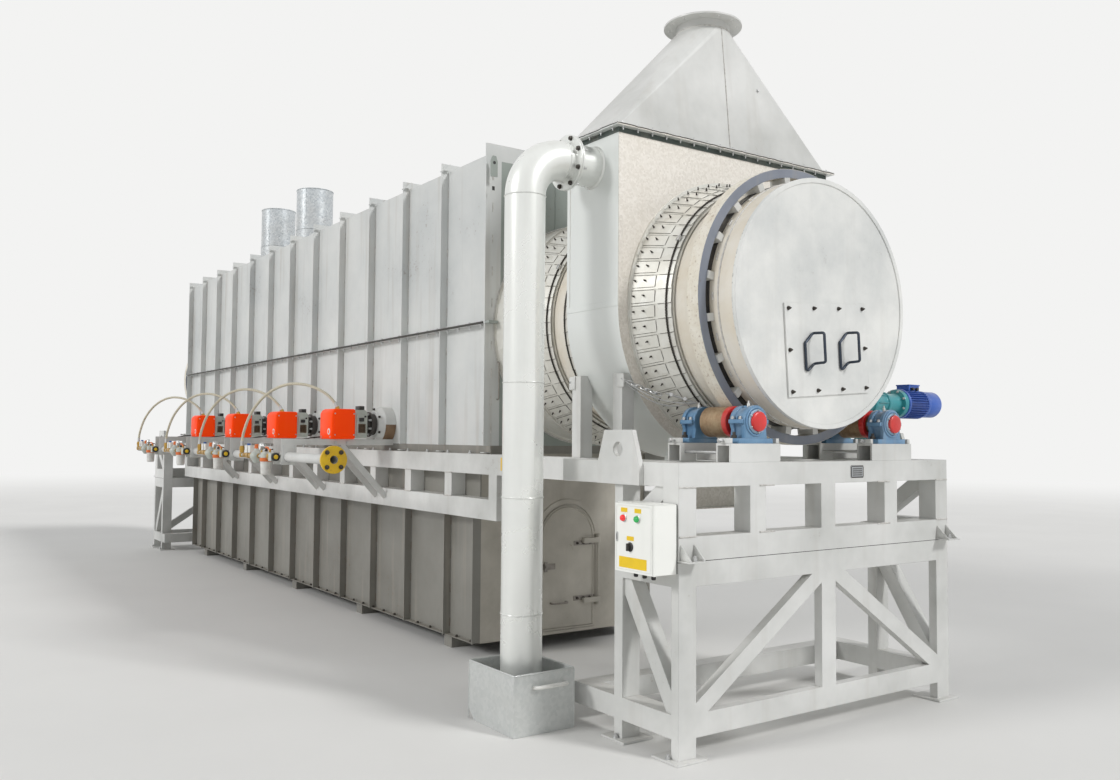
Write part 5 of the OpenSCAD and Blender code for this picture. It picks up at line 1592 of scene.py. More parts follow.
        # Painted shade: thin dark beads along the leaves' edges, for the shadow where they lap
        patterns.seams.grow("seal_leaf_edges", routes(lips + tips), LEAF_EDGE,
                            {"Bead radius": 0.0017, "Ripple length": 0.02, "Ripple depth": 0.4, "Sides": 4},
                            Slot.ZINC)
        self.chains(patterns)

    def chains(self, patterns: Patterns) -> None:
        """Hangs a pull chain with its turnbuckle from each hook plate to the rope of the hood's seal."""
        plate, ends, links = Shape(), Shape(), []
        for _, x0, way in self.feet[:2]:
            hook = Vector((5.655 if way > 0 else 5.165, -0.885, 1.975))
            foot = self.spot(x0, way, 0.86, math.radians(228), 0.02)
            plate.box((hook.x - 0.03, hook.y - 0.004, hook.z - 0.05),
                      (hook.x + 0.03, hook.y + 0.006, hook.z + 0.03))
            span = foot - hook
            n = 8
            for i in range(n):
                t = 0.06 + 0.5 * i / n
                sag = Vector((0, 0, -0.02 * math.sin(math.pi * t)))
                links.append((hook + span * t + sag, span))
            grip = [hook + span * t for t in (0.62, 0.66, 0.84, 0.88)]
            side = span.cross(Vector((0, 0, 1))).normalized() * 0.018
            for offset in (side, -side):
                ends.rod(grip[1] + offset, grip[2] + offset, 0.0055, 10)
            for spot in grip[1:3]:
                ends.rod(spot - side * 1.4, spot + side * 1.4, 0.011, 10)
            ends.rod(grip[0] - span * 0.03, grip[1] + span * 0.03, 0.0055, 10)
            ends.rod(grip[2] - span * 0.03, foot, 0.0055, 10)
            for offset, sag in ((side, 0.05), (-side, 0.075)):
                ends.tube([hook + span * t + offset - Vector((0, 0, sag * math.sin(math.pi * t)))
                           for t in (i / 14 for i in range(15))], 0.0035, 8)
        piece("chain_hook_plates", plate, [IVORY], bevel_mm=2)
        piece("seal_turnbuckles", ends, [PLATED])
        patterns.links.grow("seal_chains", seats(links), PLATED,
                            {"Link width": 0.022, "Link length": 0.042, "Wire radius": 0.004}, Slot.ZINC)


@dataclass
class Hood:
    """The gas hood's flange strips with their bolts, its seams and the duct above it."""

    x0: float = 5.15
    x1: float = 5.67
    half: float = 0.92
    flange_z: float = 3.48
    lip_x0: float = 5.105
    lip_x1: float = 5.715
    lip_y: float = 0.965
    top_z: float = 4.33
    neck_r: float = 0.178

    def strips(self) -> None:
        """Makes the angle strips under and over the joint, and the sealant that swells out of it."""
        shape = Shape()
        lo, hi = (self.lip_x0, -self.lip_y), (self.lip_x1, self.lip_y)
        for side, at in ((0, lo[0]), (1, hi[0])):
            way = 1 if side else -1
            a, b = sorted((at - way * 0.045, at - way * 0.0405))
            shape.use(0).box((a, lo[1] + 0.04, 3.442), (b, hi[1] - 0.04, 3.473))
        for at, way in ((lo[1], -1), (hi[1], 1)):
            a, b = sorted((at - way * 0.045, at - way * 0.0405))
            shape.box((lo[0] + 0.04, a, 3.442), (hi[0] - 0.04, b, 3.473))
        rim = [(lo[0] + 0.002, lo[1] + 0.002), (hi[0] - 0.002, lo[1] + 0.002), (hi[0] - 0.002, hi[1] - 0.002),
               (lo[0] + 0.002, hi[1] - 0.002)]
        line = []
        chance = random.Random(4)
        for (xa, ya), (xb, yb) in zip(rim, rim[1:] + rim[:1]):
            steps = int(math.hypot(xb - xa, yb - ya) / 0.03)
            for i in range(steps):
                t = i / steps
                line.append((xa + (xb - xa) * t, ya + (yb - ya) * t, 3.48 + chance.uniform(-0.002, 0.002)))
        shape.use(1).tube(line, 0.004, 6, closed=True)
        piece("hood_flange_strips", shape, [GREEN_GREY, SILICONE])

    def build(self, patterns: Patterns) -> None:
        """Makes the strips, the bolts all round, the seams and the fittings."""
        self.strips()
        heads, studs = [], []
        for way, x in ((-1, self.lip_x0 + 0.022), (1, self.lip_x1 - 0.022)):
            for i in range(17):
                y = -self.lip_y + 0.06 + (2 * self.lip_y - 0.12) * i / 16
                heads.append(((x, y, self.flange_z + 0.008), (0, 0, 1)))
                studs.append(((x, y, self.flange_z - 0.008), (0, 0, -1)))
        for y in (-self.lip_y + 0.022, self.lip_y - 0.022):
            for i in range(5):
                x = self.lip_x0 + 0.075 + (self.lip_x1 - self.lip_x0 - 0.15) * i / 4
                heads.append(((x, y, self.flange_z + 0.008), (0, 0, 1)))
                studs.append(((x, y, self.flange_z - 0.008), (0, 0, -1)))
        sizes = (13, 7, 18, 4)
        patterns.bolt("hood_flange_bolts", heads, PLATED, (*sizes, 4), Slot.PAINT)
        patterns.bolt("hood_flange_nuts", studs, PLATED, (*sizes, 8), Slot.ZINC)
        self.seams(patterns)
        self.fittings()

    def seams(self, patterns: Patterns) -> None:
        """Adds the welds of the duct and the folded seams of the hood's plates."""
        mid = (self.x0 + self.x1) / 2
        lines = [[(mid + (self.neck_r + 0.001) * math.cos(math.tau * i / 90),
                   (self.neck_r + 0.001) * math.sin(math.tau * i / 90), self.top_z) for i in range(91)]]
        for x in (self.x0, self.x1):
            edge = self.neck_r if x > mid else -self.neck_r
            foot, top = Vector((x, 0, self.flange_z + 0.01)), Vector((mid + edge, 0, self.top_z))
            lines.append([foot + (top - foot) * (i / 40) for i in range(41)])
        patterns.weld("duct_welds", lines, WELD, (5, 14), Slot.PAINT)
        folds = Shape()
        for x, way in ((self.x0, -1), (self.x1, 1)):
            a, b = sorted((x, x + way * 0.0025))
            for y0, y1 in ((-self.half, -0.893), (0.893, self.half)):
                folds.box((a, y0, 2.404), (b, y1, 2.44))
            for y in (-self.half, self.half):
                c, d = sorted((y, y - math.copysign(0.03, y)))
                folds.box((a, c, 2.44), (b, d, 3.42))
        for y, way in ((-self.half, -1), (self.half, 1)):
            c, d = sorted((y, y + way * 0.0025))
            folds.box((self.x0, c, 2.404), (self.x1, d, 2.44))
            for x in (self.x0, self.x1):
                a, b = sorted((x, x + math.copysign(0.03, (self.x0 + self.x1) / 2 - x)))
                folds.box((a, c, 2.44), (b, d, 3.42))
        piece("hood_edge_laps", folds, [HOOD_ZINC])

    def fittings(self) -> None:
        """Adds the plugged test fitting on the duct's front face."""
        shape = Shape()
        foot = Vector((5.6, 0.3, 3.95))
        out = Vector((1.0, 0, 0.32)).normalized()
        shape.use(0).rod(foot - out * 0.03, foot + out * 0.022, 0.014, 14)
        shape.use(1).rod(foot + out * 0.022, foot + out * 0.034, 0.011, 6)
        piece("duct_test_fitting", shape, [PLATED, PLATED])


@dataclass
class VentLine:
    """The vent pipe from the hood down into the water tank: its flanges, bolts and welds."""

    pipe_x: float = 5.41
    pipe_y: float = -1.41
    pipe_r: float = 0.12
    flange_y: float = -1.11
    z: float = 3.28
    joints: tuple[float, ...] = (1.94, 1.28, 0.62)

    def build(self, patterns: Patterns) -> None:
        """Makes the sleeve at the hood, the flanges and their bolts, and the pipe's welds."""
        sleeve = Shape()
        sleeve.turned([(0.0, 0.132), (0.0, 0.1205), (-0.012, 0.1205), (-0.012, 0.1225), (-0.004, 0.128)],
                      Axis.Y, (self.pipe_x, -0.92, self.z), 64)
        sleeve.turned([(-0.0125, 0.166), (-0.0125, 0.119), (-0.001, 0.119), (-0.001, 0.166)], Axis.Y,
                      (self.pipe_x, self.flange_y, self.z), 64)
        sleeve.turned([(0.001, 0.166), (0.001, 0.119), (0.0125, 0.119), (0.0125, 0.166)], Axis.Y,
                      (self.pipe_x, self.flange_y, self.z), 64)
        piece("vent_sleeve", sleeve, [PIPE])
        bolts, nuts = [], []
        for k in range(8):
            a = math.tau * (k + 0.5) / 8
            x, z = self.pipe_x + 0.146 * math.cos(a), self.z + 0.146 * math.sin(a)
            bolts.append(((x, self.flange_y - 0.013, z), (0, -1, 0)))
            nuts.append(((x, self.flange_y + 0.013, z), (0, 1, 0)))
        sizes = (22, 11, 30, 7)
        patterns.bolt("vent_flange_bolts", bolts, BLACK_BOLT, sizes, Slot.ZINC)
        patterns.bolt("vent_flange_nuts", nuts, PLATED, (*sizes, 14), Slot.ZINC)
        rings = []
        for z in self.joints:
            rings.append([(self.pipe_x + self.pipe_r * math.cos(math.tau * i / 80),
                           self.pipe_y + self.pipe_r * math.sin(math.tau * i / 80), z) for i in range(80)])
        for angle in (0, 90):
            a = math.radians(angle)
            centre = Vector((self.pipe_x, self.pipe_y + 0.25 - 0.25 * math.cos(a), 3.03 + 0.25 * math.sin(a)))
            way = Vector((0, math.sin(a), math.cos(a)))
            side = Vector((1, 0, 0))
            up = way.cross(side)
            rings.append([centre + (side * math.cos(t) + up * math.sin(t)) * self.pipe_r for t in
                          (math.tau * i / 80 for i in range(80))])
        for y in (-1.1225, -1.0975):
            rings.append([(self.pipe_x + 0.1215 * math.cos(math.tau * i / 80), y,
                           self.z + 0.1215 * math.sin(math.tau * i / 80)) for i in range(80)])
        patterns.weld("vent_welds", rings, PIPE, (4.5, 12), Slot.ZINC, closed=True)


@dataclass
class Tank:
    """The open water tank under the vent pipe: folded rim, handle and the water in it."""

    x0: float = 5.1675
    x1: float = 5.6525
    y0: float = -1.61
    y1: float = -1.21
    top: float = 0.33
    wall: float = 0.004
    water_z: float = 0.2
    pipe: Flat = (5.41, -1.41)
    pipe_r: float = 0.12

    def build(self, patterns: Patterns) -> None:
        """Makes the rim, the handle, the corner welds and the water."""
        rim = Shape()
        outline = [(self.x0, self.y0), (self.x1, self.y0), (self.x1, self.y1), (self.x0, self.y1)]
        rim.tube(bent([(x, y, self.top + 0.001) for x, y in outline], 0.012, 4, closed=True), 0.0055, 10,
                 closed=True)
        handle_y = (self.y0 + self.y1) / 2 + 0.03
        x = self.x1
        rim.use(1).tube(bent([(x - 0.001, handle_y - 0.1, 0.255), (x + 0.042, handle_y - 0.1, 0.262),
                              (x + 0.042, handle_y + 0.1, 0.262), (x - 0.001, handle_y + 0.1, 0.255)], 0.018,
                             5), 0.0105, 12)
        piece("tank_rim_and_handle", rim, [TANK_ZINC, WHITE_PLASTIC])
        lines = [[(cx, cy, 0.004 + (self.top - 0.008) * i / 16) for i in range(17)] for cx, cy in outline]
        patterns.weld("tank_corner_welds", lines, TANK_ZINC, (3.5, 9), Slot.ZINC)
        self.water()

    def water(self) -> None:
        """Lays the water's surface: a thin closed sheet with the pipe standing in it."""
        step = 10
        hole = circle(self.pipe_r + 0.0006, 4 * step, -0.75 * math.pi)
        lo, hi = (self.x0 + self.wall, self.y0 + self.wall), (self.x1 - self.wall, self.y1 - self.wall)
        corners = [lo, (hi[0], lo[1]), hi, (lo[0], hi[1])]
        edge = []
        for (xa, ya), (xb, yb) in zip(corners, corners[1:] + corners[:1]):
            edge += [(xa + (xb - xa) * i / step, ya + (yb - ya) * i / step) for i in range(step)]
        inner = [(self.pipe[0] + a, self.pipe[1] + b) for a, b in hole]
        n = len(edge)
        points = [(x, y, z) for z in (self.water_z, self.water_z - 0.004) for x, y in edge + inner]
        faces = []
        for i in range(n):
            j = (i + 1) % n
            faces += [(i, j, n + j, n + i), (2 * n + i, 3 * n + i, 3 * n + j, 2 * n + j),
                      (i, 2 * n + i, 2 * n + j, j), (n + i, n + j, 3 * n + j, 3 * n + i)]
        piece("tank_water", Shape().add(points, faces), [WATER])


@dataclass
class Bearings:
    """Eight split bearing blocks with their caps, bolts and grease nipples."""

    axis_y: float = ROLLER_Y
    axis_z: float = ROLLER_Z
    foot_z: float = 1.6
    foot_t: float = 0.028
    foot_half: float = 0.13
    body_r: float = 0.088
    length: float = 0.11
    stands: tuple[tuple[float, int], ...] = ((6.395, 1), (6.005, -1), (-4.795, -1), (-4.405, 1))
    blind: tuple[bool, ...] = (True, False, True, False)

    def block(self, shape: Shape, x: float, y: float, out: int, blind: bool) -> None:
        """Adds one block: foot, waisted split housing, rims, and a blind or open cap.

        Args:
            shape: the shape that gets it.
            x: the middle of the block along the shaft.
            y: place of the shaft.
            out: direction of its cap, 1 or -1.
            blind: whether the cap is closed.
        """
        half = self.length / 2
        shape.use(0).box((x - half, y - self.foot_half, self.foot_z), (x + half, y + self.foot_half,
                                                                       self.foot_z + self.foot_t))
        top = self.foot_z + self.foot_t - self.axis_z
        for edge, width in ((-1, 0.026), (1, 0.026), (0, 0.07)):
            r = self.body_r if edge else self.body_r - 0.012
            a = x + edge * (half - width / 2)
            arc = [(r * math.cos(t), r * math.sin(t)) for t in
                   (math.radians(-28 + 236 * i / 40) for i in range(41))]
            low = 0.084 if edge else 0.07
            outline = [(y + c, self.axis_z + s) for c, s in arc]
            outline += [(y - low, self.axis_z + top), (y + low, self.axis_z + top)]
            shape.prism(outline, Axis.X, a - width / 2, a + width / 2)
        shape.box((x - half + 0.006, y - self.body_r - 0.016, self.axis_z - 0.011),
                  (x + half - 0.006, y + self.body_r + 0.016, self.axis_z + 0.011))
        shape.box((x - 0.004, y - self.body_r - 0.004, self.axis_z + 0.0112),
                  (x + 0.004, y - self.body_r + 0.012, self.axis_z + 0.03))
        cx = x + out * half
        shape.use(0).turned([(0, 0.0362), (0, 0.078), (out * 0.005, 0.081), (out * 0.008, 0.078),
                             (out * 0.008, 0.07), (out * 0.0035, 0.068), (out * 0.0035, 0.0362)], Axis.X,
                            (cx, y, self.axis_z), 56)
        shape.use(1).turned([(out * 0.003, 0.0362), (out * 0.003, 0.066), (out * 0.012, 0.066),
                             (out * 0.015, 0.062), (out * 0.015, 0.0362)], Axis.X, (cx, y, self.axis_z), 56)
        if blind:
            shape.use(2).turned([(out * 0.012, 0.0), (out * 0.012, 0.054), (out * 0.028, 0.054),
                                 (out * 0.031, 0.05), (out * 0.033, 0.044), (out * 0.034, 0.0)], Axis.X,
                                (cx, y, self.axis_z), 56)
        else:
            shape.use(2).turned([(out * 0.012, 0.0365), (out * 0.012, 0.054), (out * 0.017, 0.054),
                                 (out * 0.019, 0.05), (out * 0.019, 0.0365)], Axis.X, (cx, y, self.axis_z),
                                56)
        shape.use(3).rod((x, y, self.axis_z + self.body_r - 0.014), (x, y, self.axis_z + self.body_r + 0.012),
                         0.009, 6)
        shape.rod((x, y, self.axis_z + self.body_r + 0.012), (x, y, self.axis_z + self.body_r + 0.026), 0.005,
                  10, 0.0035)

    def build(self, patterns: Patterns) -> None:
        """Makes the blocks, which stand for the frame's plain ones, and their bolts."""
        shape = Shape()
        foot_bolts, cap_bolts, small = [], [], []
        for (x, out), blind in zip(self.stands, self.blind):
            for side in (-1, 1):
                y = side * self.axis_y
                self.block(shape, x, y, out, blind)
                for end in (-1, 1):
                    foot_bolts.append(((x, y + end * (self.foot_half - 0.02),
                                        self.foot_z + self.foot_t + 0.001), (0, 0, 1)))
                    for along in (-0.028, 0.028):
                        cap_bolts.append(((x + along, y + end * (self.body_r + 0.004), self.axis_z + 0.0125),
                                          (0, 0, 1)))
                for k in range(6):
                    a = math.tau * (k + 0.5) / 6
                    small.append(((x + out * (self.length / 2 + 0.0155), y + 0.06 * math.cos(a),
                                   self.axis_z + 0.06 * math.sin(a)), (out, 0, 0)))
        piece("split_bearing_blocks", shape, [BLOCK_BLUE, CAP_BLUE, SIGNAL_RED, WHITE_PLASTIC],
              bevel_mm=2.5, replaces=["bearing_blocks"])
        patterns.bolt("bearing_foot_bolts", foot_bolts, BLACK_BOLT, (27, 14, 36, 9, 14), Slot.BLOCK)
        patterns.bolt("bearing_cap_bolts", cap_bolts, PLATED, (17, 10, 22), Slot.BLOCK)
        patterns.bolt("bearing_cover_screws", small, PLATED, (8, 4.5, 10, 2), Slot.BLOCK)


@dataclass
class Rollers:
    """What shows at the rollers: bevelled edges, the red ring painted on them and the shaft collars."""

    spans: tuple[tuple[str, float, float, float], ...] = (
        ("front_left_roller", 6.10, 6.30, -ROLLER_Y), ("front_right_roller", 6.10, 6.30, ROLLER_Y),
        ("rear_left_roller", -4.70, -4.50, -ROLLER_Y), ("rear_right_roller", -4.70, -4.50, ROLLER_Y))
    z: float = ROLLER_Z

    def build(self, patterns: Patterns) -> None:
        """Makes each roller's end rings and hub collars."""
        for name, x0, x1, y in self.spans:
            shape = Shape()
            red = x1 if x0 > 0 else x0
            pale = x0 if x0 > 0 else x1
            out = 1 if x0 > 0 else -1
            shape.use(0).turned([(-out * 0.03, 0.0849), (-out * 0.03, 0.0862), (out * 0.001, 0.0862),
                                 (out * 0.004, 0.083), (out * 0.004, 0.06), (out * 0.001, 0.058),
                                 (out * 0.001, 0.0849)], Axis.X, (red, y, self.z), 72)
            shape.use(1).turned([(out * 0.016, 0.0849), (out * 0.016, 0.0856), (0.0, 0.0856),
                                 (-out * 0.006, 0.078), (-out * 0.006, 0.058), (0.0, 0.056), (0.0, 0.0849)],
                                Axis.X, (pale, y, self.z), 72)
            for end, way in ((x0, -1), (x1, 1)):
                shape.use(1).turned([(way * 0.0005, 0.0352), (way * 0.0005, 0.05), (way * 0.016, 0.05),
                                     (way * 0.019, 0.047), (way * 0.019, 0.0352)], Axis.X, (end, y, self.z),
                                    40)
            piece(f"{name}_trim", shape, [SIGNAL_RED, ROLLER_STEEL], name)


@dataclass
class Pedestals:
    """Jack bolts, slides, the low guard plates and the tie rods between the roller stands' channels."""

    channel_top: float = 1.6
    inner_y: float = 0.395
    outer_y: float = 0.775
    fronts: tuple[tuple[float, float, float], ...] = ((5.95, 6.06, 6.34), (-4.35, -4.46, -4.74))

    def build(self, patterns: Patterns) -> None:
        """Makes the fittings on both stands."""
        shape, heads = Shape(), []
        for inner0, inner1, outer0 in self.fronts:
            way = 1 if outer0 > 0 else -1
            outer1 = outer0 + way * 0.11
            for side in (-1, 1):
                for xa, xb in ((inner0, inner1), (outer0, outer1)):
                    mid = (xa + xb) / 2
                    for y in (self.inner_y + 0.012, self.outer_y - 0.012):
                        a, b = sorted((side * (y - 0.012), side * (y + 0.012)))
                        shape.use(0).box((mid - 0.045, a, self.channel_top + 0.0005),
                                         (mid + 0.045, b, self.channel_top + 0.0285))
                    ends = ((self.inner_y, -1), (self.outer_y, 1))
                    for y, out in ends:
                        foot = Vector((mid, side * (y + out * -0.012), self.channel_top + 0.0155))
                        tip = foot + Vector((0, side * out * 0.05, 0))
                        shape.use(1).rod(foot, tip, 0.007, 10)
                        heads.append((tip - Vector((0, side * out * 0.016, 0)), (0, side * out, 0)))
                lo, hi = sorted((inner1 + way * 0.012, outer0 - way * 0.012))
                shape.use(1).rod((lo - 0.014, side * 0.74, 1.55), (hi + 0.014, side * 0.74, 1.55), 0.009, 12)
                shape.rod((lo - 0.014, side * 0.43, 1.55), (hi + 0.014, side * 0.43, 1.55), 0.009, 12)
                a, b = sorted((side * 0.47, side * 0.70))
                shape.use(0).box((lo + 0.03, a, 1.5005), (hi - 0.03, b, 1.506))
                for x in (lo + 0.03, hi - 0.036):
                    shape.box((x, a, 1.5005), (x + 0.006, b, 1.545))
        piece("pedestal_fittings", shape, [IVORY, PLATED], bevel_mm=1.5)
        patterns.bolt("jack_bolt_heads", heads, PLATED, (22, 12, 22), Slot.PAINT)


@dataclass
class Drive:
    """The teal worm reducer and the finned blue motor on the front right roller."""

    x: float = 5.87
    wheel_y: float = ROLLER_Y
    wheel_z: float = ROLLER_Z
    wheel_r: float = 0.08
    worm_z: float = 1.879
    worm_r: float = 0.08
    worm_y0: float = 0.69
    worm_y1: float = 1.44
    motor_r: float = 0.105
    motor_y1: float = 1.70
    fan_r: float = 0.093
    fan_y1: float = 1.84
    fins: int = 36

    def reducer(self) -> None:
        """Makes the reducer's castings: wheel case, worm case, ribs, flanges and top lugs."""
        shape = Shape()
        y, z = self.wheel_y, self.wheel_z
        shape.turned([(-0.06, 0.0), (-0.06, 0.05), (-0.052, 0.062), (-0.046, self.wheel_r - 0.004),
                      (-0.04, self.wheel_r), (0.04, self.wheel_r), (0.046, self.wheel_r - 0.004),
                      (0.052, 0.062), (0.06, 0.05), (0.06, 0.0)], Axis.X, (self.x, y, z), 56)
        steps = [(self.worm_y0, 0.0), (self.worm_y0, 0.05), (self.worm_y0 + 0.02, 0.066), (0.78, 0.07),
                 (0.785, 0.08), (0.815, 0.08), (0.82, 0.07), (0.90, 0.07), (0.905, self.worm_r),
                 (0.93, self.worm_r), (0.935, 0.072), (1.10, 0.072), (1.105, self.worm_r),
                 (1.13, self.worm_r), (1.135, 0.07), (1.25, 0.068), (1.255, 0.078), (1.275, 0.078),
                 (1.28, 0.066), (1.395, 0.07), (1.40, 0.098), (self.worm_y1, 0.1), (self.worm_y1, 0.0)]
        shape.turned(steps, Axis.Y, (self.x, 0, self.worm_z), 56)
        shape.box((self.x - 0.045, 0.60, 1.735), (self.x + 0.045, 0.74, 1.865))
        shape.prism([(0.62, 1.64), (0.585, 1.61), (0.585, 1.5), (0.91, 1.5), (0.91, 1.61), (0.78, 1.79),
                     (0.70, 1.76)], Axis.X, self.x - 0.03, self.x + 0.03)
        shape.box((self.x - 0.06, 0.585, 1.5), (self.x + 0.075, 0.91, 1.518))
        for yy in (0.80, 1.02):
            shape.box((self.x - 0.045, yy, self.worm_z + 0.05),
                      (self.x + 0.045, yy + 0.09, self.worm_z + 0.082))
        shape.box((self.x - 0.045, 1.02, 1.5), (self.x + 0.045, 1.032, 1.82))
        shape.box((self.x - 0.045, 1.098, 1.5), (self.x + 0.045, 1.11, 1.82))
        shape.box((self.x - 0.045, 1.015, 1.5), (self.x + 0.045, 1.115, 1.515))
        for a in range(8):
            t = math.tau * a / 8
            at = Matrix.Translation((self.x, 1.19, self.worm_z)) @ Matrix.Rotation(t, 4, "Y")
            shape.box((-0.004, -0.05, 0.06), (0.004, 0.055, 0.077), at)
        piece("worm_reducer", shape, [TEAL], bevel_mm=2.5, replaces=["gear_reducer"])

    def motor(self, patterns: Patterns) -> None:
        """Makes the motor: body, end shields, fan cover with its slots, terminal box, and the fins."""
        shape = Shape()
        core = self.motor_r - 0.018
        y0 = self.worm_y1
        shape.use(0).turned([(0.0, 0.0), (0.0, self.motor_r - 0.004), (0.004, self.motor_r),
                             (0.022, self.motor_r), (0.026, core), (self.motor_y1 - y0 - 0.03, core),
                             (self.motor_y1 - y0 - 0.026, 0.096), (self.motor_y1 - y0, 0.096),
                             (self.motor_y1 - y0, 0.0)], Axis.Y, (self.x, y0, self.worm_z), 56)
        fan = self.fan_y1 - self.motor_y1
        shape.use(1).turned([(0.001, 0.0), (0.001, self.fan_r), (fan - 0.018, self.fan_r),
                             (fan - 0.006, self.fan_r - 0.006), (fan - 0.001, self.fan_r - 0.018),
                             (fan - 0.001, 0.03), (fan - 0.004, 0.0)], Axis.Y,
                            (self.x, self.motor_y1, self.worm_z), 56)
        shape.use(0).box((self.x - 0.05, 1.50, self.worm_z + 0.08),
                         (self.x + 0.05, 1.62, self.worm_z + 0.135))
        shape.box((self.x - 0.054, 1.496, self.worm_z + 0.128), (self.x + 0.054, 1.624, self.worm_z + 0.137))
        shape.use(2).rod((self.x + 0.05, 1.53, self.worm_z + 0.105),
                         (self.x + 0.072, 1.53, self.worm_z + 0.105), 0.012, 12)
        shape.rod((self.x + 0.05, 1.585, self.worm_z + 0.105), (self.x + 0.066, 1.585, self.worm_z + 0.105),
                  0.012, 12)
        piece("drive_motor_body", shape, [MOTOR_BLUE, MOTOR_BLUE, BLACK_PAINT], bevel_mm=1.5,
              replaces=["drive_motor"])
        fins, slots = [], []
        for k in range(self.fins):
            t = math.tau * (k + 0.5) / self.fins
            if abs(math.sin(t) - 1) < 0.12:
                continue
            out = Vector((math.cos(t), 0, math.sin(t)))
            side = Vector((-math.sin(t), 0, math.cos(t)))
            middle = Vector((self.x, (y0 + 0.024 + self.motor_y1 - 0.028) / 2,
                             self.worm_z)) + out * (self.motor_r - 0.012)
            fins.append((middle, out, side))
        body = Shape()
        for middle, out, side in fins:
            half = (self.motor_y1 - y0 - 0.052) / 2
            at = Matrix.Translation(middle) @ Matrix((side, Vector((0, 1, 0)), out)).transposed().to_4x4()
            body.prism([(-half, -0.008), (half, -0.008), (half, 0.009), (half - 0.01, 0.0115),
                        (-half + 0.01, 0.0115), (-half, 0.009)], Axis.X, -0.0017, 0.0017, at)
        piece("motor_cooling_fins", body, [MOTOR_BLUE])
        for ring, count in ((0.045, 14), (0.066, 20)):
            for k in range(count):
                t = math.tau * k / count
                out = Vector((math.cos(t), 0, math.sin(t)))
                slots.append((Vector((self.x, self.fan_y1 - 0.0005, self.worm_z)) + out * ring, out))
        patterns.plates.grow("fan_cover_slots", seats(slots), RUBBER, {"Plate size": (0.0045, 0.0012, 0.014)},
                             Slot.MOTOR)

    def build(self, patterns: Patterns) -> None:
        """Makes reducer, motor and their bolts."""
        self.reducer()
        self.motor(patterns)
        bolts = []
        for k in range(8):
            t = math.tau * (k + 0.5) / 8
            bolts.append(((self.x + 0.088 * math.cos(t), self.worm_y1 - 0.041,
                           self.worm_z + 0.088 * math.sin(t)), (0, -1, 0)))
        for k in range(6):
            t = math.tau * k / 6
            for way in (-1, 1):
                bolts.append(((self.x + way * 0.056, self.wheel_y + 0.057 * math.cos(t),
                               self.wheel_z + 0.057 * math.sin(t)), (way, 0, 0)))
        for x in (self.x - 0.046, self.x + 0.06):
            for y in (0.885, 0.61):
                bolts.append(((x, y, 1.519), (0, 0, 1)))
        patterns.bolt("reducer_bolts", bolts, PLATED, (14, 8, 18, 4), Slot.TEAL)


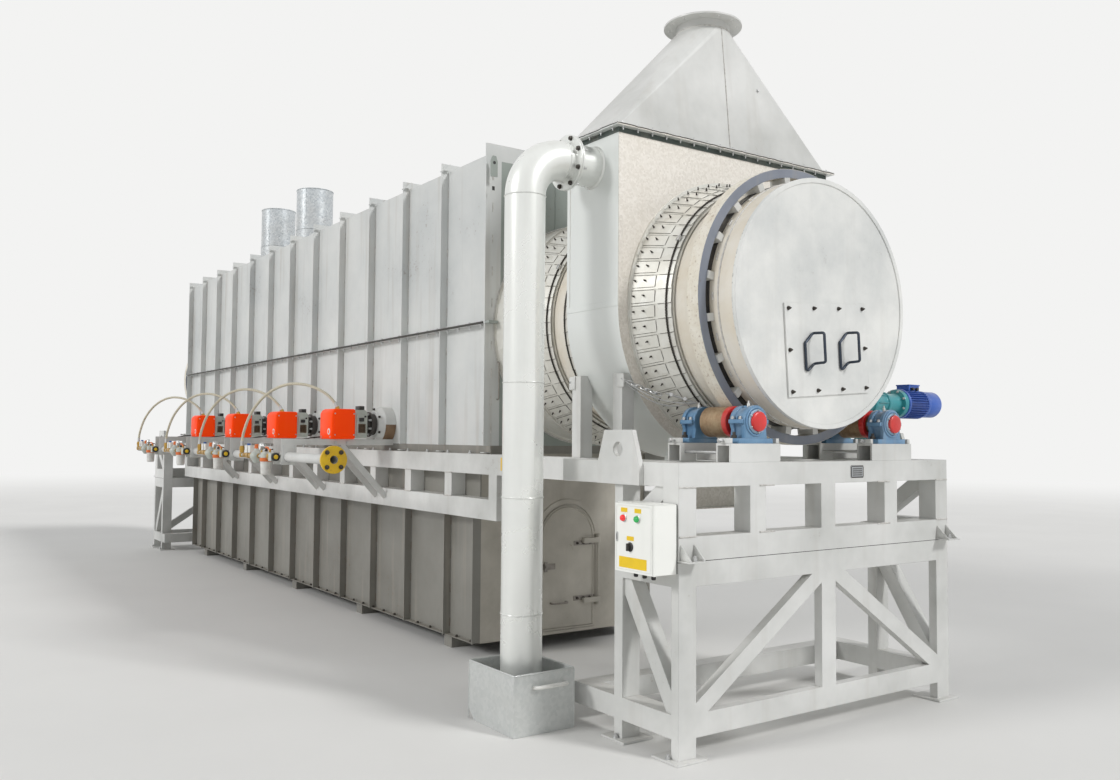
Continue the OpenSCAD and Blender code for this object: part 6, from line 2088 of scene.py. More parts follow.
@dataclass
class Burners:
    """Four gas burners: red covers, grey bodies with ribbed blocks, relays, flanges and port tubes."""

    burner_x: tuple[float, ...] = BURNER_X
    z: float = 1.72
    port_r: float = 0.15
    flange_r: float = 0.105
    tube_r: float = 0.074
    body_w: float = 0.24
    cover_w: float = 0.26
    cover_h: float = 0.25
    body_y: float = -1.10
    cover_y: float = -1.21
    end_y: float = -1.42
    cut: float = 0.04

    def cover(self, shape: Shape, x: float) -> None:
        """Adds one red cover, whose top edge is cut away at its outer end.

        Args:
            shape: the shape that gets it.
            x: the burner's place along the furnace.
        """
        lo, hi = self.z - self.cover_h / 2, self.z + self.cover_h / 2
        outline = [(self.cover_y, lo), (self.cover_y, hi), (self.end_y + self.cut, hi),
                   (self.end_y + self.cut * 0.35, hi - self.cut * 0.28), (self.end_y, hi - self.cut),
                   (self.end_y, lo)]
        shape.use(0).prism(outline, Axis.X, x - self.cover_w / 2, x + self.cover_w / 2)

    def marks(self, shape: Shape, x: float) -> None:
        """Adds the cover's trim: a raised line on both sides, the blank badge on its end and two screws.

        Args:
            shape: the shape that gets it.
            x: the burner's place along the furnace.
        """
        lo, half = self.z - self.cover_h / 2, self.cover_w / 2
        for way in (-1, 1):
            face = x + way * half
            line = bent([(face, self.cover_y - 0.02, lo + 0.022), (face, self.end_y + 0.022, lo + 0.022),
                         (face, self.end_y + 0.022, lo + self.cover_h - 0.07)], 0.02, 4)
            shape.use(0).tube(line, 0.0035, 8)
        face = self.end_y
        badge = (x + 0.075, face, lo + 0.062)
        shape.use(1).turned([(0.001, 0.0), (0.001, 0.027), (-0.002, 0.027), (-0.0035, 0.025), (-0.0035, 0.0)],
                            Axis.Y, badge, 32)
        shape.use(0).turned([(-0.002, 0.0), (-0.002, 0.014), (-0.0045, 0.014), (-0.0048, 0.0)], Axis.Y, badge,
                            28)
        for at in (x - 0.085, x + 0.105):
            shape.use(2).rod((at, face - 0.004, lo + 0.02), (at, face + 0.001, lo + 0.02), 0.007, 14)

    def body(self, shape: Shape, x: float) -> None:
        """Adds the grey body behind the cover: housing, ribbed block, relay, flanges and the port's tube.

        Args:
            shape: the shape that gets it.
            x: the burner's place along the furnace.
        """
        half, lo, hi = self.body_w / 2, self.z - self.cover_h / 2, self.z + self.cover_h / 2
        near, far = self.body_y, self.cover_y
        shape.use(0).prism([(far, lo + 0.006), (far, hi - 0.006), (near - 0.02, hi - 0.006),
                            (near, hi - 0.03), (near, lo + 0.02), (near - 0.015, lo + 0.006)], Axis.X,
                           x - half, x + half)
        for way in (-1, 1):
            face = x + way * half
            a, b = sorted((face - way * 0.002, face + way * 0.012))
            shape.use(0).prism(rounded((far + 0.012, lo + 0.03), (near - 0.012, hi - 0.035), [0.02] * 4),
                               Axis.X, a, b)
            shape.use(5).box((min(a, face), far + 0.022, self.z - 0.075),
                             (max(b, face), near - 0.022, self.z + 0.005))
            for k in range(7):
                low = self.z - 0.072 + 0.011 * k
                a, b = sorted((face, face + way * 0.024))
                shape.box((a, far + 0.022, low), (b, near - 0.022, low + 0.005))
            a, b = sorted((face, face + way * 0.03))
            shape.use(1).box((a, far + 0.03, self.z + 0.022), (b, near - 0.042, self.z + 0.052))
            shape.rod((face, near - 0.026, self.z + 0.064), (face + way * 0.02, near - 0.026, self.z + 0.064),
                      0.008, 12)
        shape.use(2).turned([(0.0, 0.0), (0.0, self.tube_r), (0.06, self.tube_r), (0.06, 0.0)], Axis.Y,
                            (x, -1.10, self.z), 40)
        shape.use(2).turned([(0.0, 0.0), (0.0, self.flange_r), (0.004, self.flange_r + 0.001),
                             (0.02, self.flange_r), (0.02, 0.0)], Axis.Y, (x, -1.05, self.z), 48)
        shape.use(3).turned([(0.0, 0.0), (0.0, self.port_r - 0.03), (0.012, self.port_r - 0.03),
                             (0.04, self.port_r - 0.012), (0.055, self.port_r), (0.14, self.port_r),
                             (0.145, self.port_r), (0.145, 0.0)], Axis.Y, (x, -0.995, self.z), 56)
        shape.use(2).turned([(0.0, 0.0), (0.0, 0.09), (0.045, 0.09), (0.045, 0.0)], Axis.Y,
                            (x, -1.035, self.z), 40)
        # Painted shade: a dark brown half shell over the lower half of the port tube
        rim = [(self.port_r + 0.0012, math.pi * i / 24) for i in range(25)]
        rim += [(self.port_r - 0.004, a) for _, a in reversed(rim)]
        shape.use(5).prism([(self.z - r * math.sin(a), x + r * math.cos(a)) for r, a in rim], Axis.Y, -0.945,
                           -0.852)
        shape.use(1).box((x - 0.07, near - 0.03, hi - 0.008), (x + 0.02, near + 0.015, hi + 0.03))
        shape.use(4).rod((x, -1.315, hi - 0.001), (x, -1.315, hi + 0.005), 0.022, 6)

    def build(self, patterns: Patterns) -> None:
        """Makes the four burners with their bolts, screws and intake slots."""
        covers, trims, bodies = Shape(), Shape(), Shape()
        bolts, port_bolts, screws = [], [], []
        for x in self.burner_x:
            self.cover(covers, x)
            self.marks(trims, x)
            self.body(bodies, x)
            for k in range(8):
                a = math.tau * (k + 0.5) / 8
                bolts.append(((x + 0.09 * math.cos(a), -1.0505, self.z + 0.09 * math.sin(a)), (0, -1, 0)))
            for k in range(6):
                a = math.tau * (k + 0.5) / 6
                port_bolts.append(((x + 0.13 * math.cos(a), -0.983, self.z + 0.13 * math.sin(a)), (0, -1, 0)))
            for z in (self.z - 0.09, self.z + 0.085):
                for y in (self.cover_y - 0.015, self.cover_y - 0.18):
                    for way in (-1, 1):
                        screws.append(((x + way * self.cover_w / 2, y, z), (way, 0, 0)))
        piece("burner_red_covers", covers, [COVER_RED], bevel_mm=14, sharp_deg=50,
              replaces=["burner_covers"])
        piece("burner_cover_trims", trims, [COVER_RED, WHITE_PLASTIC, PLATED])
        piece("burner_housings", bodies, [DIE_CAST, BLACK_PAINT, DARK_FLANGE, IVORY, BRASS, DARK_BROWN],
              bevel_mm=3, replaces=["burner_bodies"])
        patterns.bolt("burner_flange_bolts", bolts, PLATED, (16, 9, 22, 8, 10), Slot.GREY)
        patterns.bolt("burner_port_bolts", port_bolts, BLACK_BOLT, (16, 9, 22), Slot.GREY)
        patterns.bolt("burner_cover_screws", screws, PLATED, (9, 4, 13, 2), Slot.GREY)
        self.intakes(patterns)
        self.bracket_bolts(patterns)

    def intakes(self, patterns: Patterns) -> None:
        """Adds the slots of the air intake on the grey bodies' tops."""
        spots = []
        for x in self.burner_x:
            for k in range(7):
                spots.append(((x - 0.085 + 0.012 * k, self.body_y - 0.055,
                               self.z + self.cover_h / 2 - 0.0055), (0, 0, 1)))
        patterns.plates.grow("intake_slots", seats(spots), RUBBER, {"Plate size": (0.005, 0.06, 0.002)},
                             Slot.GREY)

    def bracket_bolts(self, patterns: Patterns) -> None:
        """Adds the bolts with which the covers stand on their brackets."""
        bolts = []
        for x in self.burner_x:
            for way in (-1, 1):
                for y in (-1.27, -1.37):
                    bolts.append(((x + way * 0.1025, y, 1.57), (way, 0, 0)))
        patterns.bolt("bracket_bolts", bolts, PLATED, (16, 9, 22), Slot.PAINT)


@dataclass
class GasLine:
    """Valves, filters, regulators and gauges of the four gas trains, and the manifold's yellow flange."""

    burner_x: tuple[float, ...] = BURNER_X
    y: float = -1.85
    z: float = 1.45
    line_y: float = -1.76
    line_r: float = 0.038
    line_x0: float = -2.9025
    line_x1: float = 3.4375
    pipe_r: float = 0.014

    def train(self, shape: Shape, x: float) -> None:
        """Adds one gas train from the manifold to the hose's nipple.

        Args:
            shape: the shape that gets it.
            x: the place of the burner that it feeds.
        """
        sieve, regulator, nipple = x - 0.19, x - 0.43, x - 0.84
        y, z, r = self.y, self.z, self.pipe_r
        shape.use(0).rod((x, self.line_y, z), (x, y, z), r, 14)
        shape.rod((x, y, z), (nipple, y, z), r, 14)
        shape.rod((nipple, y, z - 0.002), (nipple, y, 1.511), r, 14)
        shape.use(1).turned([(-0.02, 0.0), (-0.02, 0.02), (0.02, 0.02), (0.02, 0.0)], Axis.X, (nipple, y, z),
                            8)
        shape.turned([(-0.02, 0.0), (-0.02, 0.02), (0.016, 0.02), (0.016, 0.0)], Axis.Z, (nipple, y, z), 8)
        # Governor on the stub: cast block with its black adjusting ring and the yellow cap in it
        shape.use(2).box((x - 0.034, y - 0.034, z - 0.034), (x + 0.034, y + 0.034, z + 0.034))
        shape.use(4).turned([(0.03, 0.0), (0.03, 0.03), (0.034, 0.034), (0.05, 0.034), (0.054, 0.030),
                             (0.054, 0.021), (0.048, 0.02), (0.048, 0.0)], Axis.X, (x, y, z), 32)
        shape.use(5).turned([(0.046, 0.0), (0.046, 0.018), (0.055, 0.0175), (0.058, 0.013), (0.0585, 0.0)],
                            Axis.X, (x, y, z), 28)
        # Ball valve with its hexagon ends, stem and lever
        ball = x - 0.095
        shape.use(1).turned([(-0.04, 0.0145), (-0.04, 0.022), (-0.022, 0.022), (-0.02, 0.028), (0.0, 0.031),
                             (0.02, 0.028), (0.022, 0.022), (0.04, 0.022), (0.04, 0.0145)], Axis.X,
                            (ball, y, z), 8)
        shape.rod((ball, y, z + 0.025), (ball, y, z + 0.058), 0.008, 10)
        shape.use(3).tube(bent([(ball + 0.012, y, z + 0.056), (ball - 0.03, y, z + 0.056),
                                (ball - 0.055, y, z + 0.073), (ball - 0.11, y, z + 0.073)], 0.015, 4), 0.0072,
                          8)
        # Filter: pale bowl that hangs under an orange clamp band, with a screwed lid
        shape.use(7).turned([(-0.15, 0.0), (-0.15, 0.03), (-0.14, 0.04), (-0.04, 0.045), (-0.04, 0.0)],
                            Axis.Z, (sieve, y, z), 40)
        shape.use(3).turned([(-0.042, 0.0), (-0.042, 0.047), (-0.038, 0.05), (-0.016, 0.05), (-0.012, 0.047),
                             (-0.012, 0.0)], Axis.Z, (sieve, y, z), 40)
        shape.use(2).turned([(-0.014, 0.0), (-0.014, 0.044), (0.025, 0.044), (0.032, 0.036), (0.04, 0.018),
                             (0.04, 0.0)], Axis.Z, (sieve, y, z), 40)
        shape.use(4).turned([(0.038, 0.0), (0.038, 0.013), (0.054, 0.013), (0.058, 0.008), (0.058, 0.0)],
                            Axis.Z, (sieve, y, z), 18)
        # Regulator: two domes clamped together, with a spring cap on top
        shape.use(2).turned([(-0.06, 0.0), (-0.06, 0.024), (-0.045, 0.034), (-0.022, 0.05), (-0.004, 0.056),
                             (0.004, 0.056), (0.018, 0.05), (0.034, 0.036), (0.042, 0.024), (0.06, 0.022),
                             (0.06, 0.0)], Axis.Z, (regulator, y, z), 40)
        shape.use(3).turned([(0.058, 0.0), (0.058, 0.02), (0.092, 0.0185), (0.097, 0.014), (0.097, 0.0)],
                            Axis.Z, (regulator, y, z), 28)
        # Pressure gauge on its stem, its dial towards the operator
        gauge = regulator + 0.125
        shape.use(1).rod((gauge, y, z), (gauge, y, z + 0.05), 0.007, 10)
        shape.use(6).turned([(0.012, 0.0), (0.012, 0.031), (-0.012, 0.031), (-0.016, 0.027), (-0.013, 0.026),
                             (-0.013, 0.0)], Axis.Y, (gauge, y - 0.003, z + 0.078), 36)
        shape.use(7).turned([(-0.0125, 0.0), (-0.0125, 0.0255), (-0.0145, 0.0255), (-0.0145, 0.0)], Axis.Y,
                            (gauge, y - 0.003, z + 0.078), 36)
        # Union nuts along the pipe, and the hose's swivel nut
        for at in (sieve + 0.062, sieve - 0.065, regulator + 0.07, regulator - 0.07, x - 0.72, x - 0.755):
            shape.use(1).turned([(-0.011, 0.0), (-0.011, 0.022), (0.011, 0.022), (0.011, 0.0)], Axis.X,
                                (at, y, z), 6)
        shape.use(1).turned([(0.0, 0.0), (0.0, 0.019), (0.022, 0.019), (0.024, 0.022), (0.044, 0.022),
                             (0.046, 0.0)], Axis.Z, (nipple, y, z + 0.02), 6)
        # Two solenoid valves: ivory coils on brass bodies, the second with a blue knob
        for coil in (x - 0.56, x - 0.645):
            shape.use(7).box((coil - 0.03, y - 0.026, z + 0.024), (coil + 0.03, y + 0.026, z + 0.085))
            shape.use(1).turned([(-0.034, 0.0), (-0.034, 0.026), (0.034, 0.026), (0.034, 0.0)], Axis.X,
                                (coil, y, z), 8)
        shape.use(8).rod((x - 0.645, y, z + 0.084), (x - 0.645, y, z + 0.1), 0.014, 16)

    def cable(self, shape: Shape, x: float) -> None:
        """Adds the fixed lead clipped from the solenoid to the burner's bracket.

        Args:
            shape: the shape that gets it.
            x: the burner's place along the furnace.
        """
        start = Vector((x - 0.56, self.y + 0.02, self.z + 0.06))
        spots = [start, start + Vector((0.02, 0.05, 0.012)), start + Vector((0.12, 0.1, -0.012)),
                 Vector((x - 0.26, -1.66, 1.54)), Vector((x - 0.14, -1.6, 1.585)),
                 Vector((x - 0.12, -1.5, 1.604)), Vector((x - 0.12, -1.41, 1.612))]
        shape.use(0).tube(bent(spots, 0.035, 5), 0.0055, 8)

    def manifold(self, patterns: Patterns) -> None:
        """Dresses the manifold: its yellow flange with the bolts, its end cap and the clamps that hold it."""
        shape = Shape()
        y, z, r = self.line_y, self.z, self.line_r
        end = self.line_x1
        shape.use(0).turned([(-0.0185, r + 0.0005), (-0.0185, 0.0995), (-0.016, 0.1015), (-0.002, 0.1015),
                             (0.0008, 0.0995), (0.0008, 0.03), (-0.0002, 0.03), (-0.0002, r + 0.0005)],
                            Axis.X, (end, y, z), 64)
        shape.use(0).turned([(-0.09, r + 0.0005), (-0.09, r + 0.003), (-0.018, r + 0.003),
                             (-0.018, r + 0.0005)], Axis.X, (end, y, z), 40)
        shape.use(1).turned([(-0.001, 0.0), (-0.001, r + 0.002), (-0.012, r + 0.002), (-0.016, r - 0.01),
                             (-0.018, 0.0)], Axis.X, (self.line_x0, y, z), 40)
        for x in self.burner_x:
            for way in (-1, 1):
                at = x + way * 0.09
                shape.use(2).tube(bent([(at, y - r - 0.006, 1.545), (at, y - r - 0.006, z),
                                        (at, y - r + 0.004, z - 0.03), (at, y, z - r - 0.006),
                                        (at, y + r - 0.004, z - 0.03), (at, y + r + 0.006, z),
                                        (at, y + r + 0.006, 1.545)], 0.01, 3), 0.005, 8)
        piece("manifold_trim", shape, [YELLOW, IVORY, PLATED])
        bolts = [((end + 0.001, y + 0.075 * math.cos(a), z + 0.075 * math.sin(a)), (1, 0, 0))
                 for a in (math.pi / 4 + math.pi / 2 * k for k in range(4))]
        patterns.bolt("manifold_flange_bolts", bolts, BLACK_BOLT, (26, 13, 34, 8, 12), Slot.PAINT)

    def build(self, patterns: Patterns) -> None:
        """Makes the four trains, their leads and the manifold's trim."""
        trains, leads = Shape(), Shape()
        for x in self.burner_x:
            self.train(trains, x)
            self.cable(leads, x)
        piece("gas_train_fittings", trains,
              [DIE_CAST, BRASS, DIE_CAST, ORANGE, BLACK_PAINT, YELLOW, PLATED, WHITE_PLASTIC, BLUE_PLASTIC],
              replaces=["gas_trains"])
        piece("solenoid_leads", leads, [RUBBER])
        self.manifold(patterns)
        self.ferrules()

    def ferrules(self) -> None:
        """Adds the pressed sleeves and swivel nuts at both ends of the four hoses."""
        shape = Shape()
        for x in self.burner_x:
            base = Vector((x - 0.84, self.y, 1.51))
            shape.use(0).rod(base, base + Vector((0, 0, 0.018)), 0.019, 6)
            shape.use(1).rod(base + Vector((0, 0, 0.018)), base + Vector((0, 0.001, 0.062)), 0.0142, 18)
            top = Vector((x, -1.315, 1.845))
            lean = (Vector((x - 0.012, -1.328, 1.885)) - top).normalized()
            shape.use(0).rod(top, top + lean * 0.02, 0.019, 6)
            shape.use(1).rod(top + lean * 0.02, top + lean * 0.06, 0.0142, 18)
        piece("hose_ferrules", shape, [BRASS, PLATED])


@dataclass
class Furnace:
    """The ribbed furnace casing: stitch welds, rib caps, split flange, lugs, roof seams and stack rims."""

    wall_y: float = 0.85
    rib_y: float = 0.91
    first_rib: float = FIRST_RIB_X
    bay: float = RIB_BAY
    ribs: int = RIBS
    rib_t: float = 0.01
    floor_z: float = 1.56
    joint_z: float = 2.45
    roof_z: float = 3.70
    end_x: float = 4.11
    rib_top: float = 3.76
    stacks: tuple[float, ...] = (-3.079, -1.710)
    stack_r: float = 0.225
    stack_top: float = 4.71

    def rib_x(self, k: int) -> float:
        """Returns the place of rib k along the furnace."""
        return self.first_rib + self.bay * k

    def stitches(self, patterns: Patterns) -> None:
        """Welds the ribs to the panels with short stitches, and the edges with whole seams."""
        short = []
        for k in range(self.ribs):
            for side in (-1, 1):
                for way in (-1, 1):
                    x = self.rib_x(k) + way * (self.rib_t / 2 + 0.0015)
                    y = side * (self.wall_y + 0.0015)
                    for z0, z1 in ((self.floor_z + 0.04, self.joint_z - 0.05),
                                   (self.joint_z + 0.05, self.roof_z - 0.03)):
                        count = max(1, int((z1 - z0) / 0.2))
                        pitch = (z1 - z0) / count
                        for i in range(count):
                            z = z0 + pitch * (i + 0.25)
                            short.append([(x, y, z + 0.011 * j) for j in range(7)])
        patterns.weld("rib_stitch_welds", short, WELD, (4.5, 13), Slot.PAINT, sides=5)

    def flanges(self, patterns: Patterns) -> None:
        """Makes the split flange's sealant line and bolts."""
        rope, bolts, nuts = Shape(), [], []
        for side in (-1, 1):
            y = side * self.rib_y
            line = [(self.first_rib + 0.02 + (self.end_x - self.first_rib - 0.04) * i / 160,
                     y + side * 0.0008, self.joint_z) for i in range(161)]
            rope.tube(line, 0.0085, 6)
            for k in range(self.ribs - 1):
                for j in range(4):
                    x = self.rib_x(k) + self.bay * (j + 0.5) / 4
                    bolts.append(((x, side * (self.wall_y + 0.035), self.joint_z + 0.0085), (0, 0, 1)))
                    nuts.append(((x, side * (self.wall_y + 0.035), self.joint_z - 0.0085), (0, 0, -1)))
        piece("split_flange_sealant", rope, [SILICONE])
        sizes = (18, 9, 26, 5)
        patterns.bolt("split_flange_bolts", bolts, PLATED, sizes, Slot.PAINT)
        patterns.bolt("split_flange_nuts", nuts, PLATED, (*sizes, 10), Slot.PAINT)

    def caps(self) -> None:
        """Adds the folded corner gussets at the ribs' tops, and the angle cleats at their feet."""
        shape = Shape()
        for k in range(self.ribs):
            x = self.rib_x(k)
            for side in (-1, 1):
                outline = [(side * self.wall_y, self.roof_z + 0.001),
                           (side * (self.rib_y - 0.002), self.roof_z + 0.001),
                           (side * self.wall_y, self.rib_top - 0.002)]
                for at in (x - 0.034, x + 0.028):
                    if self.first_rib < at < self.end_x - 0.06:
                        shape.use(0).prism(outline, Axis.X, at, at + 0.006)
                a, b = sorted((side * self.wall_y, side * (self.wall_y + 0.05)))
                if k:
                    shape.box((x - 0.055, a, self.floor_z - 0.052), (x - 0.005, b, self.floor_z - 0.046))
        piece("rib_cleats", shape, [PANEL])

    def end_wall(self, patterns: Patterns) -> None:
        """Adds what the front end wall shows: stiffeners, seam, lifting lugs, slot and the hook rod."""
        shape = Shape()
        face = self.end_x
        for side in (-1, 1):
            y = side * 0.885
            lug = [(y - 0.028, 3.50), (y + 0.028, 3.50), (y + 0.028, 3.61), (y + 0.014, 3.65),
                   (y - 0.014, 3.65), (y - 0.028, 3.61)]
            shape.use(0).prism(lug, Axis.X, 4.1705, 4.182)
            shape.use(1).prism([(y + 0.012 * math.cos(math.tau * i / 16),
                                 3.60 + 0.012 * math.sin(math.tau * i / 16)) for i in range(16)], Axis.X,
                               4.1815, 4.1828)
            shape.use(1).box((4.1704, y - 0.011, 3.40), (4.1712, y + 0.011, 3.43))
        shape.use(0).box((face, -0.3035, 3.15), (face + 0.004, -0.2965, 3.69))
        shape.box((face, 0.2965, 3.15), (face + 0.004, 0.3035, 3.69))
        rod_y = -0.80
        shape.use(2).rod((face + 0.024, rod_y, 1.9), (face + 0.024, rod_y, 2.16), 0.005, 8)
        for z, inner in ((1.895, 1.95), (2.165, 2.10)):
            hook = [(face - 0.001, rod_y, z), (face + 0.024, rod_y, z), (face + 0.024, rod_y, inner)]
            shape.tube(bent(hook, 0.012, 4), 0.005, 8)
        piece("end_wall_fittings", shape, [END_WALL, RUBBER, BARE_STEEL])
        ring = [(face + 0.002, y, AXIS_Z + z) for y, z in circle(0.838, 150)]
        patterns.weld("end_wall_ring_weld", [ring], WELD, (5, 14), Slot.PAINT, closed=True)

    def roof(self, patterns: Patterns) -> None:
        """Adds the stacks' rims, seams, foot collars and weld rings."""
        shape = Shape()
        for x in self.stacks:
            for z, bead in ((self.stack_top - 0.004, 0.006), (4.2, 0.005)):
                shape.tube([(x + a, b, z) for a, b in circle(self.stack_r, 72)], bead, 8, closed=True)
            shape.turned([(0.0, 0.2255), (0.0, 0.30), (0.004, 0.30), (0.006, 0.234), (0.05, 0.2285),
                          (0.05, 0.2255)], Axis.Z, (x, 0, self.roof_z + 0.0005), 64)
            for a, z0, z1 in ((-1.9, 3.75, 4.2), (0.4, 3.75, 4.2), (-0.9, 4.2, 4.7), (2.2, 4.2, 4.7)):
                at = Matrix.Translation((x, 0, 0)) @ Matrix.Rotation(a, 4, "Z")
                shape.box((self.stack_r - 0.002, -0.009, z0), (self.stack_r + 0.0028, 0.009, z1), at)
        piece("stack_rims_and_seams", shape, [STACK_ZINC])
        lines = []
        for k in range(self.ribs - 1):
            x = self.rib_x(k) + 0.006
            lines.append([(x, -0.84 + 1.68 * i / 90, self.roof_z + 0.001) for i in range(91)])
        patterns.weld("roof_welds", lines, WELD, (4, 18), Slot.PAINT, sides=5)

    def build(self, patterns: Patterns) -> None:
        """Makes everything on the furnace casing."""
        self.stitches(patterns)
        self.flanges(patterns)
        self.caps()
        self.end_wall(patterns)
        self.roof(patterns)


@dataclass
class BaseCasing:
    """The casing under the furnace: rib welds, and the inspection door's arch, latch, handle and hinges."""

    half_x: float = 3.87
    wall_y: float = 0.79
    door_x: float = 3.8805
    door_half: float = 0.26
    door_low: float = 0.13
    arch_z: float = 0.83

    def door(self, patterns: Patterns) -> None:
        """Dresses the inspection door, which swings on its hinge rod."""
        shape = Shape()
        face = self.door_x
        rim = [(self.door_half - 0.016, self.door_low + 0.016)]
        rim += [((self.door_half - 0.016) * math.cos(a), self.arch_z + (self.door_half - 0.016) * math.sin(a))
                for a in (math.pi * i / 28 for i in range(29))]
        rim.append((-self.door_half + 0.016, self.door_low + 0.016))
        shape.use(0).tube([(face + 0.001, y, z) for y, z in rim], 0.006, 8, closed=True)
        shape.use(1).box((face, -0.255, 0.60), (face + 0.006, -0.12, 0.645))
        shape.use(1).box((face + 0.006, -0.225, 0.585), (face + 0.016, -0.20, 0.66))
        shape.use(1).rod((face, -0.2125, 0.623), (face + 0.026, -0.2125, 0.623), 0.009, 12)
        shape.use(1).tube(bent([(face - 0.001, -0.16, 0.34), (face + 0.045, -0.16, 0.34),
                                (face + 0.045, -0.02, 0.34), (face - 0.001, -0.02, 0.34)], 0.016, 5), 0.007,
                          10)
        for z in (0.36, 0.79):
            shape.use(1).box((face, 0.06, z - 0.018), (face + 0.006, 0.262, z + 0.018))
        piece("inspection_door_trim", shape, [FRONT_WALL, BARE_STEEL], "inspection_door")
        bolts = [((face + 0.0065, y, z), (1, 0, 0)) for z in (0.36, 0.79) for y in (0.09, 0.15, 0.21)]
        patterns.bolt("inspection_door_bolts", bolts, BLACK_BOLT, (16, 8, 22), Slot.PAINT, "inspection_door")

    def frame_ring(self) -> None:
        """Adds the round flange strip on the wall around the door, and the latch keeper beside it."""
        shape = Shape()
        inner, outer = self.door_half + 0.012, self.door_half + 0.05
        points = [(outer * math.cos(math.pi * i / 36), self.arch_z + outer * math.sin(math.pi * i / 36))
                  for i in range(2, 37)]
        back = [(inner * math.cos(math.pi * i / 36), self.arch_z + inner * math.sin(math.pi * i / 36))
                for i in range(36, 1, -1)]
        shape.use(0).prism(points + back, Axis.X, 3.8702, 3.8755)
        shape.box((3.8702, -outer, self.door_low), (3.8755, -inner, self.arch_z))
        shape.box((3.8702, -outer, self.door_low - 0.03), (3.8755, 0.262, self.door_low - 0.006))
        shape.use(1).box((3.8702, -0.335, 0.585), (3.888, -0.318, 0.66))
        piece("doorway_flange", shape, [FRONT_WALL, BARE_STEEL])

    def build(self, patterns: Patterns) -> None:
        """Makes door, doorway and the ribs' welds."""
        self.door(patterns)
        self.frame_ring()
        short = []
        for k in range(RIBS):
            x = FIRST_RIB_X + RIB_BAY * k
            if abs(x) > self.half_x - 0.02:
                continue
            for side in (-1, 1):
                for way in (-1, 1):
                    for i in range(5):
                        z = 0.16 + 0.26 * i
                        short.append([(x + way * 0.0065, side * (self.wall_y + 0.0015), z + 0.011 * j)
                                      for j in range(7)])
        patterns.weld("base_stitch_welds", short, DARK_WELD, (4.5, 13), Slot.PAINT, sides=5)
        lip, bolts = Shape(), []
        for side in (-1, 1):
            a, b = sorted((side * self.wall_y, side * (self.wall_y + 0.045)))
            lip.box((-self.half_x, a, 0.101), (self.half_x, b, 0.107))
            for i in range(36):
                bolts.append(((-3.8 + 7.6 * i / 35, side * (self.wall_y + 0.026), 0.1075), (0, 0, 1)))
        piece("base_foot_angle", lip, [UNDERFRAME])
        patterns.bolt("base_foot_bolts", bolts, BLACK_BOLT, (18, 10, 26), Slot.PAINT)


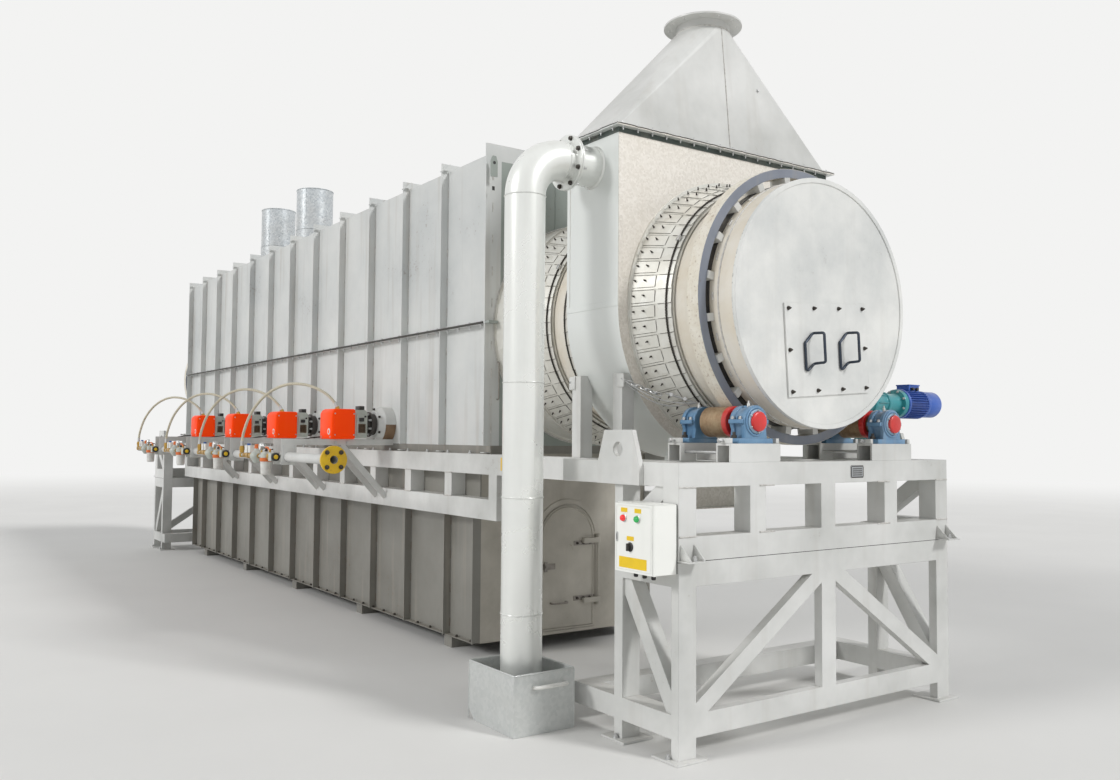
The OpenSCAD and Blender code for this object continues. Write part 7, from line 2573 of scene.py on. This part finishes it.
@dataclass
class Stands:
    """The two roller stands and the trusses: welds, corner brackets, foot plates, marks and the nameplate."""

    face_x: float = 6.45
    back_x: float = 6.33
    half: float = 1.14
    tube: float = 0.12
    split_z: float = 1.0
    rear_face: float = -4.85

    def brackets(self, shape: Shape, bolts: list[Any]) -> None:
        """Adds the bolted corner brackets at the level where the stands split.

        Args:
            shape: the shape that gets them.
            bolts: the list that gets their bolts.
        """
        for face, way in ((self.face_x, 1), (self.rear_face, -1)):
            for side in (-1, 1):
                y = side * (self.half - 0.06)
                low = self.split_z + 0.0005
                a, b = sorted((face + way * 0.0005, face + way * 0.09))
                shape.use(0).box((a, y - 0.06, low), (b, y + 0.06, low + 0.008))
                for rib in (-0.05, 0.042):
                    outline = [(face + way * 0.0005, low + 0.008), (face + way * 0.082, low + 0.008),
                               (face + way * 0.0005, low + 0.085)]
                    shape.prism([(z, x) for x, z in outline], Axis.Y, y + rib, y + rib + 0.008)
                bolts.append(((face + way * 0.055, y, low + 0.0085), (0, 0, 1)))

    def split_lines(self, shape: Shape) -> None:
        """Adds a thin dark strip where the upper part of each stand rests on the lower part: painted shade,
        for the shadow in the gap there.

        Args:
            shape: the shape that gets them.
        """
        low, high, proud = self.split_z - 0.004, self.split_z - 0.0005, 0.0007
        for face, way in ((self.face_x, 1), (self.rear_face, -1)):
            a, b = sorted((face + way * proud, face - way * (self.tube + proud)))
            shape.use(1).box((a, -self.half - proud, low), (b, self.half + proud, high))
            a, b = sorted((face - way * self.tube, face - way * 0.515))
            for side in (-1, 1):
                c, d = sorted((side * (self.half + proud), side * (self.half - self.tube - proud)))
                shape.box((a, c, low), (b, d, high))

    def plates(self, shape: Shape, bolts: list[Any]) -> None:
        """Adds the foot plates with their anchor bolts.

        Args:
            shape: the shape that gets them.
            bolts: the list that gets their bolts.
        """
        for x in (6.39, 5.965, -4.79, -4.365):
            for side in (-1, 1):
                y = side * (self.half - 0.06)
                shape.use(0).box((x - 0.08, y - 0.09, 0.0), (x + 0.08, y + 0.09, 0.010))
                bolts.append(((x, y + side * 0.076, 0.0105), (0, 0, 1)))

    def nameplate(self) -> None:
        """Adds the bare plate with its dark frame on the front beam, and its four rivets."""
        shape = Shape()
        x, y, z = self.face_x, 0.256, 1.437
        shape.use(0).prism(rounded((y - 0.058, z - 0.036), (y + 0.058, z + 0.036), [0.006] * 4), Axis.X,
                           x + 0.0003, x + 0.0016)
        shape.use(1).prism(rounded((y - 0.051, z - 0.029), (y + 0.051, z + 0.029), [0.004] * 4), Axis.X,
                           x + 0.0016, x + 0.0022)
        for i in range(4):
            low = z + 0.014 - 0.012 * i
            shape.use(0).box((x + 0.0021, y - 0.042, low), (x + 0.0026, y + 0.042, low + 0.005))
        for dy in (-0.054, 0.054):
            for dz in (-0.031, 0.031):
                shape.use(2).rod((x + 0.001, y + dy, z + dz), (x + 0.0032, y + dy, z + dz), 0.0028, 10,
                                 0.0018)
        piece("bare_nameplate", shape, [BLACK_PAINT, ALUMINIUM, PLATED])

    def marks(self) -> None:
        """Adds the paint marks of the fitters on the truss chords."""
        shape = Shape()
        for x, z in ((4.36, 1.44), (5.62, 1.45)):
            shape.box((x - 0.009, -0.9115, z - 0.05), (x + 0.009, -0.9098, z + 0.04))
        piece("fitters_paint_marks", shape, [YELLOW])

    def welds(self, patterns: Patterns) -> None:
        """Welds round the ends of the posts, beams and truss posts."""
        lines = []
        for face in (self.face_x, self.back_x, self.rear_face, self.rear_face + self.tube):
            x = face + (0.0008 if face in (self.face_x, self.rear_face + self.tube) else -0.0008)
            for z in (1.375, 1.125):
                for y in (-1.08, -0.5, 0.5, 1.08):
                    lines.append([(x, y - 0.058 + 0.116 * i / 9, z) for i in range(10)])
        for side in (-1, 1):
            y = side * 0.9108
            for k in range(12):
                x = 3.59 - 0.685 * k
                for z in (1.18, 1.355):
                    lines.append([(x - 0.055 + 0.11 * i / 9, y, z) for i in range(10)])
        patterns.weld("frame_joint_welds", lines, WELD, (5, 12), Slot.PAINT)

    def build(self, patterns: Patterns) -> None:
        """Makes what the stands and trusses carry."""
        shape, bolts = Shape(), []
        self.brackets(shape, bolts)
        self.split_lines(shape)
        self.plates(shape, bolts)
        piece("stand_brackets", shape, [IVORY, RUBBER], bevel_mm=1)
        self.nameplate()
        self.marks()
        self.welds(patterns)
        patterns.bolt("stand_bolts", bolts, PLATED, (24, 13, 34, 8, 8), Slot.PAINT)
        feet = [((-4.0 + 0.342 * k, side * 0.88, 1.5005), (0, 0, 1)) for k in range(24) for side in (-1, 1)]
        patterns.bolt("furnace_foot_bolts", feet, PLATED, (20, 10, 28, 8, 6), Slot.PAINT)


@dataclass
class ControlBox:
    """The control box: lamps, switch, handle and blank labels on its door, and the glands under it."""

    face_y: float = -1.3035
    back_y: float = -1.14
    x0: float = 6.14
    x1: float = 6.44
    z0: float = 0.94
    z1: float = 1.29

    def lamps(self, door: Shape) -> None:
        """Adds the two lamps with their bezels and the blank label over each."""
        y, z = self.face_y, self.z0 + 0.275
        for mark, x in ((1, self.x0 + 0.075), (2, self.x0 + 0.185)):
            door.use(0).turned([(0.001, 0.0), (0.001, 0.021), (-0.004, 0.021), (-0.006, 0.018),
                                (-0.006, 0.0)], Axis.Y, (x, y, z), 28)
            door.use(mark).turned([(-0.005, 0.0), (-0.005, 0.017), (-0.014, 0.017), (-0.02, 0.013),
                                   (-0.023, 0.007), (-0.0235, 0.0)], Axis.Y, (x, y, z), 28)
            door.use(3).box((x - 0.026, y - 0.0012, z + 0.03), (x + 0.026, y + 0.0002, z + 0.052))

    def build(self, patterns: Patterns) -> None:
        """Makes the door's fittings, which swing with it, and the box's gasket and glands."""
        door, box = Shape(), Shape()
        self.lamps(door)
        x0, y, z0 = self.x0, self.face_y, self.z0
        knob_x, knob_z = x0 + 0.125, z0 + 0.13
        door.use(4).turned([(0.001, 0.0), (0.001, 0.024), (-0.004, 0.024), (-0.006, 0.021), (-0.006, 0.0)],
                           Axis.Y, (knob_x, y, knob_z), 30)
        door.box((knob_x - 0.006, y - 0.024, knob_z - 0.019), (knob_x + 0.006, y - 0.005, knob_z + 0.019))
        door.use(3).box((knob_x - 0.028, y - 0.0012, knob_z + 0.032),
                        (knob_x + 0.028, y + 0.0002, knob_z + 0.054))
        door.box((x0 + 0.035, y - 0.0012, z0 + 0.022), (x0 + 0.255, y + 0.0002, z0 + 0.077))
        door.use(0).prism(rounded((z0 + 0.15, x0 + 0.012), (z0 + 0.2, x0 + 0.026), [0.006] * 4), Axis.Y,
                          y - 0.004, y + 0.001)
        door.use(4).box((x0 + 0.017, y - 0.0046, z0 + 0.16), (x0 + 0.021, y - 0.0035, z0 + 0.19))
        rim = [(x, y - 0.0002, z) for x, z in ((x0 + 0.012, z0 + 0.012), (self.x1 - 0.012, z0 + 0.012),
                                               (self.x1 - 0.012, self.z1 - 0.012),
                                               (x0 + 0.012, self.z1 - 0.012))]
        door.use(5).tube(bent(rim, 0.012, 4, closed=True), 0.0016, 6, closed=True)
        piece("control_box_door_fittings", door, [PLATED, RED_LENS, GREEN_LENS, LABEL, BLACK_PAINT,
                                                  BOX_WHITE], "control_box_door")
        for x in (x0 + 0.07, x0 + 0.14, x0 + 0.21):
            box.use(0).turned([(-0.001, 0.0), (-0.001, 0.015), (-0.01, 0.015), (-0.012, 0.012),
                               (-0.03, 0.012), (-0.034, 0.008), (-0.034, 0.0)], Axis.Z, (x, -1.22, z0), 20)
        box.box((x0 + 0.0005, self.back_y - 0.006, z0 + 0.001),
                (self.x1 + 0.0006, self.back_y - 0.0005, self.z1 + 0.0008))
        box.use(1).box((x0 - 0.002, y + 0.02, self.z1 + 0.0003),
                       (self.x1 - 0.004, self.back_y - 0.008, self.z1 + 0.004))
        piece("control_box_glands", box, [RUBBER, BOX_WHITE])


FINISHED_NODES: tuple[tuple[Finish, str], ...] = (
    (IVORY, "stand_face_frames stand_side_frames stand_cross_beams lifting_plates side_trusses "
            "gas_transition gas_outlet hood_posts burner_brackets gas_manifold bearing_pedestals "
            "tyre_spacers"),
    (UNDERFRAME, "sleepers base_side_walls base_rear_wall furnace_floor"),
    (FRONT_WALL, "base_front_wall inspection_door"),
    (PANEL, "furnace_lower_left_wall furnace_lower_right_wall furnace_upper_side_walls furnace_roof"),
    (END_WALL, "furnace_lower_end_walls furnace_upper_end_walls"),
    (STACK_ZINC, "roof_stacks"),
    (HOOD_ZINC, "hood_casing hood_end_plates discharge_spout"),
    (LEAF_STEEL, "drum_seals furnace_seals"),
    (PIPE, "vent_elbow vent_pipe"),
    (TANK_ZINC, "water_tank"),
    (DIE_CAST, "burner_bodies gas_trains"),
    (COVER_RED, "burner_covers"),
    (HOSE, "burner_hoses"),
    (BOX_WHITE, "control_box control_box_door"),
    (BLOCK_BLUE, "bearing_blocks"),
    (TEAL, "gear_reducer"),
    (MOTOR_BLUE, "drive_motor"),
    (SHELL, "drum_shell"),
    (DISC, "drum_front_plate access_cover_plate drum_rear_plate"),
    (RING_STEEL, "riding_rings"),
    (ROLLER_STEEL, "front_left_roller front_right_roller rear_left_roller rear_right_roller"),
)
NODE_FINISHES = {name: finish for finish, names in FINISHED_NODES for name in names.split()}


def finish_frame() -> None:
    """Gives every carried-over node its finish."""
    for name, obj in NODES.items():
        finish = NODE_FINISHES[name].material()
        if not obj.data.materials:
            obj.data.materials.append(finish)
        for i in range(len(obj.data.materials)):
            obj.data.materials[i] = finish




ASSEMBLIES: list[Any] = [DrumEnd(), RidingRings(), Seals(), Hood(), VentLine(), Tank(), Bearings(), Rollers(),
                         Pedestals(), Drive(), Burners(), GasLine(), Furnace(), BaseCasing(), Stands(),
                         ControlBox()]




def main() -> None:
    """Builds the scene: studio and hoses first, then the finishes and each sub-assembly's own pieces."""
    logging.basicConfig(level=logging.INFO, format="%(name)s: %(message)s")
    bpy.context.scene.view_settings.view_transform = "Standard"
    Studio().build()
    Hoses().build()
    finish_frame()
    patterns = Patterns()
    for assembly in ASSEMBLIES:
        assembly.build(patterns)
        log.info("%s is dressed", type(assembly).__name__)


if __name__ == "__main__":
    main()
